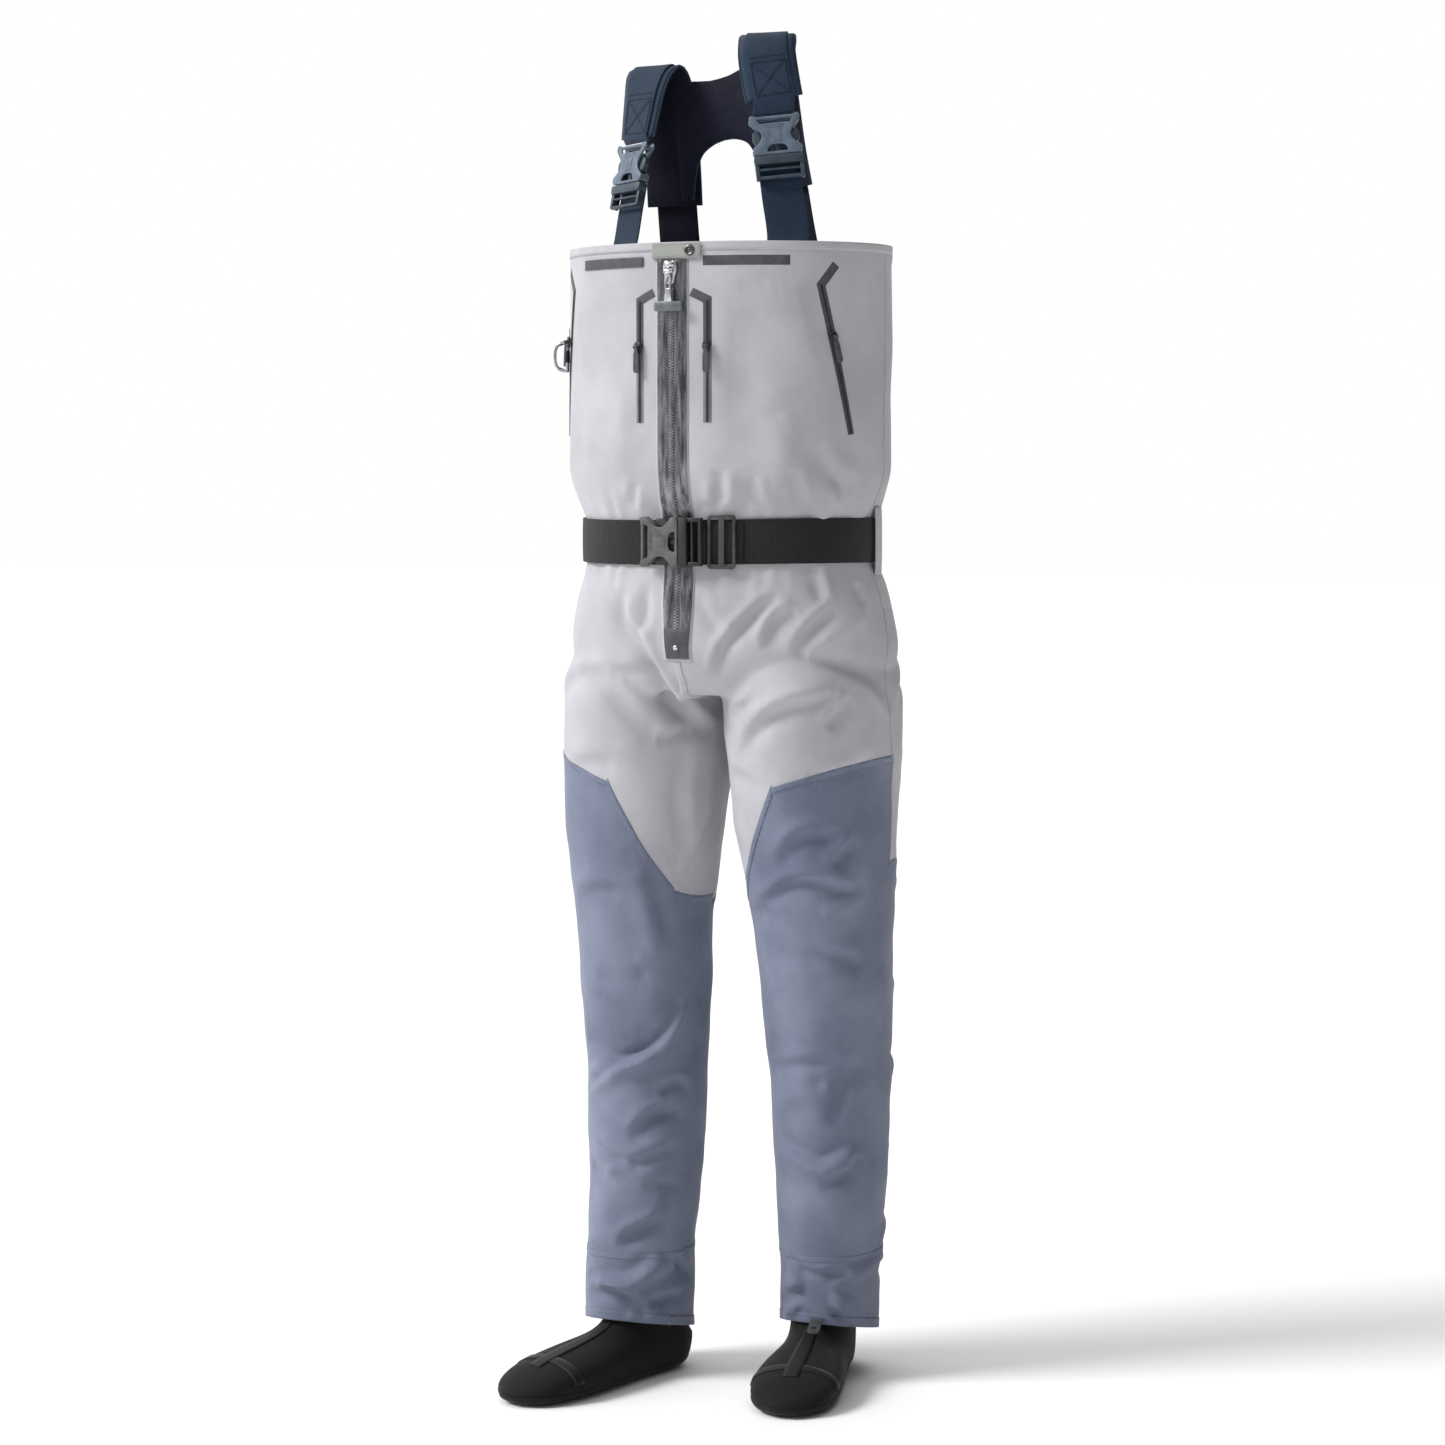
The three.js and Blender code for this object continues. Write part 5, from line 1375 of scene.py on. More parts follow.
@dataclass
class Feet:
    """Neoprene stocking feet with a moulded sole and taped seams."""

    skin: Skin
    wall: float = 3.6
    sole_high: float = 14.0
    rings: tuple[tuple[tuple[float, float], tuple[float, float], float], ...] = (
        ((108, 128), (14, 128), 41), ((108, 104), (10, 96), 38), ((112, 86), (3, 60), 36),
        ((118, 75), (1, 28), 36), ((126, 68), (16, 4), 37), ((138, 62), (62, 0), 38),
        ((152, 58), (112, 0), 42), ((178, 53), (165, 0), 48), ((212, 47), (206, 0), 50),
        ((242, 40), (240, 0), 46), ((264, 31), (264, 2), 36), ((278, 22), (279, 6), 19))
    around: int = 72

    def build(self) -> None:
        """Builds both socks."""
        for side in sides():
            self._sock(side)

    def ring(self, side: Side, front: np.ndarray, back: np.ndarray, wide: float,
             grow: float = 0.0) -> np.ndarray:
        """One section of a sock, from instep to sole.

        Args:
            side: Which foot.
            front: (along, height) of the instep point.
            back: (along, height) of the heel or sole point.
            wide: Half width.
            grow: Distance outwards.

        Returns:
            Ring of points in the wearer's frame, its first point repeated last.
        """
        middle, half = (front + back) / 2, (front - back) / 2
        stretch = 1 + grow / max(12.0, float(np.hypot(*half)))
        points = []
        for a in np.linspace(0, 2 * math.pi, self.around + 1):
            low = math.sin(a) > 0 and back[1] < 40
            power = 2 / 2.9 if low else 2 / 2.1
            c = math.copysign(abs(math.cos(a)) ** power, math.cos(a))
            s = math.copysign(abs(math.sin(a)) ** power, math.sin(a))
            along, up = middle - half * stretch * s
            points.append(FEET[side].point(along, (wide + grow) * c, max(up, 1.5)))
        return np.array(points)

    def _sock(self, side: Side) -> None:
        """A sock's upper, its sole, a toe seam and a centre seam."""
        table = np.array([[*f, *b, w] for f, b, w in self.rings], float)
        smooth = curve_through(table, 60)
        smooth[:, 3] = np.maximum(smooth[:, 3], 0.0)
        shaft = []
        for z in (172.0, 158.0, 150.0):
            x, y, w, d, turn = (float(v) for v in BODY.section(BODY.leg(side), z))
            angle = np.linspace(0, 2 * math.pi, self.around + 1)
            flat = np.stack([(w - 13.0) * np.cos(angle), (d - 13.0) * np.sin(angle)], axis=1)
            c, s = math.cos(turn), math.sin(turn)
            shaft.append(np.stack([x + flat[:, 0] * c - flat[:, 1] * s, y + flat[:, 0] * s + flat[:, 1] * c,
                                   np.full(len(flat), z)], axis=1))
        rings = [self.ring(side, r[:2], r[2:4], r[4]) for r in smooth]
        tip = rings[-1].mean(axis=0)
        reach = (FEET[side].point(6, 0, 0) - FEET[side].point(0, 0, 0)) * [1, 1, 0]
        nose = [tip + (rings[-1] - tip) * k + reach * f for k, f in ((0.72, 0.55), (0.42, 0.85), (0.12, 1.0))]
        points = np.stack([*shaft, *rings, *nose])
        bm = grid(BODY.metres(points), wrap=True)
        low = [e for e in bm.edges if e.is_boundary and wearer(e.verts[0].co).z < 100]
        bmesh.ops.holes_fill(bm, edges=low, sides=0)
        bmesh.ops.recalc_face_normals(bm, faces=bm.faces)
        level = self.sole_high
        lower = bm.copy()
        scored(bm, (0, 0, level), (0, 0, -1), lambda p: p[:, 2] < 60, clear=True)
        upper = to_object(f"sock_upper_{side.word}", bm, 60)
        Garment._wall(upper, self.wall)
        settle(upper, SOCK, "garment", Slot.NEOPRENE, f"bootie_{side.word}")
        scored(lower, (0, 0, level), (0, 0, 1), clear=True)
        for vert in lower.verts:
            level_normal = Vector((vert.normal.x, vert.normal.y, 0))
            vert.co += level_normal * 0.6 * MM
        sole = to_object(f"sock_sole_{side.word}", lower, 60)
        Garment._wall(sole, self.wall + 0.6)
        settle(sole, SOCK_SOLE, "garment", Slot.NEOPRENE, f"bootie_sole_{side.word}")
        self._tape(f"sock_instep_seam_{side.word}", side, smooth, 8, 52)
        self._cross_tape(f"sock_toe_seam_{side.word}", side, smooth, 47)
        self._cross_tape(f"sock_ankle_seam_{side.word}", side, smooth, 12)

    def _tape(self, name: str, side: Side, smooth: np.ndarray, start: int, end: int) -> None:
        """A glued tape along the top of the foot."""
        rows = []
        for r in smooth[start:end]:
            ring = self.ring(side, r[:2], r[2:4], r[4], 0.5)
            top = int(self.around * 0.75)
            rows.append(ring[top - 2 : top + 3])
        piece = to_object(name, grid(BODY.metres(np.array(rows))), 60)
        Garment._wall(piece, 0.6)
        settle(piece, SOCK_TAPE, "garment", Slot.NEOPRENE)

    def _cross_tape(self, name: str, side: Side, smooth: np.ndarray, at: int) -> None:
        """A glued tape across the foot, round the upper half of one section."""
        rows = []
        for k in np.linspace(-1.2, 1.2, 4):
            low = int(math.floor(at + k))
            r = smooth[low] + (smooth[low + 1] - smooth[low]) * (at + k - low)
            ring = self.ring(side, r[:2], r[2:4], r[4], 0.5)
            keep = [p for p in ring[:-1]]
            rows.append(np.array([*keep[self.around // 2 :], keep[0]]))
        piece = to_object(name, grid(BODY.metres(np.array(rows))), 60)
        Garment._wall(piece, 0.6)
        settle(piece, SOCK_TAPE, "garment", Slot.NEOPRENE)


# ---- tapes that follow the cloth -------------------------------------------------------------


def raycast_tape(skin: Skin, places: Sequence[tuple[float, float]], half: float | Sequence[float],
                 lift: float, columns: int = 5,
                 crown: Callable[[float, float], float] | None = None) -> bmesh.types.BMesh:
    """A strip that lies on the trunk's folded cloth.

    Args:
        skin: The folded skin.
        places: Corners of the strip's middle line, as (degrees from the front, height).
        half: Half width, or one for each corner, in millimetres.
        lift: Distance from the cloth.
        columns: Points across.
        crown: Extra lift from (share across from -1 to 1, height).

    Returns:
        The strip as an open mesh.
    """
    halves = np.broadcast_to(np.asarray(half, float), len(places))
    rows = []
    for i, ((d0, z0), (d1, z1)) in enumerate(zip(places, places[1:])):
        steps = max(2, int(math.dist((d0 * 3.2, z0), (d1 * 3.2, z1)) / 5))
        for k in range(steps + (i == len(places) - 2)):
            t = k / steps
            rows.append((d0 + (d1 - d0) * t, z0 + (z1 - z0) * t, halves[i] + (halves[i + 1] - halves[i]) * t))
    table = np.array(rows)
    _, _, w, d, _ = BODY.section(BODY.trunk, table[:, 1])
    angle = np.radians(table[:, 0])
    scale = np.hypot(w * np.cos(angle), d * np.sin(angle)) * math.pi / 180
    flat = np.stack([table[:, 0] * scale.mean(), table[:, 1]], axis=1)
    ahead = unit(np.diff(flat, axis=0, append=2 * flat[-1:] - flat[-2:-1]))
    behind = np.vstack([ahead[:1], ahead[:-1]])
    along = unit(ahead + behind)
    mitre = 1 / np.maximum(0.6, (along * ahead).sum(axis=1))
    points = np.zeros((len(table), columns, 3))
    for i, (deg, z, wide) in enumerate(table):
        for j, share in enumerate(np.linspace(-1, 1, columns)):
            off = share * wide * mitre[i]
            at_deg = deg + off * along[i, 1] / scale[i]
            at_z = z - off * along[i, 0]
            start, normal = BODY.on_trunk(at_deg, at_z, 45)
            hit, _ = skin.drop(start, -normal)
            extra = crown(share, at_z) if crown else 0.0
            points[i, j] = np.array(hit) + normal * (lift + extra) * MM
    return grid(points)


def walled(piece: bpy.types.Object, thick: float, offset: float = 1.0,
           bevel: float = 0.0) -> bpy.types.Object:
    """Gives an open strip its thickness, outward at offset 1, and eased edges, in millimetres."""
    wall = piece.modifiers.new("wall", "SOLIDIFY")
    wall.thickness = thick * MM
    wall.offset = offset
    if bevel:
        ease = piece.modifiers.new("ease", "BEVEL")
        ease.width = bevel * MM
        ease.segments = 2
        ease.limit_method = "ANGLE"
        ease.angle_limit = math.radians(50)
    return piece


def trunk_band(low_deg: float, high_deg: float, z0: float, z1: float, lift: float, rows: int = 16,
               columns: int = 5) -> bmesh.types.BMesh:
    """A patch held off the trunk's smooth shape between two angles and two heights."""
    points = np.zeros((rows, columns, 3))
    for i, deg in enumerate(np.linspace(low_deg, high_deg, rows)):
        for j, z in enumerate(np.linspace(z0, z1, columns)):
            points[i, j] = BODY.metres(BODY.on_trunk(deg, z, lift)[0])
    return grid(points)


def ring_outline(radius: float, sides: int = 24,
                 centre: tuple[float, float] = (0, 0)) -> list[tuple[float, float]]:
    """Corners of a circle."""
    return [(centre[0] + radius * math.cos(a), centre[1] + radius * math.sin(a))
            for a in np.linspace(0, 2 * math.pi, sides, endpoint=False)]


def mirrored(half: Sequence[tuple[float, float]]) -> list[tuple[float, float]]:
    """An outline made of a right half, top to bottom or bottom to top, and its mirror image."""
    return [*half, *((-x, z) for x, z in reversed(half))]


def pull_eye(radius: float, bore: float, half_wide: float, sides: int, bevel: float) -> bmesh.types.BMesh:
    """The round eye of a zip pull, its hole running across the zip."""
    eye = plate(ring_outline(radius, sides), -half_wide, half_wide, [ring_outline(bore, sides)], bevel)
    bmesh.ops.rotate(eye, cent=(0, 0, 0), matrix=Matrix.Rotation(math.pi / 2, 3, "Z"), verts=eye.verts)
    return eye


def spun(profile: Sequence[tuple[float, float]], steps: int = 32) -> bmesh.types.BMesh:
    """A turned part about local -Y from (radius, height) points; height runs towards the face."""
    bm = bmesh.new()
    ring = [bm.verts.new((r, -h, 0)) for r, h in profile]
    edges = [bm.edges.new(pair) for pair in zip(ring, ring[1:])]
    bmesh.ops.spin(bm, geom=[*ring, *edges], cent=(0, 0, 0), axis=(0, 1, 0), dvec=(0, 0, 0),
                   angle=2 * math.pi, steps=steps, use_merge=True, use_duplicate=False)
    bmesh.ops.remove_doubles(bm, verts=bm.verts, dist=1e-4)
    bmesh.ops.recalc_face_normals(bm, faces=bm.faces)
    return bm


def wire(path: np.ndarray, radius: float, sides: int = 12) -> bmesh.types.BMesh:
    """A round wire along points, in millimetres, with filled ends."""
    tangent = unit(np.gradient(path, axis=0))
    first = np.array([1.0, 0, 0]) if abs(tangent[0, 0]) < 0.9 else np.array([0, 1.0, 0])
    side = unit(np.cross(tangent, first))
    for i in range(1, len(side)):
        side[i] = unit(side[i - 1] - tangent[i] * (side[i - 1] @ tangent[i]))
    up = np.cross(tangent, side)
    angle = np.linspace(0, 2 * math.pi, sides + 1)
    points = (path[:, None] + side[:, None] * np.cos(angle)[None, :, None] * radius
              + up[:, None] * np.sin(angle)[None, :, None] * radius)
    points[:, -1] = points[:, 0]
    return grid(points, wrap=True, close_ends=True)


def stitched(name: str, spots: Callable[[float, float], tuple[np.ndarray, np.ndarray]],
             paths: Sequence[Sequence[tuple[float,
                                            float]]], pitch: float = 4.0,
                                            thread: float = 0.8) -> bpy.types.Object:
    """Rows of stitches laid on a surface.

    Args:
        name: Piece name.
        spots: Gives the point and normal at (along, across), in the wearer's frame.
        paths: Corner lists of the rows, as (along, across) in millimetres.
        pitch: Length of one stitch and its gap.
        thread: Thickness of the thread.

    Returns:
        The stitches as one object.
    """
    bm = bmesh.new()
    for path in paths:
        for (u0, v0), (u1, v1) in zip(path, path[1:]):
            count = max(1, round(math.dist((u0, v0), (u1, v1)) / pitch))
            for k in range(count):
                a, b = (k + 0.12) / count, (k + 0.88) / count
                p, n = spots(u0 + (u1 - u0) * a, v0 + (v1 - v0) * a)
                q, _ = spots(u0 + (u1 - u0) * b, v0 + (v1 - v0) * b)
                along = q - p
                x = unit(along)
                y = unit(np.cross(n, x))
                matrix = local_frame(x, y, np.cross(x, y), (p + q) / 2)
                size = Matrix.Diagonal((float(np.linalg.norm(along)), thread, thread * 0.6, 1.0))
                bmesh.ops.create_cube(bm, size=1.0, matrix=matrix @ size)
    return to_object(name, bm)


# ---- front zip, snap tab and chest tapes -----------------------------------------------------


@dataclass
class FrontZip:
    """Waterproof front zip: film-coated tape, moulded teeth, slider and T-pull, tab and snap."""

    skin: Skin
    half: float = 18.0
    top: float = 1285.5
    narrow: float = 14.0
    tooth_pitch: float = 3.2
    tab_height: float = 17.0
    tab_from: float = -7.0
    tab_to: float = 10.5
    snap_at: float = 6.7

    def build(self) -> None:
        """Builds the tape, the teeth, the slider with its pull and the tab."""
        bottom = BODY.zip_bottom
        tape = to_object("zip_tape_film", raycast_tape(
            self.skin, [(0, bottom), (0, bottom + 60), (0, self.top)],
            [self.narrow, self.half, self.half], 0.3, 15, self._crown), 60)
        walled(tape, 0.9, 1.0, 0.3)
        settle(tape, ZIP_FILM, "garment", Slot.ZIP_RUBBER, "front_zip")
        border = to_object("zip_tape_border", raycast_tape(
            self.skin, [(0, bottom - 3), (0, bottom + 60), (0, self.top - 1)],
            [self.narrow + 3, self.half + 2.2, self.half + 2.2], 0.1, 9), 60)
        settle(walled(border, 0.4), LAMINATE_GREY, "garment", Slot.GREY)
        self._teeth()
        self._end()
        self._slider()
        self._tab()

    @staticmethod
    def _crown(share: float, z: float) -> float:
        """Two soft swells, one on each side of the teeth, that wander a little along the zip."""
        swell = math.sin(math.pi * abs(share)) ** 0.8
        if abs(share) < 0.05:
            return swell
        wander = 0.25 * math.sin(z / 23.0 + share * 2) + 0.15 * math.sin(z / 9.7 + 4 * share)
        calm = 1.0 if z < 1215 else 0.3
        return max(0.0, swell + wander * calm * (1 - abs(share) ** 4))

    def _teeth(self) -> None:
        """Two rows of closed teeth, each a small block with eased edges, and their cord."""
        tooth = block(-1.5, 1.5, -1.7, 0.2, -0.75, 0.75, 0.0)
        mesh = bpy.data.meshes.new("tooth")
        tooth.to_mesh(mesh)
        tooth.free()
        row = bmesh.new()
        z = BODY.zip_bottom + 12
        step = 0
        while z < self.top - 2:
            start, normal = BODY.on_trunk(0, z, 40)
            hit, _ = self.skin.drop(start, -normal)
            place = Matrix.Translation(hit + Vector((0, -0.0016, 0))) @ Matrix.Scale(MM, 4)
            shift = Matrix.Translation(((-1.3, 0, 0), (1.3, 0, 0))[step % 2])
            old = set(row.verts)
            row.from_mesh(mesh)
            bmesh.ops.transform(row, matrix=place @ shift, verts=[v for v in row.verts if v not in old])
            z += self.tooth_pitch / 2
            step += 1
        bpy.data.meshes.remove(mesh)
        settle(to_object("zip_teeth", row), ZIP_TEETH, "garment", Slot.ZIP_RUBBER)

    def _end(self) -> None:
        """A welded patch and a rivet over the zip's lower end."""
        bottom = BODY.zip_bottom
        patch = to_object("zip_end_patch", raycast_tape(
            self.skin, [(0, bottom + 1), (0, bottom + 34)], [self.narrow - 0.5, self.narrow + 1.5], 2.3, 7,
            lambda share, z: 0.4 * (1 - share * share)), 60)
        settle(walled(patch, 0.7, 1.0, 0.3), TAPE_DARK, "garment", Slot.ZIP_RUBBER)
        point, _ = BODY.on_trunk(0, bottom + 13, 3.2)
        rivet = spun(((0, 1.2), (1.4, 1.1), (2.4, 0.7), (3.0, 0.0)), 20)
        matrix = TO_METRES @ Matrix.Translation(Vector(point))
        settle(to_object("zip_end_rivet", placed(rivet, matrix)), ZIP_SILVER, "garment", Slot.ZIP_RUBBER)

    def _slider(self) -> None:
        """A domed slider on the teeth and a pull with a T-bar."""
        x, y, _, d, _ = BODY.section(BODY.trunk, self.top)
        pin = Matrix.Translation((BODY.trunk_x, float(y - d) - 0.5 - 1.6 - 0.4 - 4.4 - 2.8, self.top - 13))
        half = [(3.4, -14.3), (4.8, -12.5), (6.0, -7), (7.9, 0), (8.5, 5), (8.0, 9.5), (5.2, 11.7)]
        outline = mirrored(half)
        dome = bmesh.new()
        bmesh.ops.create_uvsphere(dome, u_segments=28, v_segments=16, radius=1.0,
                                  matrix=Matrix.Translation((0, 3.6, 7.2)) @ Matrix.Diagonal((6.9, 5.0, 4.3,
                                      1)))
        body = merged(
            plate(outline, 3.2, 7.2, bevel=1.3), dome, block(-2.4, 2.4, 1.8, 3.6, -13, -3.4, 0.7),
            block(-5.6, -3.9, -1.7, 3.6, -1.9, 1.9, 0.5), block(3.9, 5.6, -1.7, 3.6, -1.9, 1.9, 0.5),
            rod((-4.9, 0, 0), (4.9, 0, 0), 1.1, 16))
        made = to_object("zip_slider_domed", placed(body, TO_METRES @ pin))
        settle(made, ZIP_SILVER, "front_zip_slider", Slot.ZIP_METAL, "front_zip_slider")
        eye = pull_eye(2.4, 1.35, 3.5, 24, 0.3)
        half = [(3.2, -1.7), (4.1, -11), (3.3, -22), (4.8, -33.5)]
        stem = plate(mirrored(half), -1.3, 1.3,
                     [[(-1.3, -6), (-1.9, -12), (-1.4, -19), (1.4, -19), (1.9, -12), (1.3, -6)]], 0.6)
        made = to_object("zip_pull_stem", placed(merged(eye, stem), TO_METRES @ pin))
        settle(made, ZIP_SILVER, "front_zip_pull", Slot.ZIP_METAL, "front_zip_pull")
        ribs = [block(x - 0.7, x + 0.7, -3.1, -2.2, -42, -35, 0.3) for x in (-13, -10, -7, 7, 10, 13)]
        bar = merged(block(-17, 17, -2.6, 2.2, -44, -33, 1.7), *ribs)
        made = to_object("zip_pull_bar", placed(bar, TO_METRES @ pin))
        settle(made, PULL_GREY, "front_zip_pull", Slot.ZIP_METAL)

    def _tab(self) -> None:
        """The tab over the zip's top, hinged at its sewn end, with a snap at the other."""
        z = BODY.hem - 1 - self.tab_height / 2
        low, high = z - self.tab_height / 2, z + self.tab_height / 2
        tab = to_object("snap_tab_cloth", trunk_band(self.tab_from, self.tab_to, low, high, 2.4, 22, 7), 60)
        walled(tab, 1.3, 1.0, 0.45)
        settle(tab, SNAP_CLOTH, "snap_tab", Slot.GREY, "snap_tab", "snap_cap")
        root, _ = BODY.on_trunk(self.tab_from, z, 1.7)
        roll = rod((root[0], root[1], low), (root[0], root[1], high), 1.25, 14)
        settle(to_object("snap_tab_roll", placed(roll, TO_METRES)), SNAP_CLOTH, "snap_tab", Slot.GREY)

        def on_tab(along: float, across: float) -> tuple[np.ndarray, np.ndarray]:
            """A place on the tab's face."""
            point, normal = BODY.on_trunk(along, across, 3.9)
            return point, normal

        edge = [(self.tab_from + 0.7, low + 2), (self.tab_to - 0.7, low + 2), (self.tab_to - 0.7, high - 2),
                (self.tab_from + 0.7, high - 2)]
        rows = [[(a[0] + (b[0] - a[0]) * k / 12, a[1] + (b[1] - a[1]) * k / 12) for k in range(13)]
                for a, b in zip(edge, edge[1:])]
        settle(stitched("snap_tab_stitching", on_tab, rows, 0.8, 0.5), SNAP_CLOTH, "snap_tab", Slot.GREY)
        for name, profile, lift, body, nodes in (
            ("snap_cap_ring", ((0, 0.7), (1.5, 0.7), (2.1, 0.3), (3.0, 0.3), (3.5, 1.5), (4.6, 2.0),
                               (5.6, 1.5),
                               (6.0, 0.0)), 3.8, "snap_tab", ()),
            ("snap_stud_base", ((0, 1.4), (1.8, 1.4), (2.1, 0.7), (4.2, 0.5), (4.3, 0.0)), 0.4, "garment",
             ("snap_stud",)),
        ):
            point, normal = BODY.on_trunk(self.snap_at, z, lift)
            across = np.cross(np.array([0, 0, 1.0]), -normal)
            matrix = local_frame(-across, -normal, np.array([0, 0, 1.0]), point)
            settle(to_object(name, placed(spun(profile), matrix)), SNAP_METAL, body, Slot.ZIP_METAL, *nodes)


@dataclass
class ChestTapes:
    """Accessory bars, welded pocket zips with sliders and pulls, and the pocket bags inside."""

    skin: Skin
    tape_half: float = 5.0
    slider_deep: float = 3.0

    def build(self) -> None:
        """Builds every tape on both sides."""
        for side in sides():
            s = side.sign
            bar = to_object(f"bar_{side.word}",
                            raycast_tape(self.skin, [(11 * s, 1284), (41.5 * s, 1284)], 5.5, 0.3), 60)
            settle(walled(bar, 1.4, 1.0, 0.4), TAPE_DARK, "garment", Slot.POCKET,
                   f"accessory_bar_{side.word}")
            self._pocket("inner", side, [(6.9, 1250), (12.6, 1241), (12.6, 1106)], 1190, True)
            self._pocket("outer", side, [(60, 1280), (53.5, 1257), (67.5, 1093)], 1200, False)
            self._bag(side)

    def _pocket(self, kind: str, side: Side, path: list[tuple[float, float]], slider: float,
                lit_below_slider: bool) -> None:
        """One pocket's zip.

        Args:
            kind: First word of its node names.
            side: Side of the chest.
            path: Corners of the zip in degrees and height.
            slider: Height of the slider.
            lit_below_slider: Whether the tape below the slider is a paler, lit copy of the welt, so that the
                darker tape above it is painted shade.
        """
        s = side.sign
        path = [(deg * s, z) for deg, z in path]
        start, corner, end = path
        share = (slider - corner[1]) / (end[1] - corner[1])
        middle = (corner[0] + (end[0] - corner[0]) * share, slider)
        upper = to_object(f"{kind}_zip_upper_{side.word}", raycast_tape(
            self.skin, [start, corner, middle], self.tape_half, 0.3), 60)
        settle(walled(upper, 1.0, 1.0, 0.3), TAPE_DARK, "garment", Slot.POCKET,
               f"{kind}_pocket_zip_{side.word}")
        lower = to_object(f"{kind}_zip_lower_{side.word}", raycast_tape(
            self.skin, [middle, end], [self.tape_half, self.tape_half - (0 if lit_below_slider else 0.8)], 0.3), 60)
        # Below the slider the tape is painted paler than above it; the darker tape above the slider is
        # painted shade.
        settle(walled(lower, 1.0, 1.0, 0.3), TAPE_LIT_COPY if lit_below_slider else TAPE_DARK, "garment", Slot.POCKET)
        coil = to_object(f"{kind}_zip_coil_{side.word}",
                         raycast_tape(self.skin, [corner, end], 1.2, 1.25, 3), 60)
        settle(walled(coil, 0.5, 1.0, 0.2), NYLON_BLACK, "garment", Slot.POCKET)
        at, normal = BODY.on_trunk(middle[0], slider, 0.4 + 1.2 + 0.5 + self.slider_deep + 2.4)
        here = BODY.on_trunk(middle[0], slider)[0]
        ahead = BODY.on_trunk(middle[0] + 0.01 * (end[0] - corner[0]),
                              slider + 0.01 * (end[1] - corner[1]))[0]
        up = unit(here - ahead)
        x = unit(np.cross(-normal, up))
        matrix = local_frame(x, np.cross(up, x), up, at)
        half = [(2.6, -7.1), (4.0, -4.5), (4.5, 0), (4.5, 4.0), (3.0, 5.8)]
        body = merged(
            plate(mirrored(half), 2.4, 5.4, bevel=0.8),
            block(-3.5, -2.4, -1.3, 2.8, -1.5, 1.5, 0.3), block(2.4, 3.5, -1.3, 2.8, -1.5, 1.5, 0.3),
            rod((-3.2, 0, 0), (3.2, 0, 0), 0.8, 12))
        made = to_object(f"{kind}_slider_body_{side.word}", placed(body, matrix))
        settle(made, NYLON_BLACK, f"{kind}_slider_{side.word}", Slot.POCKET, f"{kind}_slider_{side.word}")
        eye = pull_eye(2.0, 1.0, 2.0, 18, 0.2)
        half = [(1.9, -1.2), (2.6, -6), (3.4, -8.5), (3.4, -26.5), (2.4, -28.6)]
        tab = plate(mirrored(half), -0.9, 0.9,
                    [[(-1.6, -11), (-1.6, -25), (1.6, -25), (1.6, -11)]], 0.4)
        grip = block(-1.7, 1.7, -0.6, 0.6, -25.2, -10.8, 0.2)
        made = to_object(f"{kind}_pull_tab_{side.word}", placed(merged(eye, tab, grip), matrix))
        settle(made, TAPE_DARK, f"{kind}_pull_{side.word}", Slot.POCKET, f"{kind}_pull_{side.word}")

    def _bag(self, side: Side) -> None:
        """The pocket's bag: a soft flat pouch that hangs inside the chest."""
        s = side.sign
        points = []
        for z in np.linspace(1084, 1247, 26):
            wide = 39.0 if z < 1215 else 39 - 16 * min(1.0, (z - 1215) / 8)
            row = []
            for k in np.linspace(0, 1, 14):
                sag = 0.5 * math.sin(math.pi * k) * math.sin(math.pi * (z - 1084) / 163)
                row.append(BODY.on_trunk(s * (9 + (wide - 9) * k), z, -5.2 - sag)[0])
            points.append(row)
        bag = to_object(f"pocket_pouch_{side.word}", grid(BODY.metres(np.array(points))), 60)
        settle(walled(bag, 1.0, 0.0, 0.3), LINING, "garment", Slot.GREY, f"pocket_bag_{side.word}")


@dataclass
class SideRing:
    """The D-ring on the wearer's right side, held by a webbing tab."""

    skin: Skin
    degrees: float = -77.0
    z: float = 1185.0
    wire_radius: float = 1.8
    half: float = 17.0
    out: float = 15.0

    def build(self) -> None:
        """Builds the webbing tab and the ring."""
        deep = 2 * self.wire_radius + 3
        axis, normal = BODY.on_trunk(self.degrees, self.z, 0.4 + 1.5 + deep / 2)
        strip = to_object("ring_tab_webbing", raycast_tape(
            self.skin, [(self.degrees, self.z - 32), (self.degrees, self.z + 32)], 9, 0.3), 60)
        settle(walled(strip, 1.4, 1.0, 0.4), WEB_BLACK, "garment", Slot.BLACK_WEB, "ring_tab")
        loop = plate(ring_outline(deep / 2), -7, 7, [ring_outline(self.wire_radius + 0.3)], 0.4)
        bmesh.ops.rotate(loop, cent=(0, 0, 0), matrix=Matrix.Rotation(math.pi / 2, 3, "X"), verts=loop.verts)
        made = to_object("ring_tab_loop", placed(loop, TO_METRES @ Matrix.Translation(Vector(axis))))
        settle(made, WEB_BLACK, "garment", Slot.BLACK_WEB)
        bow = [(-self.half, 0), (-self.half * 0.9, 0.6), (-self.half * 0.5, 0.93), (0, 1),
               (self.half * 0.5, 0.93),
               (self.half * 0.9, 0.6), (self.half, 0)]
        path = np.array([axis + normal * o * self.out + np.array([0, 0, z]) for z, o in bow])
        straight = np.array([axis + np.array([0, 0, z]) for z in np.linspace(-self.half - 0.9,
            self.half + 0.9, 12)])
        ring = merged(wire(curve_through(path, 48), self.wire_radius, 16),
                      wire(straight, self.wire_radius, 16))
        settle(to_object("d_ring_wire", placed(ring, TO_METRES), 60), STEEL, "d_ring", Slot.RING, "d_ring")


# ---- harness ---------------------------------------------------------------------------------


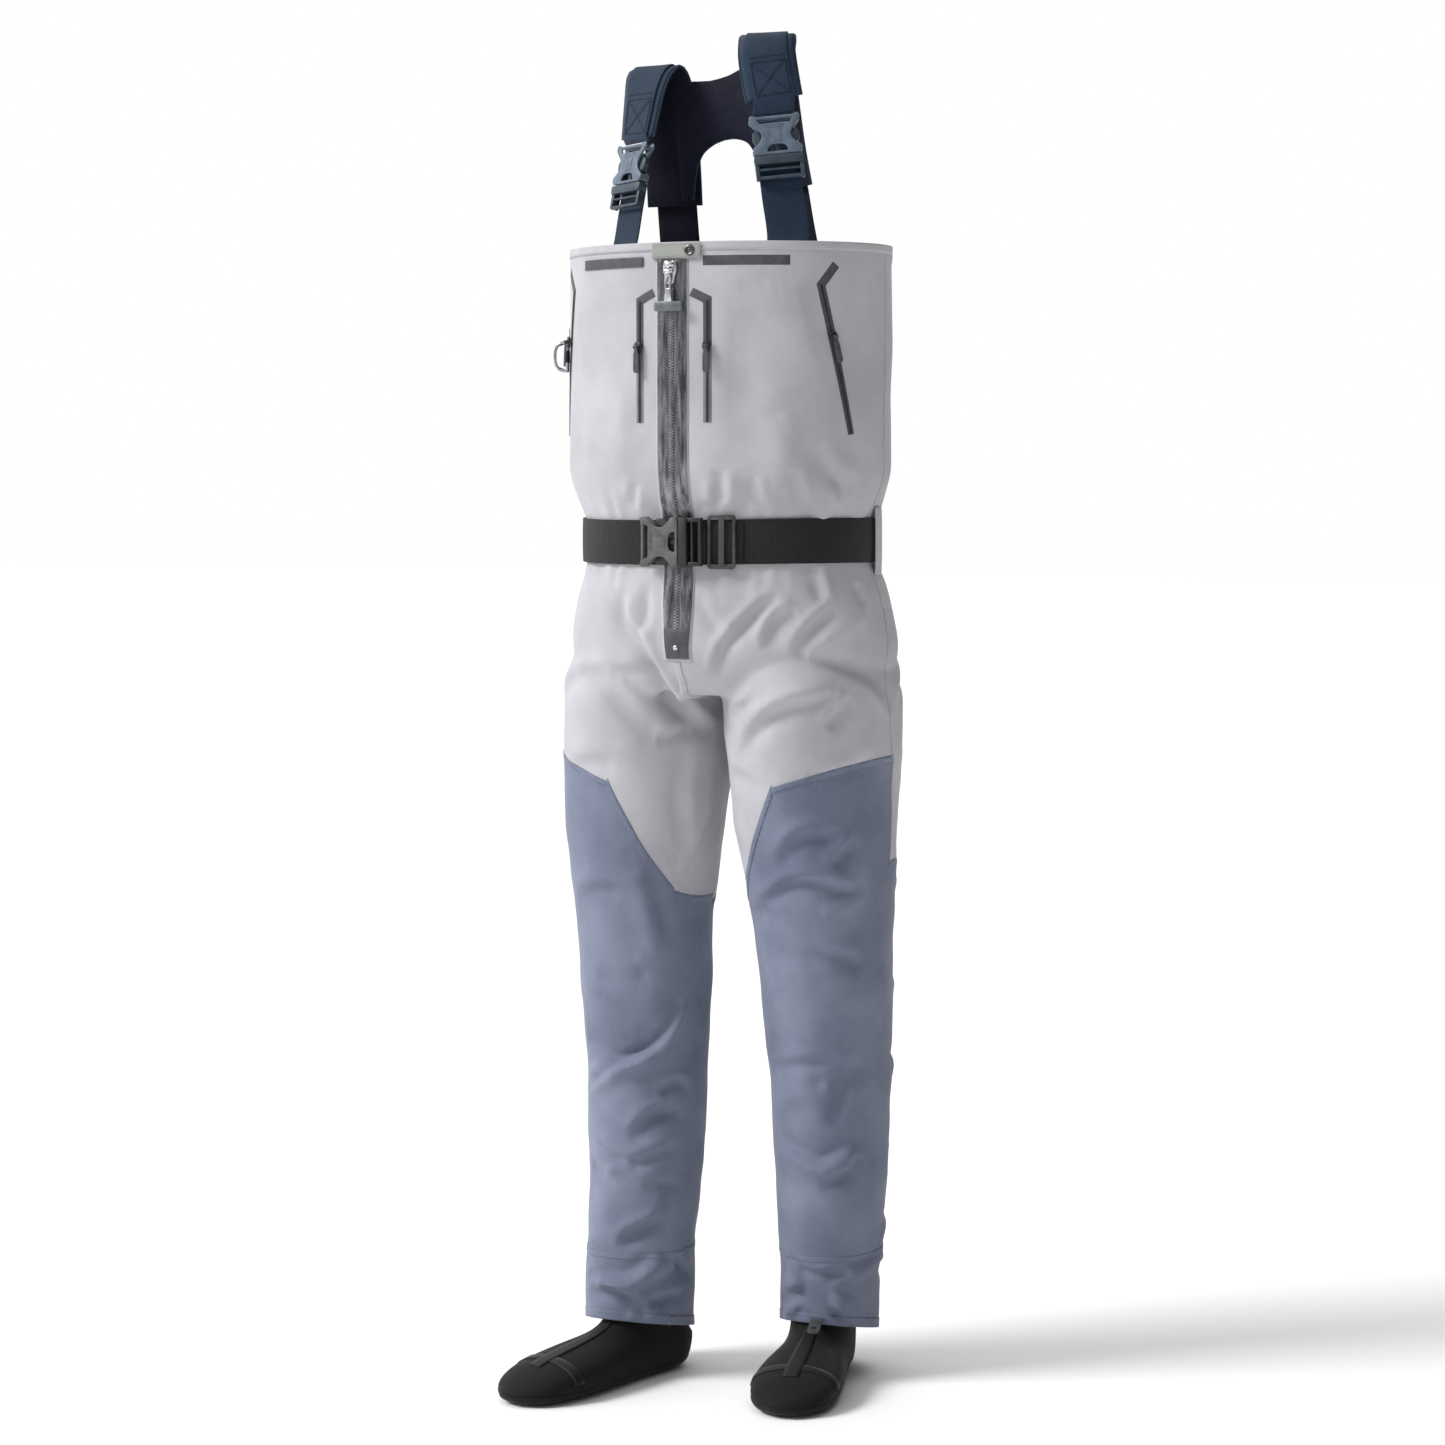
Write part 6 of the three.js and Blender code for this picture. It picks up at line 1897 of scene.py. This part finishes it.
@dataclass
class Ribbon:
    """A flat strap's middle line with its across and face directions, in the wearer's frame."""

    at: np.ndarray
    across: np.ndarray
    normal: np.ndarray

    def refined(self, count: int) -> Ribbon:
        """The same ribbon with evenly spaced rows."""
        line = curve_through(np.hstack([self.at, self.across, self.normal]), count)
        return Ribbon(line[:, :3], unit(line[:, 3:6]), unit(line[:, 6:]))

    def mesh(self, width: float, columns: int = 9, cup: float = 0.0) -> bmesh.types.BMesh:
        """The strap's middle surface; cup is how far its edges curl from its face."""
        share = np.linspace(-1, 1, columns)
        points = (self.at[:, None] + self.across[:, None] * (share * width / 2)[None, :, None]
                  - self.normal[:, None] * (cup * share**2)[None, :, None])
        return grid(BODY.metres(points))

    def spot(self, along: float, across: float, lift: float) -> tuple[np.ndarray, np.ndarray]:
        """A place on the ribbon's face at a distance along it and across it."""
        length = np.concatenate([[0], np.cumsum(np.linalg.norm(np.diff(self.at, axis=0), axis=1))])
        at, side, normal = (np.array([np.interp(along, length, a[:, k]) for k in range(3)])
                            for a in (self.at, self.across, self.normal))
        return at + side * across + normal * lift, unit(normal)


@dataclass
class Harness:
    """Shoulder pads, back panel, webbing straps and side-release buckles."""

    skin: Skin
    crown: float = 222.0
    tilt: float = 17.0
    lean: float = 20.0
    strap: float = 47.0
    strap_thick: float = 1.8
    pad_width: float = 64.0
    pad_thick: float = 5.0
    yaw: float = 28.0
    buckle_above: float = 87.0
    buckle_deep: float = 13.0

    def on(self, x: float, y: float, above: float) -> np.ndarray:
        """A point of the harness: x from the body's middle, y, and height above the hem."""
        share = min(1.0, max(0.0, above / 135))
        return np.array([x - self.lean * max(0.0, above) / self.crown, y,
                         BODY.hem + above + self.tilt / 80 * x * share])

    def axis(self, s: float, above: float) -> np.ndarray:
        """The front strap's line at a height above the hem."""
        t = above / 140
        return self.on(s * (107 - 21.6 * t), -62 + 27.4 * t, above)

    def ribbon(self, points: Sequence[Sequence[float]], s: float, yaws: Sequence[float],
               lift: float = 0.0) -> Ribbon:
        """A ribbon along harness points, leaning out by a yaw at each."""
        at = np.array([self.on(x * s, y, up) for x, y, up in points])
        along = unit(np.array([at[min(len(at) - 1, i + 1)] - at[max(0, i - 1)] for i in range(len(at))]))
        turn = np.radians(np.asarray(yaws)) * s
        across = np.stack([np.cos(turn), np.sin(turn), np.zeros(len(at))], axis=1)
        across = unit(across - along * (across * along).sum(axis=1, keepdims=True))
        normal = -np.cross(along, across)
        return Ribbon(at + normal * lift, across, normal)

    def build(self) -> None:
        """Builds both sides, then the back panel."""
        c = self.crown
        pad_path = [(86, -29, c - 76), (82, -25.5, c - 54), (77, -19, c - 24), (73.5, -8, c - 3),
                    (70, 5, c - 2),
                    (67, 13, c - 20), (66, 17, c - 62), (69, 20, c - 117), (73, 24, c - 162)]
        yaws = [28, 24, 18, 8, 0, -6, -10, -12, -12]
        line = curve_through([(*p, w) for p, w in zip(pad_path, yaws)], 49)
        self.pads = []
        for side in sides():
            self._pad(side, line)
            self._side(side, line)
        self._panel()

    def _pad(self, side: Side, line: np.ndarray) -> None:
        """One foam shoulder pad with a pinched, bound edge."""
        ribbon = self.ribbon(line[:, :3], side.sign, line[:, 3])
        angle = np.linspace(0, 2 * math.pi, 37)
        wide = np.sign(np.cos(angle)) * np.abs(np.cos(angle)) ** 0.75 * self.pad_width / 2
        deep = np.sign(np.sin(angle)) * np.abs(np.sin(angle)) ** 0.6 * self.pad_thick / 2
        swell = 1.0 + 0.1 * np.sin(np.linspace(0, 9 * math.pi, len(line)))
        ends = np.clip(np.minimum(np.arange(len(line)), np.arange(len(line))[::-1]) / 2.5, 0.35, 1) ** 0.5
        points = (ribbon.at[:, None] + ribbon.across[:, None] * wide[None, :, None]
                  + ribbon.normal[:, None] * (deep[None] * (swell * ends)[:, None])[:, :, None])
        points[:, -1] = points[:, 0]
        pad = to_object(f"shoulder_pad_{side.word}", grid(BODY.metres(points), wrap=True, close_ends=True),
                        70)
        nodes = ("yoke",) if side is Side.RIGHT else ()
        settle(pad, MESH_NAVY, "garment", Slot.NAVY_MESH, *nodes)
        shell = Ribbon(ribbon.at[:26], ribbon.across[:26], ribbon.normal[:26])
        cover = to_object(f"pad_cover_{side.word}", Ribbon(
            shell.at + shell.normal * (self.pad_thick / 2 + 0.5), shell.across, shell.normal).mesh(
            self.pad_width - 3, 11, 0.8), 60)
        settle(walled(cover, 0.5, 0.0), PAD_NAVY, "garment", Slot.NAVY_WEB)
        edge = []
        for sign in (-1, 1):
            path = ribbon.at + ribbon.across * sign * (self.pad_width / 2 - 0.6)
            edge.append(wire(path, 1.5, 10))
        settle(to_object(f"pad_binding_{side.word}", placed(merged(*edge), TO_METRES), 60), WEB_NAVY,
               "garment",
               Slot.NAVY_WEB)

    def _side(self, side: Side, line: np.ndarray) -> None:
        """One side's straps and buckle."""
        s = side.sign
        origin = self.axis(s, self.buckle_above)
        up = unit(self.axis(s, self.buckle_above + 40) - origin)
        yaw = math.radians(self.yaw)
        across = np.array([math.cos(yaw), math.sin(yaw) * s, 0.0])
        across = unit(across - up * (across @ up))
        back = np.cross(up, across)
        matrix = local_frame(across, back, up, origin)
        # The male half is the female's slate acetal painted darker as shade; both halves are one material.
        SideRelease(28.5, self.buckle_deep, NYLON_SLATE, NYLON_SLATE_PAINTED_SHADE, Slot.BUCKLE).build(
            f"strap_buckle_female_{side.word}", f"strap_buckle_male_{side.word}",
            f"strap_buckle_male_{side.word}",
            matrix)
        rear = self.buckle_deep / 2 - 1 + 0.4 + self.strap_thick / 2
        inside, outward = BODY.on_trunk(33.3 * s, BODY.hem - 60, -2.2 - 0.4 - self.strap_thick / 2 - 5.5)
        sewn = np.array([-outward[1], outward[0], 0.0])
        low = Ribbon(
            np.array([[*inside[:2], BODY.hem - 80], [*inside[:2], BODY.hem - 62],
                      [*inside[:2], BODY.hem - 46],
                      (self.axis(s, 6) + back * rear + [*inside[:2], BODY.hem - 46]) / 2 - outward * 1.5,
                      self.axis(s, 6) + back * rear,
                      self.axis(s, 50) + back * rear, self.axis(s, self.buckle_above - 4) + back * rear]),
            np.array([sewn, sewn, sewn, (sewn + across) / 2, across, across, across]),
            np.array([outward, outward, outward, (outward - back) / 2, -back, -back, -back]))
        strap = to_object(f"strap_front_{side.word}", low.refined(44).mesh(self.strap, cup=0.5), 60)
        settle(walled(strap, self.strap_thick, 0.0, 0.4), WEB_NAVY, "garment", Slot.NAVY_WEB,
               f"strap_lower_{side.word}")
        bulge = 1.2 if s < 0 else 0.6
        lift = self.pad_thick / 2 + 0.4 + self.strap_thick / 2 + bulge
        top = self.ribbon(line[:19, :3], s, line[:19, 3], lift)
        bar = origin + up * 49 + back * 1.5
        upper = Ribbon(np.vstack([bar[None], top.at]), np.vstack([across[None], top.across]),
                       np.vstack([-back[None], top.normal])).refined(50)
        strap = to_object(f"strap_shoulder_{side.word}", upper.mesh(self.strap, cup=0.4), 60)
        settle(walled(strap, self.strap_thick, 0.0, 0.4), WEB_NAVY, "garment", Slot.NAVY_WEB,
               f"strap_upper_{side.word}")
        start = float(np.linalg.norm(top.at[0] - bar)) + 4
        half = self.strap / 2 - 4
        box = [(start, -half), (start, half), (start + 40, half), (start + 40, -half), (start, -half)]
        cross = [[(start, -half), (start + 40, half)], [(start, half), (start + 40, -half)]]
        stitches = stitched(f"box_stitching_{side.word}", lambda u, v: upper.spot(u, v, 1.15),
                            [box, *cross, [(start + 46, -half), (start + 46, half)]], 4.0, 1.0)
        settle(stitches, STITCH, "garment", Slot.NAVY_WEB)
        c = self.crown
        rear_line = self.ribbon([(71.6, 28.6, c - 146), (73.1, 29.6, c - 163.3), (78, 38, c - 222),
                                 (84, 62, c - 262), (88, 88, c - 300)], s,
                                [-12, -12, -14, -18, -22])
        place, behind = BODY.on_trunk(152 * s, BODY.hem - 60, -2.2 - 0.4 - self.strap_thick / 2 - 2.2)
        low_edge = BODY.hem - BODY.back_dip * 0.95
        side_way = np.array([behind[1], -behind[0], 0.0])
        back_ribbon = Ribbon(
            np.vstack([rear_line.at, [[*place[:2], low_edge - 4]], [[*place[:2], low_edge - 40]]]),
            np.vstack([rear_line.across, side_way[None], side_way[None]]),
            np.vstack([rear_line.normal, behind[None], behind[None]]))
        strap = to_object(f"strap_rear_{side.word}", back_ribbon.refined(60).mesh(self.strap, cup=0.3), 60)
        settle(walled(strap, self.strap_thick, 0.0, 0.4), MESH_NAVY, "garment", Slot.NAVY_MESH,
               f"strap_back_{side.word}")

    def _panel(self) -> None:
        """The back panel that bridges the pads, with an arched lower edge."""
        c = self.crown
        half = [(0, c - 95), (14, c - 97), (28, c - 104), (36, c - 116), (41, c - 132), (46, c - 158),
                (60, c - 158),
                (60, c - 62), (54, c - 14), (40, c - 19), (28, c - 22), (12, c - 25.5), (0, c - 26)]
        outline = [*half, *((-x, up) for x, up in reversed(half[1:-1]))]
        flat = [(p[0], p[2]) for p in (self.on(x, 0, up) for x, up in outline)]
        bm = plate(flat, 15.0, 15.0 + self.pad_thick, bevel=1.8)
        panel = to_object("back_panel_pad", placed(bm, TO_METRES), 60)
        settle(panel, MESH_NAVY, "garment", Slot.NAVY_MESH)
        path = np.array([self.on(x, 14.6, up) for x, up in outline[:6]] )
        left = curve_through(path, 30)
        path = np.array([self.on(-x, 14.6, up) for x, up in outline[:6]])
        right = curve_through(path, 30)
        binding = merged(wire(left + [0, 2.8, 0], 1.6, 10), wire(right + [0, 2.8, 0], 1.6, 10))
        settle(to_object("back_panel_binding", placed(binding, TO_METRES), 60), WEB_NAVY, "garment",
               Slot.NAVY_WEB)


@dataclass
class SideRelease:
    """A side-release buckle: an X-shaped female half over a darker male half with a ladder; the belt's male
    half is black nylon, the straps' male half is the female's slate painted darker as shade.
    """

    half: float
    deep: float
    female: Moulded
    male: Moulded
    slot: Slot
    male_slot: Slot | None = None

    def build(self, female_body: str, male_body: str, male_node: str, matrix: Matrix) -> None:
        """Builds both halves in the buckle's frame: z along the strap, -y the face.

        Args:
            female_body: Node of the female half.
            male_body: Body that the male half rides on.
            male_node: Node of the male half.
            matrix: From local millimetres to the part's frame.
        """
        w, d = self.half, self.deep / 2
        edge = [(w - 3.5, 0), (w - 0.8, 3), (w - 0.6, 8), (w * 0.74, 13.5), (w * 0.6, 18), (w * 0.58, 23),
                (w * 0.66, 29), (w * 0.84, 34.5), (w, 40), (w, 44.5), (w - 2.5, 47), (w - 5.5,
                    45.8), (w * 0.7, 44.8)]
        outline = mirrored(edge)
        window = [(-w * 0.62, 36.6), (w * 0.62, 36.6), (w * 0.7, 41.6), (-w * 0.7, 41.6)]
        arch = [(-w * 0.42, 3.4), (w * 0.42, 3.4), (w * 0.34, 9.5), (w * 0.16, 11.5), (-w * 0.16, 11.5),
                (-w * 0.34, 9.5)]
        top = plate(outline, -d, -d + 3.0, [window, arch], 1.0)
        floor = plate(outline, d - 2.4, d, [window], 0.8)
        walls = [block(*sorted((s * (w - 4.2), s * (w - 1.2))), -d + 2.4, d - 1.8, 1.2, 9,
                       0.5) for s in (-1, 1)]
        roof = block(-w * 0.55, w * 0.55, -d + 2.4, d - 1.8, 29.5, 35.5, 0.6)
        bar = rod((-w * 0.72, 0.4, 43.6), (w * 0.72, 0.4, 43.6), 2.3, 14)
        rib = block(-w * 0.2, w * 0.2, -d - 0.7, -d + 0.6, 14.5, 30, 0.6)
        ticks = [block(-w * 0.34, w * 0.34, -d - 0.5, -d + 0.6, z, z + 1.5, 0.4) for z in (31.5, 34.0)]
        made = to_object(f"{female_body}_shell",
                         placed(merged(top, floor, *walls, roof, bar, rib, *ticks), matrix))
        slot = self.slot
        body = female_body if female_body in BODIES else "garment"
        settle(made, self.female, body, slot, female_body)
        prong = [(w * 0.3, 0), (w * 0.5, 0), (w * 0.62, 10), (w * 0.86, 15), (w * 0.93, 20), (w * 0.92, 27),
                 (w * 0.78, 30), (w * 0.6, 27.5), (w * 0.5, 14)]
        arms = [plate([(s * x, z) for x, z in prong], -d + 4.0, d - 3.2, bevel=0.7) for s in (-1, 1)]
        guide = block(-2.6, 2.6, -2.2, 2.4, -2, 22, 0.5)
        base = plate([(w - 1, -0.8), (w - 0.5, -4), (w - 1.5, -11), (-w + 1.5, -11), (-w + 0.5, -4),
                      (-w + 1, -0.8)],
                     -d + 0.2, d - 1.0, bevel=1.2)
        rails = [block(*sorted((s * (w - 5.8), s * (w - 1.2))), -d + 2, d - 1, -27.4, -10,
                       0.9) for s in (-1, 1)]
        rungs = [rod((-w + 3, -d + 4.4, z), (w - 3, -d + 4.4, z), r, 12) for z,
                 r in ((-16.4, 1.7), (-26, 2.3))]
        made = to_object(f"{male_node}_frame", placed(merged(*arms, guide, base, *rails, *rungs), matrix))
        settle(made, self.male, male_body, self.male_slot or slot, male_node)


@dataclass
class Belt:
    """Wading belt with its clasp, tri-glide, doubled webbing and three loops."""

    skin: Skin
    width: float = 50.0
    thick: float = 2.0
    gap: float = 3.9
    clasp_at: float = 2.5
    glide_at: float = 18.0

    def frame_at(self, degrees: float, lift: float) -> Matrix:
        """Local frame on the belt: x up, z towards the wearer's right, -y the face."""
        at, normal = BODY.on_trunk(degrees, BODY.waist, lift)
        up = np.array([0.0, 0.0, 1.0])
        right = np.array([normal[1], -normal[0], 0.0])
        return local_frame(up, np.cross(right, up), right, at)

    def _band(self, name: str, start: float, end: float, lift: float, thick: float, width: float, wave: float,
              finish: Cloth, *nodes: str) -> bpy.types.Object:
        """A length of webbing round the waist.

        Args:
            name: Piece name.
            start: First angle in degrees.
            end: Last angle.
            lift: Distance of its middle from the waist.
            thick: Its thickness.
            width: Its width.
            wave: Height of its slow rise and fall.
            finish: Finish of the webbing.
            *nodes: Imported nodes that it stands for.

        Returns:
            The webbing.
        """
        rows = max(8, int(abs(end - start) / 2))
        points = []
        for deg in np.linspace(start, end, rows):
            rise = wave * math.sin(math.radians(deg) * 2 - 0.6)
            row = []
            for share in np.linspace(-1, 1, 9):
                point, normal = BODY.on_trunk(deg, BODY.waist, lift)
                row.append(point + normal * 0.5 * (1 - share**2) + np.array([0, 0, rise + share * width / 2]))
            points.append(row)
        band = to_object(name, grid(BODY.metres(np.array(points))), 60)
        return settle(walled(band, thick, 0.0, 0.5), finish, "garment", Slot.BLACK_WEB, *nodes)

    def build(self) -> None:
        """Builds the webbing, the hardware and the loops."""
        self._band("belt_webbing", 2, 354, self.gap + self.thick / 2 - 0.3, self.thick - 0.4, self.width,
                   1.2, WEB_BLACK,
                   "belt")
        over = self.gap + self.thick + 0.6
        self._band("belt_doubled", 11.5, 26, over, 1.0, self.width - 2, 0.3, WEB_BLACK)
        for k, deg in enumerate((10.6, 12.6)):
            self._band(f"belt_turn_{k}", deg, deg + 1.5, over + 0.9, 1.6, self.width - 1, 0.2, WEB_BLACK)
        clasp = self.frame_at(self.clasp_at, self.gap + self.thick + 0.7 + 6)
        SideRelease(28.0, 12.0, NYLON_GREY, NYLON_BLACK, Slot.GREY_NYLON, Slot.BLACK_NYLON).build(
            "belt_buckle_female", "belt_buckle_male", "belt_buckle_male", clasp)
        glide = self.frame_at(self.glide_at, self.gap + self.thick + 0.7 + 1.8)
        tall = self.width / 2 + 5
        outline = [(-tall, -14), (-tall + 3, -16), (tall - 3, -16), (tall, -14), (tall, 14), (tall - 3, 16),
                   (-tall + 3, 16), (-tall, 14)]
        slots = [[(-26, z), (26, z), (26, z + 9), (-26, z + 9)] for z in (-12.4, 3.4)]
        bars = plate(outline, -1.8, 1.8, slots, 0.9)
        settle(to_object("tri_glide", placed(bars, glide)), TRI_GLIDE, "belt_triglide", Slot.BLACK_NYLON,
               "belt_triglide")
        for name, deg in (("right", -97.0), ("left", 97.0), ("back", 180.0)):
            self._loop(name, deg)

    def _loop(self, name: str, degrees: float) -> None:
        """An upright belt loop, sewn above and below the belt."""
        low, high = BODY.waist - 38, BODY.waist + 38
        _, normal = BODY.on_trunk(degrees, BODY.waist)
        across = np.array([-normal[1], normal[0], 0.0])
        reach = max(float(BODY.on_trunk(degrees, z)[0] @ normal) for z in np.linspace(low, high, 40))
        reach = max(reach, float(BODY.on_trunk(degrees, BODY.waist, self.gap + self.thick)[0] @ normal))
        base = BODY.on_trunk(degrees, BODY.waist)[0]
        rows = []
        for z in np.linspace(low, high, 18):
            share = (z - BODY.waist) / 38
            bow = reach + 0.8 - base @ normal + 0.8 * (1 - share**4)
            rows.append([base + normal * bow + across * k * 13 + np.array([0, 0, z - BODY.waist])
                         for k in np.linspace(-1, 1, 5)])
        loop = to_object(f"loop_{name}", grid(BODY.metres(np.array(rows))), 60)
        settle(walled(loop, 1.4, 0.0, 0.4), LAMINATE_GREY, "garment", Slot.GREY, f"belt_loop_{name}")


@dataclass
class GuardHooks:
    """Boot-lace hooks of the gravel guards: the left one out, the right one tucked inside."""

    wide: float = 14.0
    long: float = 28.0

    def build(self) -> None:
        """Builds both hooks."""
        for side in sides():
            z = 74.0 if side is Side.LEFT else 100.0
            x, y, _, d, turn = (float(v) for v in BODY.section(BODY.leg(side), z))
            place = TO_METRES @ Matrix.Translation((x, y, 0)) @ Matrix.Rotation(turn, 4, "Z")
            w = self.wide / 2
            if side is Side.LEFT:
                place = place @ Matrix.Translation((0, -d - 2.6, 79.0)) @ Matrix.Rotation(-math.radians(70),
                    4, "X")
                hook = merged(
                    plate([(-w, 0), (-w, -24), (-w + 3, -self.long), (w - 3, -self.long), (w, -24), (w, 0)],
                          -1, 1,
                          [[(-3, -19), (3, -19), (3, -15), (-3, -15)]], 0.4),
                    rod((-w, 0, 0), (w, 0, 0), 1.8, 14))
                body = "guard_hook_left"
            else:
                inner = -d + 2.2 + 0.4 + 1.6
                hook = plate([(-w, 84 + self.long), (-w, 87), (-w + 3, 84), (w - 3, 84), (w, 87),
                              (w, 84 + self.long)],
                             inner, inner + 2, bevel=0.4)
                body = "garment"
            made = to_object(f"lace_hook_{side.word}", placed(hook, place))
            settle(made, HOOK_GREY, body, Slot.BLACK_NYLON, f"guard_hook_{side.word}")


def assemblies(skin: Skin) -> list:
    """Every sub-assembly, in building order."""
    return [Studio(), Garment(skin), Feet(skin), FrontZip(skin), ChestTapes(skin), SideRing(skin),
            Harness(skin),
            Belt(skin), GuardHooks()]


# ---- studio ----------------------------------------------------------------------------------


@dataclass
class Studio:
    """A pale paper floor, soft boxes and a long lens."""

    lens: float = 86.6
    pitch: float = 4.1
    key: float = 2.6

    def build(self) -> None:
        """Sets up paper, lights, world and camera."""
        self._paper()
        self._lights()
        self._camera()
        scene = bpy.context.scene
        scene.view_settings.view_transform = "Standard"

    def _paper(self) -> None:
        """The floor."""
        bm = bmesh.new()
        bmesh.ops.create_grid(bm, x_segments=8, y_segments=8, size=30.0)
        floor = to_object("paper_floor", bm)
        r = Recipe("matt_paper")
        place = r.add("ShaderNodeTexCoord")
        tooth = r.add("ShaderNodeTexNoise", {"Vector": place.outputs["Object"]},
                      {"Scale": blobs_per_metre(4.0), "Detail": 2.0})
        r.feed("Base Color", r.ramp(tooth.outputs["Fac"], [(0.2, "fbfbfb"), (0.8, "fdfdfd")]))
        r.fix(Roughness=0.9, Specular_IOR_Level=0.1)
        floor.data.materials.append(r.material)

    def _lights(self) -> None:
        """A white backdrop and left wall, a dim right wall, a large key from the left and a top light."""
        world = bpy.data.worlds.new("studio_air")
        world.use_nodes = True
        tree = world.node_tree
        air = tree.nodes["Background"]
        place = tree.nodes.new("ShaderNodeTexCoord")
        shares = []
        for toward, near, far, dark in ((FRONT.right, 0.22, 0.55, 0.04), (FRONT.back, 0.1, 0.7, 0.46)):
            dot = tree.nodes.new("ShaderNodeVectorMath")
            dot.operation = "DOT_PRODUCT"
            dot.inputs[1].default_value = tuple(float(v) for v in toward)
            tree.links.new(place.outputs["Generated"], dot.inputs[0])
            fall = tree.nodes.new("ShaderNodeMapRange")
            fall.interpolation_type = "SMOOTHSTEP"
            for socket, value in zip(("From Min", "From Max", "To Min", "To Max"), (near, far, 1.0, dark)):
                fall.inputs[socket].default_value = value
            tree.links.new(dot.outputs["Value"], fall.inputs["Value"])
            shares.append(fall)
        both = tree.nodes.new("ShaderNodeMath")
        both.operation = "MULTIPLY"
        for k, fall in enumerate(shares):
            tree.links.new(fall.outputs["Result"], both.inputs[k])
        tree.links.new(both.outputs["Value"], air.inputs["Strength"])
        air.inputs["Color"].default_value = (1.0, 1.0, 1.0, 1.0)
        bpy.context.scene.world = world
        place = Vector((0.2, 0.6, 4.2))
        lamp = bpy.data.lights.new("top", "AREA")
        lamp.energy = 12.0
        lamp.size = 2.4
        holder = bpy.data.objects.new("top", lamp)
        holder.location = place
        holder.rotation_euler = (Vector((0, 0, 0.75)) - place).to_track_quat("-Z", "Y").to_euler()
        bpy.context.scene.collection.objects.link(holder)
        key = bpy.data.lights.new("key", "SUN")
        key.energy = self.key
        key.angle = math.radians(22)
        holder = bpy.data.objects.new("key", key)
        toward = Vector(FRONT.right) * -0.86 + Vector(FRONT.back) * 0.24 + Vector((0, 0, 0.72))
        holder.rotation_euler = toward.to_track_quat("Z", "Y").to_euler()
        bpy.context.scene.collection.objects.link(holder)

    def _camera(self) -> None:
        """The camera at the stand in front, a little to the wearer's left."""
        lens = bpy.data.cameras.new("camera")
        lens.lens = self.lens
        lens.sensor_width = 36.0
        camera = bpy.data.objects.new("camera", lens)
        camera.location = Vector(BODY.metres(FRONT.eye))
        level = Vector(-FRONT.back)
        aim = level * math.cos(math.radians(self.pitch)) + Vector((0, 0, -math.sin(math.radians(self.pitch))))
        aim = aim - Vector(FRONT.right) * (4.5 / 3478)
        camera.rotation_euler = aim.to_track_quat("-Z", "Y").to_euler()
        bpy.context.scene.collection.objects.link(camera)
        bpy.context.scene.camera = camera


def main() -> None:
    """Builds the waders' sub-assemblies in order, then the studio."""
    logging.basicConfig(level=logging.INFO, format="%(message)s")
    skin = Skin()
    for assembly in assemblies(skin):
        LOG.info("== %s", type(assembly).__name__)
        assembly.build()


if __name__ == "__main__":
    main()
